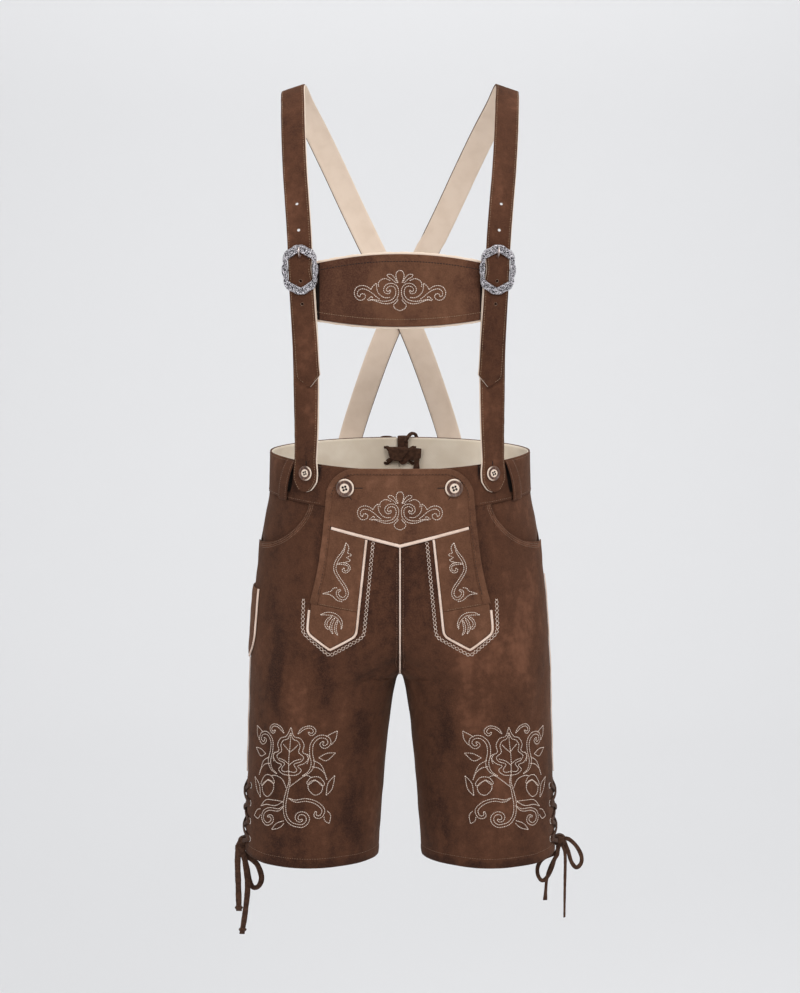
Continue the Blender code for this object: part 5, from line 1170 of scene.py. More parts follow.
def rounded(path, cuts):
    """A line of straight runs, its corners cut short and rounded."""
    made = [path[0] + (path[1] - path[0]) * t for t in (0, 0.25, 0.5, 0.75)]
    for here, before, after, short in zip(path[1:-1], path[:-2], path[2:], cuts):
        back, ahead = here + unit(before - here) * short, here + unit(after - here) * short
        made += [back, 0.25 * back + 0.5 * here + 0.25 * ahead, ahead]
    return np.array(made + [path[-1]])


def piping_path(side):
    """The line of the piping round the flap's strip and its pointed end, corners rounded."""
    path = [np.array(p) for p in POINT_PATH]
    start = path[0] + (path[1] - path[0]) * 0.02
    start[1] = yoke_line(start[0]) - PIPING_WIDE / 2 - 2.5 * GAP
    return rounded([start] + path[1:], POINT_CUTS) * (side, 1.0)


def inset(path, distance):
    """A path moved sideways, to its left."""
    ahead = unit(np.diff(path, axis=0))
    before = np.concatenate([ahead[:1], ahead])
    after = np.concatenate([ahead, ahead[-1:]])
    middle = unit(before + after)
    left = np.stack([-middle[:, 1], middle[:, 0]], -1)
    stretch = 1 / np.maximum(0.5, (middle * before).sum(-1))
    return path + left * distance * stretch[:, None]


def flap_strips():
    """The two strips below the yoke and the pointed ends that the piping runs round."""
    inner_line = inset(piping_path(1), PIPING / 2 + GAP)
    (top_x, top_z), (low_x, low_z) = inner_line[0], inner_line[3]
    slope = (low_x - top_x) / (low_z - top_z)
    down, over = np.linspace(0, 1, 44)[:, None], np.linspace(0, 1, 26)[None]
    edge_x = inside_rim(STRIP_TOP)
    (z_out, z_in) = (first + (last - first) * down for first, last in (
        (yoke_line(edge_x) - PIPING_WIDE / 2 - GAP, seam_line(STRIP_FOOT_X) + HALF_GAP),
        (yoke_line(top_x) - PIPING_WIDE / 2 - GAP, seam_line(SEAM_INNER[0]) + HALF_GAP)))
    x_out, x_in = inside_rim(z_out) - GAP, top_x + (z_in - top_z) * slope
    strip = np.stack([x_in + (x_out - x_in) * over, z_in + (z_out - z_in) * over], -1)
    bottom = inner_line[4:-1]
    fine = lengths_along(bottom)
    at = np.linspace(0, fine[-1], 40)
    bottom = np.column_stack([np.interp(at, fine, bottom[:, k]) for k in range(2)])
    (end_x, end_z), (last_x, last_z) = inner_line[-1], bottom[-1]
    lean = (end_x - last_x) / (end_z - last_z)
    x = np.linspace(top_x + (seam_line(SEAM_INNER[0]) - top_z) * slope,
                    end_x + lean * (seam_line(end_x) - end_z), 40)
    top = np.column_stack([x, seam_line(x) - HALF_GAP])
    tail = top + (bottom - top) * np.linspace(0, 1, 22)[:, None, None]
    for side, label in SIDES:
        for name, node, grid in (("side", "strip", strip), ("tail", "point", tail)):
            flap_piece(f"flap_{name}_{label}", f"flap_{node}_{label}", grid * (side, 1.0), bulge=0.12 * MM)


flap_yoke()
flap_binding()
flap_strips()


# ---------------------------------------------------------------- pipings
def piping_on(name, node, path, surface, width, low, high):
    """A sewn-in piping along a path of two coordinates on a surface: round, with its sewn foot pinched."""
    path = evenly(path, 1.2 * MM)
    across = leftwards(path)
    low = low(path[:, 1]) if callable(low) else low + 0 * path[:, 1]
    wrinkle = 1 + 0.05 * np.sin(lengths_along(path) * 2 * np.pi / (3.1 * MM))
    arch = [(-np.cos(turn), 0.25 + 0.75 * np.sin(turn)) for turn in np.linspace(0, np.pi, 9)]
    rings = []
    for place, rise in [(-0.9, 0.0), *arch, (0.9, 0.0)]:
        at = path + across * width / 2 * place
        rings.append(surface(at[:, 0], at[:, 1], low + high * rise * wrinkle))
    finish_piping(name, node, rings)


def finish_piping(name, node, rings):
    rings = np.stack(rings, axis=1)
    piece = make_object(name, rings, ring_faces(*rings.shape[:2]), PIPING_HIDE)
    return finish_piece(piece, [node])


def pipings():
    reach = float(inside_rim(YOKE_PIPING_END)) - GAP - 1.5 * MM
    x = np.linspace(reach, 0, 40)
    piping_on("flap_v_piping", "piping_yoke", mirrored(np.column_stack([x, yoke_line(x)])), on_front,
              PIPING_WIDE,
              flap_lift, PIPING_THICK)
    for side, label in SIDES:
        path = catmull(piping_path(side), 6)
        piping_on(f"strip_piping_{label}", f"piping_strip_{label}", path, on_front, PIPING, FLAP_LIFT_LOW,
                  PIPING_THICK)


def seam_piping(name, node, levels, surface_of, half, high):
    """A thin piping in a seam that runs down the body."""
    section = ((-0.9, 0.0), (-1, 0.4), (-0.6, 0.85), (0, 1.0), (0.6, 0.85), (1, 0.4), (0.9, 0.0))
    finish_piping(name, node, [surface_of(levels, place * half, high * rise) for place, rise in section])


def centre_surface(z, across, rise):
    """A place over the centre seam; low down, between the legs, it stands a little further out."""
    point, normal = skin(1.0, angle_at_x(1.3 * MM, z), z)
    out = unit(normal * (0.0, 1.0, 1.0))
    stand = 1.1 * MM * np.clip((-0.690 - z) / 0.020, 0, 1)
    seat = point * (0.0, 1.0, 1.0) + out * (GAP + stand + rise)[:, None]
    return seat + np.array([across, 0.0, 0.0])


def side_surface(side):
    def place(z, across, rise):
        point, normal = skin(side, np.pi / 2, z)
        return point + normal * (GAP + rise) + np.array([0.0, across, 0.0])
    return place


def side_pipings():
    seam_piping("centre_piping", "piping_centre", np.linspace(*CENTRE_PIPING_RUN, 110), centre_surface,
                1.1 * MM, 1.6 * MM)
    for side, label, top in ((1, "right", SIDE_PIPING_TOP), (-1, "left", KNIFE_BOTTOM - 4 * MM)):
        seam_piping(f"seam_piping_{label}", f"side_piping_{label}", np.linspace(top, VENT_TOP + 1 * MM, 150),
                    side_surface(side), 1.2 * MM, 1.4 * MM)


pipings()
side_pipings()


# ---------------------------------------------------------------- knife pocket and belt loops
def knife_outline(grow, straight, bend):
    """The knife pocket's outline, grown by a distance: down one side, round the bottom and up again, as
    (y, z) places; it has the given heights on its sides and the given number of places on its bend."""
    turn = np.pi * np.linspace(0, 1, bend)
    half = KNIFE_HALF + grow
    bottom = np.column_stack([-half * np.cos(turn), KNIFE_BOTTOM + KNIFE_HALF - half * np.sin(turn)])
    sides = [np.column_stack([np.full(len(straight), way * half), straight[::-way]]) for way in (-1, 1)]
    return np.concatenate([sides[0], bottom, sides[1]])


def left_side(y, z, out):
    return on_side(-1, y, z, out)


def knife_pocket():
    low = knife_outline(0.0, np.zeros(0), 40)
    t = np.linspace(0, 1, 30)[:, None]
    z = KNIFE_TOP + (low[None, :, 1] - KNIFE_TOP) * t
    y = np.broadcast_to(low[None, :, 0], z.shape)
    full = 0.8 * MM * np.clip(1 - (y / KNIFE_HALF) ** 6, 0, 1) * (1 - (2 * t - 1) ** 8)
    cut_piece("knife_pocket_cloth", "knife_pocket", left_side(y, z, KNIFE_LIFT + KNIFE_THICK + full),
              left_side(y, z, KNIFE_LIFT), SUEDE_PAINTED_LIT)
    width = 2.8 * MM
    straight = np.linspace(KNIFE_TOP, KNIFE_BOTTOM + KNIFE_HALF, 30)[:-1]
    path = knife_outline(GAP + width / 2, straight, 80)
    piping_on("knife_pocket_edge", "knife_pocket_piping", path, left_side, width, KNIFE_LIFT, 2.2 * MM)


def belt_loops():
    thick = 1.6 * MM
    share = np.linspace(0, 1, 30)[:, None]
    edge = np.linspace(-1, 1, 9)[None]
    for side, label in SIDES:
        for distance, place in zip(BELT_LOOP_XS, ("front", "back")):
            # the front ones lean outwards towards the seam
            lean = (4.4 * MM if place == "front" else 0.0) * (share - 0.5) * 2
            angle = angle_at_x(distance + lean + edge * BELT_LOOP_WIDE / 2, RIM_SIDE)
            angle = angle if place == "front" else np.pi - angle
            z = rim_height(angle) - 1 * MM - (BAND_HEIGHT + 1 * MM) * share
            point, normal = skin(side, angle, z)
            stand = BAND_OUT + GAP + (BELT_LOOP_STAND + 3.6 * MM) * np.sin(np.pi * share) ** 0.55 + 0 * z
            outer = pushed(point, normal, stand + thick + 0.3 * MM * (1 - edge**4))
            inner = pushed(point, normal, stand)
            name = f"loop_{place}_{label}"
            cut_piece(name, "belt_" + name, outer, inner, SUEDE_DARK)
            seam = pushed(point, normal, stand + thick + 0.15 * MM)
            rows = [(seam[:, k], normal[:, k]) for k in (1, 7)]
            sew_lines(f"loop_seams_{place}_{label}", rows, "belt loops")


knife_pocket()
belt_loops()


# ================================================================ straps and chest bar
def seated(x, z, back=False):
    """A place where a strap lies on the band, and the way it faces there."""
    angle = angle_at_x(x, z)
    point, normal = skin(np.sign(x), np.pi - angle if back else angle, z)
    return np.concatenate([point + normal * (BAND_OUT + GAP + 0.4 * MM), normal])


def sideways_drift(side, z, y):
    """The right strap hangs a little nearer to the middle than the left one."""
    drift = np.interp(-z, (0.0, 0.10, 0.16, 0.23, 0.34, 0.44, 0.49, 0.53),
                      (0.0, -1.5, -2.4, -3.0, -2.4, -1.6, -1.6, -1.2))
    return drift * MM * (side > 0) * (y < 0)


def strap_route(side, kind="shoulder"):
    stops = (STRAP_FRONT_TO_BACK if kind == "shoulder" else LOWER_STRAP).copy()
    if kind == "shoulder" and side > 0:
        for i, rise in CROSSING.items():
            stops[i, 1] += rise
    stops[:, [0, 3]] *= side
    stops[:, 0] += sideways_drift(side, stops[:, 2], stops[:, 1])
    if kind == "shoulder":
        seats = [seated(side * x, z, back=True) for x, z in STRAP_SEATS]
    else:
        seats = [seated(side * x + sideways_drift(side, z, -1.0), z) for x, z in LOWER_SEATS]
    return np.vstack([stops, seats])


def strap_frames(side, kind="shoulder"):
    """Points, across, out and distance along a strap."""
    rows = evenly(catmull(strap_route(side, kind), 30), 2.4 * MM)
    ahead = unit(np.gradient(rows[:, :3], axis=0))
    across = unit(np.cross(ahead, rows[:, 3:]))
    return rows[:, :3], across, unit(np.cross(across, ahead)), lengths_along(rows[:, :3])


def frame_at_height(frames, z):
    """The frame where a strap's front stretch passes a height."""
    points = frames[0]
    k = int(np.argmax((points[:-1, 2] - z) * (points[1:, 2] - z) <= 0))
    share = (z - points[k, 2]) / (points[k + 1, 2] - points[k, 2])
    point, across, out = (f[k] + (f[k + 1] - f[k]) * share for f in frames[:3])
    return point, unit(across), unit(out)


def strap_half(along, kind):
    """Half the width of a shoulder strap or a lower strap along its length."""
    start_point, end_round = 13.5 * MM, 16 * MM
    half, flare = (STRAP_WIDTH / 2 - 0.9 * MM, 1.9 * MM) if kind == "shoulder" else (15.7 * MM, 1.6 * MM)
    from_end = along[-1] - along
    width = half + flare * np.sin(np.pi * np.minimum(1.0, from_end / (45 * MM))) ** 2
    if kind == "shoulder":
        width = np.where(along < start_point, half * (0.05 + 0.95 * along / start_point), width)
    round_end = (half + 1.8 * MM) * (0.16 + 0.84 * (from_end / end_round) ** 0.5)
    return np.where(from_end < end_round, round_end, width)


def strap_wall(name, node, frames, half, low, high, material, crown=0.0):
    points, across, out, along = frames
    edge = np.linspace(-1, 1, 11)[None, :, None]
    long, short = 0.047, 0.019
    wave = 0.35 * MM * np.sin(along * 2 * np.pi / long) * np.sin(along * 2 * np.pi / short + 1.0)
    flat = points[:, None] + across[:, None] * half[:, None, None] * edge
    lift = wave[:, None, None] * edge * (low > 0)
    outer = flat + out[:, None] * (high + crown * (1 - edge**4) + lift)
    inner = flat + out[:, None] * (low + np.zeros_like(edge))
    return cut_piece(name, node, outer, inner, material)


EDGE_LINES = []


def strap(side, label, kind, name, node):
    """A strap's leather and lining; the rows of its edge seams are kept for sewing."""
    points, across, out, along = strap_frames(side, kind)
    half = strap_half(along, kind)
    # the lining lies a little to one side, so its edge shows on that side and the leather's on the other
    rightwards = across * np.sign(across[:, :1])
    if kind == "shoulder":
        # the right one changes sides behind the buckle, and the buckle pinches the inner edge
        aside = rightwards * 0.9 * MM * np.interp(-points[:, 2:], (0.200, 0.216), (1.0, -side))
        pinch = 1.1 * MM * hump(points[:, 2], BUCKLE_Z, 12 * MM) * (points[:, 1] < 0)
        half = half - pinch
        points = points + rightwards * side * pinch[:, None]
    else:
        aside = rightwards * -side * 1.3 * MM
    lining = strap_wall(f"{name}_lining_{label}", f"{node}_lining_{label}",
                        (points + aside, across, out, along),
                        half, 0.0, LINING, STRAP_HIDE)
    leather = strap_wall(f"{name}_{label}", f"{node}_{label}", (points, across, out, along),
                         half, LINING + GAP, STRAP_STACK, SUEDE_DARK, 0.25 * MM)
    inside = half > 8 * MM
    for way in (-1, 1):
        line = points + across * (way * (half - 1.9 * MM))[:, None] + out * (STRAP_STACK + 0.18 * MM)
        EDGE_LINES.append((line[inside], out[inside]))
    if kind == "shoulder":
        strap_holes(label, (points, across, out), (leather, lining))
    else:
        # the tab's leather is painted paler all over: painted light
        paint(leather, "wear_and_shade", np.full(len(corners(leather)), 0.5))


def strap_holes(label, frames, layers):
    """Punched holes; the prong fills the third."""
    rims = []
    for k, z in enumerate(STRAP_HOLES):
        point, _, way = frame_at_height(frames, z)
        point = point + way * 1.5 * MM
        for layer in layers:
            punch(layer, [(point, way)], 1.6 * MM if k == PRONG_HOLE else STRAP_HOLE / 2, 8 * MM)
        if k != PRONG_HOLE:
            face = point + way * (STRAP_STACK - 1.3 * MM)
            rims.append(ring_part(face, way, STRAP_HOLE / 2 + 0.1 * MM, 0.25 * MM))
    finish_parts(f"hole_rims_{label}", rims, SEAM_THREAD, "strap_lining")


def ring_part(centre, out, radius, thick):
    """A small rounded ring."""
    radial = wheel(out, np.array([0.3, 0.0, 1.0]), 28)
    section = 2 * np.pi * np.arange(8) / 8
    rings = (centre + radial[:, None] * (radius + thick * np.cos(section))[None, :, None]
             + out * (thick * 0.6 * np.sin(section))[None, :, None])
    return rings.reshape(-1, 3), ring_faces(28, 8, "joined")


for side, label in SIDES:
    strap(side, label, "shoulder", "brace", "strap")
    strap(side, label, "lower", "tab", "lower_strap")


def on_bar(x, z, out):
    """Points of the chest bar's outer face."""
    x, z, out = same_shape(x, z, out)
    slope = 2 * BAR_CURVE * x / BAR_HALF**2
    normal = unit(np.stack([slope, -np.ones_like(x), np.zeros_like(x)], -1))
    # the bar bellies out a little and dimples beside its ends
    full = 0.9 * MM * np.cos(np.pi * np.clip((z - BAR_BOTTOM) / (BAR_TOP - BAR_BOTTOM) - 0.5, -0.5, 0.5))
    full = full + 0.5 * MM * np.sin(x / 0.021 + z / 0.034)
    base = np.stack([x, BAR_FRONT + BAR_CURVE * (x / BAR_HALF) ** 2, z], -1)
    return base + normal * (out + full)[..., None]


def bar_edges(x, grow=0.0):
    share = (x / BAR_SHOULDER) ** 2
    return BAR_TOP - BAR_TOP_FALL * share + grow, BAR_BOTTOM + BAR_BOTTOM_RISE * share - grow


STRAPS_INSIDE = 0.1048          # the straps' inner edges from the middle of the bar


def chest_bar():
    x = np.linspace(-BAR_REACH, BAR_REACH, 132)[None]
    down = np.linspace(0, 1, 44)[:, None]
    for name, node, near, far, grow, material, slot in (
            ("bar_face", "chest_bar", 0.0, -SUEDE, 0.0, SUEDE_PAINTED_LIT, "suede_light"),
            ("bar_back", "chest_bar_lining", -SUEDE - GAP, -SUEDE - GAP - 1.2 * MM, BAR_EDGE, STRAP_HIDE,
             "strap_lining")):
        # the lining's edge is cut by hand, so it isn't quite even
        uneven = (0.25 * MM * np.sin(x / 0.0035) + 0.2 * MM * np.sin(x / 0.0011)) * (grow > 0)
        top, bottom = bar_edges(x, grow)
        z = top + uneven + (bottom - top - 2 * uneven) * down
        piece = cut_piece(name, node, on_bar(x, z, near), on_bar(x, z, far), material)
        if name == "bar_face":
            # painted shade: darker at its ends and over its left part, and nearly black beside the straps
            at = corners(piece)[:, 0]
            beside = np.abs(at + 1.5 * MM * (at > 0)) - STRAPS_INSIDE
            wear_and_shade = -0.9 * hump(beside, 0, 14 * MM) - 3.0 * hump(np.minimum(beside, 0), 0, 2.2 * MM)
            paint(piece, "wear_and_shade", wear_and_shade - 0.15 - 0.65 * np.clip(-at / 0.06, 0, 1))


chest_bar()


# ================================================================ metal and buttons
def buckle(side, label):
    point, across, out = frame_at_height(strap_frames(side), BUCKLE_Z)
    across = across * side
    up = np.cross(out, across)
    up = up if up[2] > 0 else -up

    def place(u, v, w):
        return point + sum(np.asarray(size)[..., None] * way for size,
                           way in ((u, across), (v, up), (w, out)))

    count = 160
    turn = (2 * np.pi * np.arange(count) / count)[:, None]
    # across the frame's band, from its outer edge (0) to its inner edge (1)
    profile = np.array([(0.0, 0.0), (-0.01, 0.45), (0.03, 0.78), (0.10, 0.95), (0.18, 0.98), (0.26, 0.90),
                        (0.38, 0.93), (0.50, 0.95), (0.62, 0.93), (0.74, 0.90), (0.83, 0.98), (0.92, 0.96),
                        (0.98, 0.8), (1.0, 0.5), (1.0, 0.0)])
    band, height = profile[None, :, 0], profile[None, :, 1]
    toward = np.concatenate([np.cos(turn), np.sin(turn)], -1)
    # a lobed oval outside, six sides inside
    outer = ((np.abs(toward) / (BUCKLE_HALF_WIDE, BUCKLE_HALF_HIGH)) ** 2.5).sum(1, keepdims=True) ** -0.4
    outer = outer * (0.990 + 0.030 * np.cos(8 * turn) - 0.010 * np.cos(16 * turn))
    sides = np.array([(0.505, 0.863, 19.3), (1.0, -0.02, 16.0), (0.514, -0.857, 19.7)])
    sides = np.concatenate([sides, sides * (-1, 1, 1)])
    reach = np.clip(toward @ sides[:, :2].T, 0, None) / (sides[:, 2] * MM)
    inner = (reach**22).sum(1, keepdims=True) ** (-1 / 22)
    radius = outer + (inner - outer) * band
    middle = np.clip(1 - ((band - 0.5) / 0.40) ** 2, 0, 1)
    scrolls = 0.16 * MM * middle * np.sin(16 * turn + 4.5 * band) * np.cos(8 * turn - 3 * band)
    rings = place(radius * np.cos(turn), radius * np.sin(turn), BUCKLE_BACK + 3.2 * MM * height + scrolls)
    # the bar behind, from side to side
    half = [(20.0 * MM, BUCKLE_BACK + 1.0 * MM), (18.6 * MM, BUCKLE_BACK - 0.6 * MM), (18.4 * MM, -0.6 * MM),
            (16.5 * MM, -1.6 * MM)]
    stops = [place(-u, 0.0, w) for u, w in half] + [place(u, 0.0, w) for u, w in half[::-1]]
    parts = [(rings.reshape(-1, 3), ring_faces(count, len(profile), "joined")),
             ribbon(stops, 2.4 * MM, 2.6 * MM, outward=up, steps=8)]
    points, faces = joined_parts(parts)
    piece = make_object(f"buckle_frame_{label}", points, faces, SILVER)
    rubbed = np.zeros(len(points))
    rubbed[:rings.size // 3] = np.broadcast_to(0.12 - 0.14 * middle, radius.shape).ravel()
    paint(piece, "rubbed", rubbed)
    finish_piece(piece, [f"buckle_{label}"])

    hole = STRAP_HOLES[PRONG_HOLE] - BUCKLE_Z
    # along the prong and out: from its foot behind the strap, through the hole and over the frame
    stops = [(3.0 * MM, -1.7 * MM), (8.5 * MM, -2.4 * MM), (hole - 3.2 * MM, -3.2 * MM),
             (hole - 0.6 * MM, -2.0 * MM), (hole + 0.4 * MM, 2.2 * MM), (hole + 2.6 * MM, 6.2 * MM),
             (23.2 * MM, 7.7 * MM), (28.6 * MM, 7.6 * MM)]
    path = evenly(catmull([place(0.0, v, w) for v, w in stops], 10), 0.7 * MM)
    swell = np.clip((lengths_along(path)[-1] - lengths_along(path)) / (2.4 * MM), 0.25, 1) ** 0.5
    wider = 1 + 0.35 * np.clip(1 - np.abs(path[:, 2] - point[2] - 21.5 * MM) / (6 * MM), 0, 1)
    sections = thong_sections(len(path), 6.2 * MM, 2.0 * MM, np.stack([swell * wider, swell], -1))
    prong = tube_parts(path, *frames_on(path, np.broadcast_to(across, path.shape)), sections)
    finish_parts(f"buckle_prong_{label}", [prong], PRONG_METAL, "silver", f"prong_{label}")


for side, label in SIDES:
    buckle(side, label)


# shares of a button's size: how far its turned centre and its holes lie off, and a hole's radius
CENTRE_SHIFT, HOLE_OFF, HOLE_RADIUS = 0.035, 0.108, 0.070


def button(name, node, seat, out, size, highlight_side, highlight_share=0.30):
    """A turned horn button: rim with a painted highlight on one side, dark groove, pale centre and four
    thread holes drawn as dark discs of painted shade.
    """
    out = unit(np.asarray(out))
    across = unit(np.cross(UPWARD, out))
    up = np.cross(out, across)

    def toward(angle):
        return np.cos(angle) * across + np.sin(angle) * up

    # radius, height and paleness, which on the rim is a painted highlight and in the centre the horn's pale
    # colour; the last rings, from the groove inwards, are the turned centre
    profile = np.array([
        (0.0, 0.02, 0), (0.45, 0.0, 0), (0.80, 0.10, 0), (0.95, 0.32, 0), (1.0, 0.55, 0),
        (1.0, 0.74, 1), (0.975, 0.90, 1), (0.93, 0.98, 1), (0.88, 0.97, 1), (0.83, 0.92, 0.3),
        (0.77, 0.82, 0), (0.70, 0.70, 0), (0.62, 0.68, 0), (0.56, 0.70, 0), (0.53, 0.74, 0.3),
        (0.50, 0.80, 1), (0.45, 0.83, 1), (0.32, 0.80, 1), (0.0, 0.78, 1)])
    radius, height, pale_and_highlight = profile.T[..., None]
    from_groove = (np.arange(len(profile)) > 9)[:, None]
    around = 48
    turn = 2 * np.pi * np.arange(around) / around
    # the turned centre stands a little off the middle, away from the highlight side
    aside = -toward(highlight_side) * size * CENTRE_SHIFT
    shift = aside * np.clip((0.74 - radius) / 0.1, 0, 1) * from_groove + out * height * BUTTON_THICK
    rings = seat + toward(turn[:, None])[None] * (radius * size / 2)[..., None] + shift[:, None]
    piece = make_object(name, rings, ring_faces(len(profile), around, "open"), HORN)
    # the rim's pale crescent on one side is a painted highlight
    pale_and_highlit = np.clip((np.cos(turn - highlight_side) + highlight_share) / 0.6, 0.06, 1)[None]
    paint(piece, "pale", pale_and_highlight * np.where(radius > 0.75, pale_and_highlit, 1.0))
    finish_piece(piece, [node])
    middle = seat + aside + out * BUTTON_THICK * 0.81
    turns = np.pi / 4 + 0.35 + np.pi / 2 * np.arange(4)
    # the four thread holes are dark discs: painted shade in place of holes
    holes = [disc_part(middle + toward(turn) * size * HOLE_OFF, out, size * HOLE_RADIUS) for turn in turns]
    finish_parts(name + "_holes", holes, DARK_THREAD, "horn")


def disc_part(centre, out, radius):
    """A small dark disc with a sloping edge, painted shade standing for a hole."""
    sides, high = 12, 0.12 * MM
    radial = wheel(out, np.array([0.3, 0.0, 1.0]), sides)
    rim, top, tip = centre + radial * radius, centre + radial * radius * 0.8 + out * high, centre + out * high
    points = np.concatenate([rim, top, [tip]])
    faces = []
    for s, t in ((s, (s + 1) % sides) for s in range(sides)):
        faces += [(s, t, sides + t, sides + s), (sides + s, sides + t, 2 * sides)]
    return points, faces


def buttons():
    slits = []
    x, z, size = FLAP_BUTTON
    above_leather = STRAP_STACK + GAP
    for side, label in SIDES:
        _, normal = skin(side, angle_at_x(x, z), z)
        seat = on_front(side * x - 1.2 * MM * (side > 0), z, flap_lift(z) + FLAP_THICK + GAP + 0.15 * MM)
        button(f"flap_horn_{label}", f"button_flap_{label}", seat, normal, size, 1.57 + 0.92 * side)
        point, across, out = frame_at_height(strap_frames(side, "lower"), STRAP_BUTTON_Z)
        point = point - across * side * np.sign(across[0]) * 2.4 * MM
        button(f"tab_horn_{label}", f"button_strap_{label}", point + out * above_leather, out,
               STRAP_BUTTON_SIZE,
               1.57 + side * 1.7, 0.05)
        # the slit that the button passes, a dark sewn line: painted shade of its opening
        rise = np.linspace(9.5 * MM, 16.5 * MM, 6)[:, None] * UPWARD
        slits.append((point + out * (STRAP_STACK + 0.1 * MM) + rise, np.tile(out, (6, 1))))
        points, _, outs, along = strap_frames(side)
        k = int(np.argmin(np.abs(along - (along[-1] - 21.5 * MM))))
        button(f"back_horn_{label}", f"button_back_{label}", points[k] + outs[k] * above_leather, outs[k],
               STRAP_BUTTON_SIZE, 0.65)
    sew_lines("tab_slits", slits, "strap slits")


buttons()


# ================================================================ laces that are threaded
def eyelet_turn(facing, row, rising):
    y, z = facing * EYELET_SETBACK, EYELET_ROWS[row]
    near, far = y - facing * 5.5 * MM, y - facing * 1.8 * MM
    lead = -2.0 * MM if rising else 2.0 * MM
    return [(near, z + lead, 1.7 * MM), (far, z + lead * 0.85, 1.2 * MM), (y, z, -0.4 * MM),
            (far, z - lead * 0.85, 1.2 * MM), (near, z - lead, 1.7 * MM)]


def eyelet_pass(facing, row):
    y, z = facing * EYELET_SETBACK, EYELET_ROWS[row]
    near, far = y - facing * 5.5 * MM, y - facing * 1.8 * MM
    return [(near, z - 1.0 * MM, 1.7 * MM), (far, z, 1.3 * MM), (y, z, -0.9 * MM), (far, z, -3.8 * MM),
            (near, z, -5.4 * MM)]


def crossing_run(row_from, row_to, facing, level):
    run = []
    for share in (0.28, 0.5, 0.72):
        y = facing * EYELET_SETBACK * (1 - 2 * share)
        z = EYELET_ROWS[row_from] + (EYELET_ROWS[row_to] - EYELET_ROWS[row_from]) * share
        run.append((y, z, 1.5 * MM + level * (1 - abs(share - 0.5) / 0.5)))
    return run


def eyelet_rings(name, places, out, radius, thick):
    rings = [ring_part(point + normal * out, normal, radius, thick) for point, normal in places]
    finish_parts(name, rings, PEWTER, "silver")


def side_lace(side, label):
    over, under = 1.9 * MM, 0.0
    route = [(-9.4 * MM, -0.9884, 3.6 * MM), (-20.0 * MM, -0.9860, 2.9 * MM)] + eyelet_turn(-1, 3, True)
    # up to the top pair, where it passes behind, and down again under itself
    for row, way in ((3, -1), (2, 1)):
        route += crossing_run(row, row - 1, way, over) + eyelet_turn(-way, row - 1, True)
    route += crossing_run(1, 0, -1, over) + eyelet_pass(1, 0)
    route += [(y, EYELET_ROWS[0], -6.0 * MM) for y in (0.018, 0.0, -0.018)] + eyelet_pass(-1, 0)[::-1]
    for row, way in ((0, -1), (1, 1), (2, -1)):
        route += crossing_run(row, row + 1, way, under) + eyelet_turn(-way, row + 1, False)
    route += [(19.0 * MM, -0.9868, 2.9 * MM), (7.5 * MM, -0.9888, 3.6 * MM)]
    y, z, out = np.array(route).T
    _, outs = skin(side, angle_at_y(np.where(np.abs(y) > HALF_GAP, y, HALF_GAP), z), z)
    rows = evenly(catmull(np.column_stack([on_side(side, y, z, out), outs]), 8), 1.2 * MM)
    across, up = frames_on(rows[:, :3], rows[:, 3:])
    tube = tube_parts(rows[:, :3], across, up, thong_sections(len(rows), 5.8 * MM, 2.2 * MM, sides=8))
    finish_parts(f"hem_lace_{label}", [tube], THONG, "lace", f"side_lace_{label}")
    places = [eyelet_place(side, facing, z) for facing in (-1, 1) for z in EYELET_ROWS]
    eyelet_rings(f"hem_eyelets_{label}", places, 0.3 * MM, 3.6 * MM, 0.7 * MM)


def big_knot(side, label, centre):
    """The bow's knot: strands wound over each other round a core."""
    radius_x, radius_y, radius_z = KNOT_SIZES[side]
    if side < 0:
        centre = centre + LEFT_KNOT_SHIFT
    core = centre + np.array([0, radius_y * 0.8, 0]) * np.array([-1, 0, 1])[:, None]
    core = evenly(core, 1.5 * MM)
    parts = [tube_parts(core, *frames_on(core, np.broadcast_to(UPWARD, core.shape)),
                        thong_sections(len(core), 2 * radius_x * 0.8, 2 * radius_z * 0.8))]
    strands = ((0.5, -3.6 * MM), (-0.55, -1.0 * MM), (0.35, 2.0 * MM), (-0.3, 4.6 * MM))
    turn = np.linspace(0, 2 * np.pi, 40)
    for k, (lean, shift) in enumerate(strands):
        path = centre + np.stack([side * (radius_x - 0.6 * MM) * np.cos(turn),
                                  shift + lean * radius_y * 0.35 * np.sin(turn + k),
                                  (radius_z - 0.8 * MM) * np.sin(turn)], -1)
        frames = frames_on(path, unit((path - centre) * (1.0, 0.2, 1.0)))
        parts.append(tube_parts(path, *frames, thong_sections(len(turn), 6.0 * MM, 2.0 * MM, sides=8)))
    if side < 0:
        # the thong bends over out of the knot into the end that hangs there
        parts.append(ribbon(LEFT_KNOT_BEND, 8.2 * MM, 2.1 * MM, steps=12))
    finish_parts(f"bow_knot_{label}", parts, THONG, "lace", f"lace_knot_{label}")


for (side, label), centre in zip(SIDES, (RIGHT_KNOT, LEFT_KNOT)):
    side_lace(side, label)
    big_knot(side, label, centre)


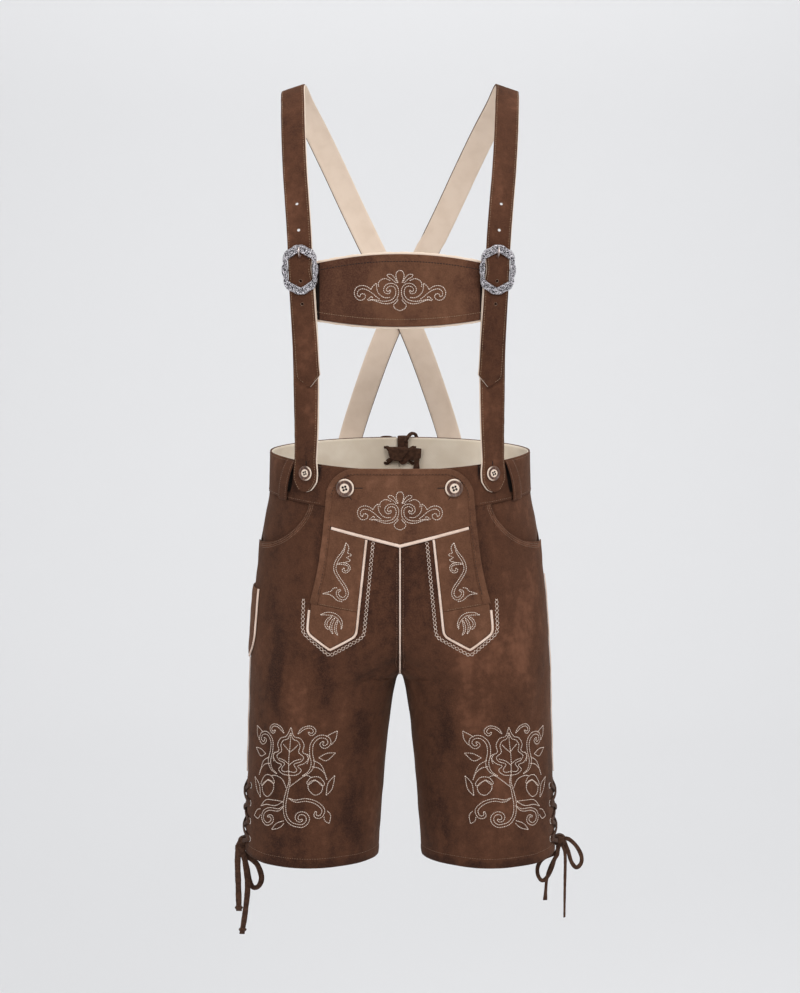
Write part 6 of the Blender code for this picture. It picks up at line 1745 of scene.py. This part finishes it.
# the ends inside the band: how far they stand off it, and their outlines as x and height by turns
FOLDED_THONG = (
    (3.6, (5.3, -479.4, 13.4, -479.0, 29.4, -480.0, 28.9, -486.2, 28.6, -493.4, 18.7, -496.4, 10.7, -495.8,
           4.0, -492.2, 2.7, -484.8)),
    (4.0, (-2.7, -493.0, 4.7, -491.5, 12.4, -494.6, 8.6, -500.2, 2.7, -501.8, -1.6, -498.9)),
    (6.6, (-18.7, -477.4, -4.0, -477.6, 12.7, -479.0, 13.4, -482.3, 7.6, -489.5, 1.8, -497.0, -6.7, -496.4,
           -13.0, -494.2, -15.4, -488.9, -16.2, -483.7, -18.9, -480.3)),
    (4.2, (-12.4, -491.2, -11.0, -496.4, -15.8, -500.0, -19.7, -495.6)),
    (3.2, (18.2, -491.5, 27.2, -491.0, 25.8, -499.6, 27.2, -508.4, 17.3, -508.4, 19.6, -499.6)))


def patch_part(shape, level, thick):
    """A flat folded end lying on the back's inner side; the shape is its outline."""
    centre = shape.mean(axis=0)
    closed = np.concatenate([shape, shape[:1]])
    rim = np.concatenate([start + (end - start) * np.linspace(0, 1, 5)[:-1, None]
                          for start, end in zip(closed[:-1], closed[1:])])
    rim = 0.7 * rim + 0.15 * (np.roll(rim, 1, 0) + np.roll(rim, -1, 0))
    rings = []
    for scale, out in ((0.97, 0.0), (1.0, 0.4), (0.975, 0.85), (0.86, 1.0), (0.5, 0.97), (0.02, 0.95)):
        flat = centre + (rim - centre) * scale
        rings.append(on_back(flat[:, 0], flat[:, 1], level - out * thick))
    return np.concatenate(rings), ring_faces(len(rings), len(rim))


def back_lace():
    rim = RIM_SIDE + RIM_BACK_RISE
    top_z, low_z = (rim - drop for drop in BACK_EYELET_DROPS)
    outside, inside = BAND_OUT + 2.0 * MM, BAND_OUT - SUEDE - GAP - 1.2 * MM - 2.0 * MM
    over_rim = outside + 0.6 * MM

    def through(x, z, way, inwards):
        steps = [(x + way * 5.0 * MM, z, outside), (x + way * 1.4 * MM, z, outside - 0.6 * MM),
                 (x, z, (outside + inside) / 2), (x + way * 1.4 * MM, z, inside + 0.6 * MM),
                 (x + way * 5.0 * MM, z, inside)]
        return steps if inwards else steps[::-1]

    def crossing(first_z, last_z, edge, middle):
        return [(x, last_z + (first_z - last_z) * share, inside - out) for x, share, out in (
            (8 * MM, 2 / 3, edge), (0.0, 1 / 2, middle), (-8 * MM, 1 / 3, edge))]

    eye = BACK_EYELET_X
    start = [(2.0 * MM, top_z + 4 * MM, over_rim), (6.2 * MM, top_z + 3.5 * MM, over_rim)]
    route = start + through(eye, top_z, -1, True) + crossing(top_z, low_z, 0.0, 0.0)
    route += through(-eye, low_z, 1, False) + [(0.0, low_z, outside + 0.4 * MM)]
    route += through(eye, low_z, -1, True) + crossing(low_z, top_z, 2.4 * MM, 3.6 * MM)
    route += through(-eye, top_z, 1, False) + [(-x, z, out) for x, z, out in start[::-1]]
    stops = on_back(*np.array(route).T)
    parts = [ribbon(stops, 3.6 * MM, 2.2 * MM, outward=(0.02, 1.0, 0.05), steps=8, sides=8)]
    seat = on_back(0.1 * MM, top_z + 4 * MM, over_rim)
    turn = np.linspace(0, 2 * np.pi, 30)
    for lean in (0.6, -0.6):
        loop = seat + np.stack([3.0 * MM * np.cos(turn), 2.2 * MM * np.sin(turn) + 0.3 * MM,
                                3.0 * MM * np.sin(turn + lean)], -1)
        parts.append(tube_parts(loop, *frames_on(loop, unit(loop - seat)),
                                thong_sections(len(turn), 3.2 * MM, 2.0 * MM, sides=8)))
    # inside, the thong is folded flat over itself and hooked over the rim
    for level, shape in FOLDED_THONG:
        parts.append(patch_part(np.reshape(shape, (-1, 2)) * MM, inside - level * MM, 2.2 * MM))
    # height over the rim and level of each stop, first x, run in x, width and thickness
    runs = (([(-15.0 * MM, inside - 1.5 * MM), (-5.0 * MM, inside - 1.2 * MM),
              (-0.4 * MM, inside + 0.6 * MM),
              (0.6 * MM, (inside + outside) / 2), (0.0, outside - 0.4 * MM), (-11.0 * MM, outside)],
             3.8 * MM, 0.0, 14.6 * MM, 2.0 * MM),
            ([(-6.0 * MM, inside - 2.0 * MM), (0.0, inside - 1.8 * MM), (4.0 * MM, inside),
              (5.2 * MM, inside + 1.8 * MM), (3.0 * MM, outside), (-5.0 * MM, outside + 0.8 * MM)],
             6.8 * MM, 17.0 * MM, 5.6 * MM, 3.8 * MM),
            ([(up * MM, outside) for up in (-3.0, -0.6, 0.0, 0.0, -0.8, -4.0)],
             -28.5 * MM, 21.5 * MM, 3.2 * MM, 2.4 * MM))
    for stops, first_x, run_x, wide, thick in runs:
        up, level = np.array(stops).T
        line = on_back(first_x + run_x * np.linspace(0, 1, len(stops)), rim + up, level)
        line = evenly(catmull(line, 10), 1.0 * MM)
        middle = on_back(first_x + run_x / 2, rim - 6 * MM, (inside + outside) / 2)
        parts.append(tube_parts(line, *frames_on(line, unit(line - middle)),
                                thong_sections(len(line), wide, thick)))
    finish_parts("back_cord", parts, THONG, "lace", "back_lace")
    places = [back_skin(x, z) for x, z in back_eyelets()]
    eyelet_rings("back_eyelets", places, BAND_OUT + 0.3 * MM, 4.0 * MM, 0.8 * MM)


back_lace()

# ================================================================ embroidery and seams
# The ornaments are common scroll, leaf and plume work, drawn in millimetres for the +X half.
def spiral(centre, first, last, angle, turns, count=26):
    """Points round a centre from one radius to another, starting at an angle, turning anticlockwise."""
    t = np.linspace(0, 1, count)
    way = np.radians(angle) + 2 * np.pi * turns * t
    radius = first + (last - first) * t**0.85
    points = np.array(centre) + radius[:, None] * np.stack([np.cos(way), np.sin(way)], -1)
    return points.ravel().tolist()


def band(spine, width, start=0.35, end=0.1):
    """The closed outline of a scroll: width at its middle, start and end shares of it at its ends."""
    spine = evenly(catmull(np.reshape(spine, (-1, 2)), 8), 0.9)
    share = np.linspace(0, 1, len(spine))
    half = width / 2 * np.minimum(1.0, np.minimum(start + 5 * share, end + 3.2 * (1 - share)))
    left = leftwards(spine) * half[:, None]
    first_tip, last_tip = (spine[end] + np.array([left[end, 1], -left[end, 0]]) * way * 0.8
                           for end, way in ((0, -1), (-1, 1)))
    return np.concatenate([spine + left, [last_tip], (spine - left)[::-1], [first_tip], (spine + left)[:1]])


def stroke(*stops):
    """A plain line; its stops, like those of a band, are given as x and height by turns."""
    return catmull(np.reshape(stops, (-1, 2)), 8)


def both_halves(lines):
    return [line * (side, 1.0) for line in lines for side in (1.0, -1.0)]


HEART_SCROLL = [
    stroke(2.4, 9.6, 4.4, 15, 5.2, 19.6, 3.6, 24.2, 0, 25.6),
    stroke(3.4, 9.4, 6.4, 15.6, 11, 20.4, 16.6, 20.2, 15, 17.2, 9.6, 14, 5, 9.2),
    stroke(12, 12.4, 18.8, 15.2, 25.2, 12.8, 27.8, 8.2, 26.8, 4.6),
    band([12.6, 0.8, 12.9, -1.7, 15.6, -3, 18.6, -1, 18.8, 3, 15.4, 6.6, 9.9, 7.4, 5, 4.4, 3.5, -1.5, 4.6,
          -7.6, 8.6, -12.4, 14.4, -14.8, 21.4, -15, 28.6, -13.2, 35, -11.6, 41, -12.8], 3.5, 0.4, 0),
    stroke(12.5, -8.6, 18.6, -9.2, 24.4, -6.4, 28.4, -1.6, 29.6, 4, 29.9, 9.4),
    stroke(29.9, 9.4, 34.6, 5.4, 36.8, 1.2),
    stroke(36.8, 1.2, 41.4, 4.8, 47.8, 6.4, 54.2, 4.6, 57.6, -0.4, 57.4, -6.4, 54.2, -11, 49.2, -12.4,
           44.8, -10.2, 43.8, -6.2, 47, -3.8, 50.4, -5.2, 50.4, -8),
    stroke(25.5, -11.2, 30.4, -7.6, 35.6, -3, 41.4, 0.6, 47.8, 2.2, 52.4, 0.4, 54.2, -3.6, 52.8, -7.4,
           50.4, -8), stroke(34.6, -9.8, 36.2, -7.4, 41.8, -12.2),
    stroke(2.4, -11.2, 4.2, -14.4, 6.6, -16.4), stroke(5.4, -15.6, 8, -17.8, 6.6, -22.6, 0, -25.8),
]

VINE = [
    band([68.4, -580.6, 72, -592, 80.2, -604.6, 82.6, -616, 77, -627.2, 69.4, -638.6, 67.2, -647.4, 72.2,
          -653, 78.6, -649.6, 79.6, -643.8, 75.6, -641.8], 3, 0, 0.7),
    band([80.2, -608.6, 73.6, -607.6, 66.4, -609.2, 64.2, -614, 68.6, -618.6, 72.6, -616.6, 70.8, -613.6],
          2.3, 0.1, 0.7), stroke(68.4, -580.6, 64.8, -586.4, 66.6, -594.2),
    stroke(66.6, -594.2, 62.6, -595, 61, -596.6, 65, -598.2, 68.4, -600.4),
    stroke(66.8, -600.8, 62.6, -603.4, 67.6, -605.4, 72, -606.6),
    stroke(79.8, -638.8, 84.8, -639.6, 87.6, -643.4, 91.4, -644.6, 98.6, -647.2),
    stroke(98.6, -647.2, 90.6, -647.6, 84.8, -650.8, 80.4, -655, 73.4, -656.6),
]

PLUME = [
    band([101.6, -674.4, 93.8, -672.6, 84.6, -673.2, 77.6, -678.4, 74.2, -686.4, 75.4, -693], 3.6, 0, 0),
    band([86.6, -676, 92.4, -680.6, 94.6, -687, 91.8, -691.4, 89.4, -689.6], 2.6, 0.2, 0.6),
    band([83, -677.4, 87, -684.2, 88.2, -691.6, 85.4, -698.6], 2.5, 0.1, 0.1),
    band([79.6, -680.4, 82, -687.6, 82.2, -694.6, 78.8, -700.6], 2.3, 0.1, 0.1),
]

# the breeches' legs: oak leaf, acorns and scrolls; across the leg and height, from the middle of the design
OAK_SPRIG = [
    # stem, from a curl at the foot of the sprig up to the leaf
    band(spiral((-17, -50), 1.8, 9.5, -144, 1.15) + [-6, -57, 1.5, -48, 3.5, -34, 1, -18, -1.5, -6, 0, 4],
         3.4, 0.6, 0.2),
    # leaf with five lobes
    stroke(0, 2, -9, 3, -15, 9, -10, 14, -18, 18, -23, 27, -15, 31, -16, 40, -11, 48, -4, 50, 0, 61),
    stroke(0, 61, 5, 50, 12, 47, 16, 39, 14, 31, 22, 26, 18, 17, 9.5, 14, 14, 8, 8, 3, 0, 2),
    stroke(0, 4, 0.8, 22, 0, 40, 0, 52), stroke(0.6, 14, -6, 20, -14, 23), stroke(0.8, 16, 7, 20, 14, 22),
    stroke(0.5, 30, -5, 35, -9, 40), stroke(0.5, 31, 5, 36, 9, 40),
    # two acorns
    stroke(28, -6, 21, -9, 20, -18, 27, -27, 35, -24, 37, -14, 28, -6),
    stroke(19, -7.5, 24, -1, 33, -1.5, 39.5, -12, 37, -15, 28.5, -7, 20, -10.5, 19, -7.5),
    stroke(25, -1.5, 18, 0, 8, -4, 2.5, -14),
    stroke(-30, -2, -24, -6, -24, -14, -31, -21, -38, -18, -39, -9, -30, -2),
    stroke(-21.5, -5.5, -26, 0.5, -35, 1, -41.5, -7, -39, -10, -31, -3, -23.5, -8.5, -21.5, -5.5),
    stroke(-27, 0.5, -20, 3, -11, -4, -2, -12),
    # scrolls beside the stem
    band([4, -36, 12, -42, 24, -42, 33, -47, 34, -56, 27, -61, 20, -57, 21, -50.5, 26.5, -51.5], 3.2, 0.1,
          0.6),
    band([-1, -26, -10, -29, -22, -27, -34, -31, -42, -40, -39, -48, -33, -47, -33.5, -41.5], 3.2, 0.1,
          0.6), stroke(40, -30, 47, -22, 52, -6), stroke(52, -6, 43, -14, 40, -30),
    stroke(-44, -22, -51, -14, -53, 2), stroke(-53, 2, -45.5, -7, -44, -22),
    stroke(6, -31, 16, -37, 29, -37, 39, -40.5), stroke(6, -31, 18, -30.5, 30, -31.5, 39, -40.5),
    stroke(39, -44, 45, -46, 50, -54), stroke(50, -54, 43, -56.5, 38.5, -51),
    stroke(-46.5, -41, -51, -47, -50, -57), stroke(-50, -57, -44.5, -53.5, -43, -48),
    stroke(3, -57.5, 7, -62, 12, -65, 20, -67), stroke(20, -67, 15.5, -60.5, 10.5, -57, 3.5, -54.5),
]
# the sprig's right half: scrolls that rise beside the leaf, the leaf's second outline, and flames
SPRIG_HALF = [
    band([16, 2, 24, 8, 27, 18, 24.5, 30, 25, 42, 32, 50, 41, 49, 44, 42, 39, 37.5, 34.5, 41, 37.5, 44],
          3.4, 0.1, 0.6), band([8, 53, 14, 60, 22, 62, 27, 57, 23.5, 52.5, 20, 55.5], 2.6, 0.1, 0.6),
    stroke(0, 7, 7, 6, 9.6, 9.6, 5.6, 16, 13.6, 19.6, 16.6, 25.2, 10.4, 30.8, 11.6, 38.4, 8.4, 44.6, 3.2,
           46.6, 0, 54.4), stroke(26, 14, 34, 12, 41, 5, 44, -3), stroke(27, 22, 37, 15, 44, -3),
    stroke(46, 40, 51, 47, 52, 57), stroke(52, 57, 44, 53, 40, 50), stroke(19.5, 29, 22, 23, 20.5, 17),
    stroke(33, 25, 42, 21, 52, 30), stroke(33, 25, 42, 30, 52, 30),
]
OAK_SPRIG += both_halves(SPRIG_HALF)


SPRIG_SCALE = (1.22, 1.08)
SPRIG_ANGLE = np.radians(22)    # the middle of the sprig, outwards from the leg's front
SPRIG_Z = -0.8885
LEG_RADIUS = 0.096
BAR_ORNAMENT_Z = -0.2578
FLAP_ORNAMENT_Z = -0.5393
FLAP_ORNAMENT_SCALE = (0.93, 0.955)


def embroider(name, lines, surface, out=0.22 * MM, row="silk"):
    """Ornament lines, in millimetres, sewn in small stitches of thick silk."""
    sew_lines(name, [laid(np.asarray(line) * MM, surface, out) for line in lines], row)


def flap_face(x, z, out):
    return on_front(x, z, flap_lift(z) + FLAP_THICK + 0.2 * MM + out)


def ornaments():
    heart = both_halves(HEART_SCROLL)
    embroider("bar_embroidery", heart, lambda x, z, out: on_bar(x, z + BAR_ORNAMENT_Z, out))
    embroider("flap_embroidery", [line * FLAP_ORNAMENT_SCALE for line in heart],
              lambda x, z, out: flap_face(x, z + FLAP_ORNAMENT_Z, out))
    for side, label in SIDES:
        def leg_face(around, up, out):
            """A place on a leg from its way round, outwards from the sprig's middle, and its height."""
            return pushed(*skin(side, SPRIG_ANGLE + around / LEG_RADIUS, up + SPRIG_Z), out)

        embroider(f"strip_embroidery_{label}", [line * (side, 1.0) for line in VINE + PLUME], flap_face)
        embroider(f"leg_embroidery_{label}", [line * SPRIG_SCALE for line in OAK_SPRIG], leg_face, 0.15 * MM)
        chain(side, label)


def chain(side, label):
    """Chain stitch beside the piping: two threads that swing past each other and make a row of links."""
    corner_cuts, swing, link = (6 * MM, 4 * MM, 6 * MM), 2.2 * MM, 5.4 * MM
    path = evenly(rounded([np.array(p) for p in CHAIN_PATH], corner_cuts), 0.5 * MM) * (side, 1.0)
    aside = leftwards(path) * swing * np.sin(np.pi * lengths_along(path) / link)[:, None]
    embroider(f"chain_stitch_{label}", [(path + way * aside) / MM for way in (-1, 1)], on_front, 0.15 * MM,
              "silk chain")


ornaments()


def skin_line(side, angle, z, out):
    point, normal = skin(side, angle, z)
    return point + normal * out, normal


FRONT_ROW = (-0.60, -0.748)
SEAT_ROW = (-0.535, -0.745)
BAND_MIDDLE = -0.50
LOW_ROW_XS = (0.060, 0.1030)
BAR_ROW_REACH = 0.112


def leg_seams():
    """Rows of stitches on the breeches: pockets, hems, seams and the waistband."""
    on_cloth = 0.1 * MM
    turn = np.linspace(0.02, np.pi / 2 - 0.06, 60)
    for side, label in SIDES:
        tonal, edge = [], []
        for wider in (1.4 * MM, 3.6 * MM, 6.0 * MM):
            x, z = pocket_edge(turn, wider)
            edge.append(skin_line(side, angle_at_x(x, z), z,
                                  (POCKET_GAPE * np.sin(turn) ** 2 + on_cloth)[:, None]))
        # the hem, front and back
        for way in (-1, 1):
            ends = angle_at_y(way * 4 * MM, HEM, inner=True), angle_at_y(way * 10 * MM, HEM)
            angle = np.linspace(*ends[::-way], 90)
            tonal.append(skin_line(side, angle, hem_height(angle) + HEM_ROW, -0.05 * MM))
        # beside the front closing seam, from the flap's piping down, and beside the seat seam
        z = np.linspace(*FRONT_ROW, 60)
        tonal.append(skin_line(side, angle_at_x(4 * MM, z), z, on_cloth))
        z = np.linspace(*SEAT_ROW, 90)
        tonal.append(skin_line(side, np.pi - angle_at_x(4 * MM, z), z, on_cloth))
        # vent edges
        z = np.linspace(VENT_TOP - 6 * MM, HEM + 4 * MM, 50)
        for facing in (-1, 1):
            tonal.append(skin_line(side, angle_at_y(facing * (vent_half(z) + 2.8 * MM), z), z, on_cloth))
        # waistband: along its rim and its seam
        angle = np.linspace(angle_at_x(0.1005, BAND_MIDDLE), np.pi - angle_at_x(0.012, BAND_MIDDLE), 160)
        for height in (rim_height(angle) - 2.8 * MM, seam_height(angle) + 2.8 * MM):
            tonal.append(skin_line(side, angle, height, BAND_OUT + 0.05 * MM))
        sew_lines(f"leg_seams_{label}", tonal, "legs")
        sew_lines(f"pocket_seams_{label}", edge, "pockets")
    # the knife pocket's two rows, and the one along its mouth
    face = KNIFE_LIFT + KNIFE_THICK
    straight = np.linspace(KNIFE_TOP - 3 * MM, KNIFE_BOTTOM + KNIFE_HALF, 14)[:-1]
    lines = [laid(knife_outline(-inwards, straight, 50), left_side, face + 0.5 * MM)
             for inwards in (2.4 * MM, 7.2 * MM)]
    y = np.linspace(-KNIFE_HALF + 4 * MM, KNIFE_HALF - 4 * MM, 40)
    lines.append(laid(np.column_stack([y, np.full(40, KNIFE_TOP - 6 * MM)]), left_side, face + 0.4 * MM))
    sew_lines("knife_pocket_seams", lines, "knife pocket")


def flap_seams():
    outer, inner = rim_lines()
    line = mirrored(outer + (inner - outer) * 0.86)[2:-2]
    rim = laid(line, lambda x, z, out: on_front(x, z, flap_lift(z) + RIM_THICK + out), 0.15 * MM)
    x = np.linspace(*LOW_ROW_XS, 30)
    lows = [laid(np.column_stack([side * x, seam_line(x) + 1.6 * MM]), flap_face, 0.0) for side in (1, -1)]
    sew_lines("flap_rim_seam", [rim], "flap rim")
    sew_lines("flap_seams", lows, "flap")
    holes = []
    x, z, _ = FLAP_BUTTON
    for side in (1, -1):
        # the buttonhole's bar, sewn over and over, its slit, and the slack below the button; the slit and the
        # slack are dark lines of painted shade
        for k in range(7):
            at = side * (x - 11.5 * MM - 1.6 * MM * k)
            holes.append(laid([(at, z + 1 * MM), (at + 0.2 * MM, z - 1 * MM)], flap_face, 0.0))
        for stops, out in (([(10.5 * MM, 0.0), (22.5 * MM, 0.0)], 0.05 * MM),
                           ([(4.5 * MM, 10.5 * MM), (8.5 * MM, 16 * MM)], 0.1 * MM)):
            holes.append(laid([(side * (x - inwards), z - down) for inwards, down in stops], flap_face, out))
    sew_lines("buttonholes", holes, "buttonholes")


def bar_seams():
    x = np.linspace(-BAR_ROW_REACH, BAR_ROW_REACH, 150)
    top, bottom = bar_edges(x)
    for edge, z, out in (("top", top - 8.8 * MM, 0.02 * MM), ("bottom", bottom + 9.4 * MM, 0.05 * MM)):
        sew_lines(f"bar_seam_{edge}", [laid(np.column_stack([x, z]), on_bar, out)], f"bar {edge}")


leg_seams()
flap_seams()
bar_seams()
sew_lines("strap_seams", EDGE_LINES, "straps")


# ================================================================ floor and light
def backdrop():
    """A pale seamless sheet: floor, bend and wall."""
    floor, wall, wall_top, front, side, bend = -1.75, 6.8, 5.0, -7.0, 8.0, 1.7
    turns = np.linspace(0, np.pi / 2, 24)
    corner = [(wall - bend + bend * np.sin(t), floor + bend * (1 - np.cos(t))) for t in turns]
    line = [(front, floor), *corner, (wall, wall_top)]
    points = np.array([[(x, y, z) for x in (-side, side)] for y, z in line])
    faces = [(2 * i, 2 * i + 1, 2 * i + 3, 2 * i + 2) for i in range(len(line) - 1)]
    paper, _, _ = new_material("pale_paper", Roughness=0.95, Base_Color=linear("#e9e9ea"))
    make_object("backdrop", points, faces, paper)


backdrop()


for name, place, target, size, power in (
        ("key", (1.3, -3.0, 1.7), (0, 0, -0.45), (1.8, 1.8), 72),
        ("fill", (-2.1, -3.0, 0.7), (0, 0, -0.5), (1.8, 2.0), 34),
        ("top", (0.0, 0.2, 2.2), (0, 0, -0.4), (2.4, 2.4), 34),
        ("wall_left", (-2.6, 0.8, 0.6), (0, 2.6, -0.4), (1.4, 2.6), 15),
        ("wall_right", (2.6, 0.8, 0.6), (0, 2.6, -0.4), (1.4, 2.6), 28),
        ("wall", (0.0, 4.5, 3.0), (0, 6.8, -0.6), (5.0, 1.4), 101)):
    data = bpy.data.lights.new(name, "AREA")
    data.shape, data.size, data.size_y, data.energy = "RECTANGLE", *size, power
    lamp = bpy.data.objects.new(name, data)
    lamp.location = place
    way = np.array(target) - np.array(place)
    lamp.rotation_euler = (np.arctan2(np.hypot(way[0], way[1]), -way[2]), 0, np.arctan2(-way[0], way[1]))
    scene.collection.objects.link(lamp)
world = bpy.data.worlds.new("studio")
world.use_nodes = True
world.node_tree.nodes["Background"].inputs["Color"].default_value = linear("#dfe1e4")
world.node_tree.nodes["Background"].inputs["Strength"].default_value = 0.42
scene.world = world
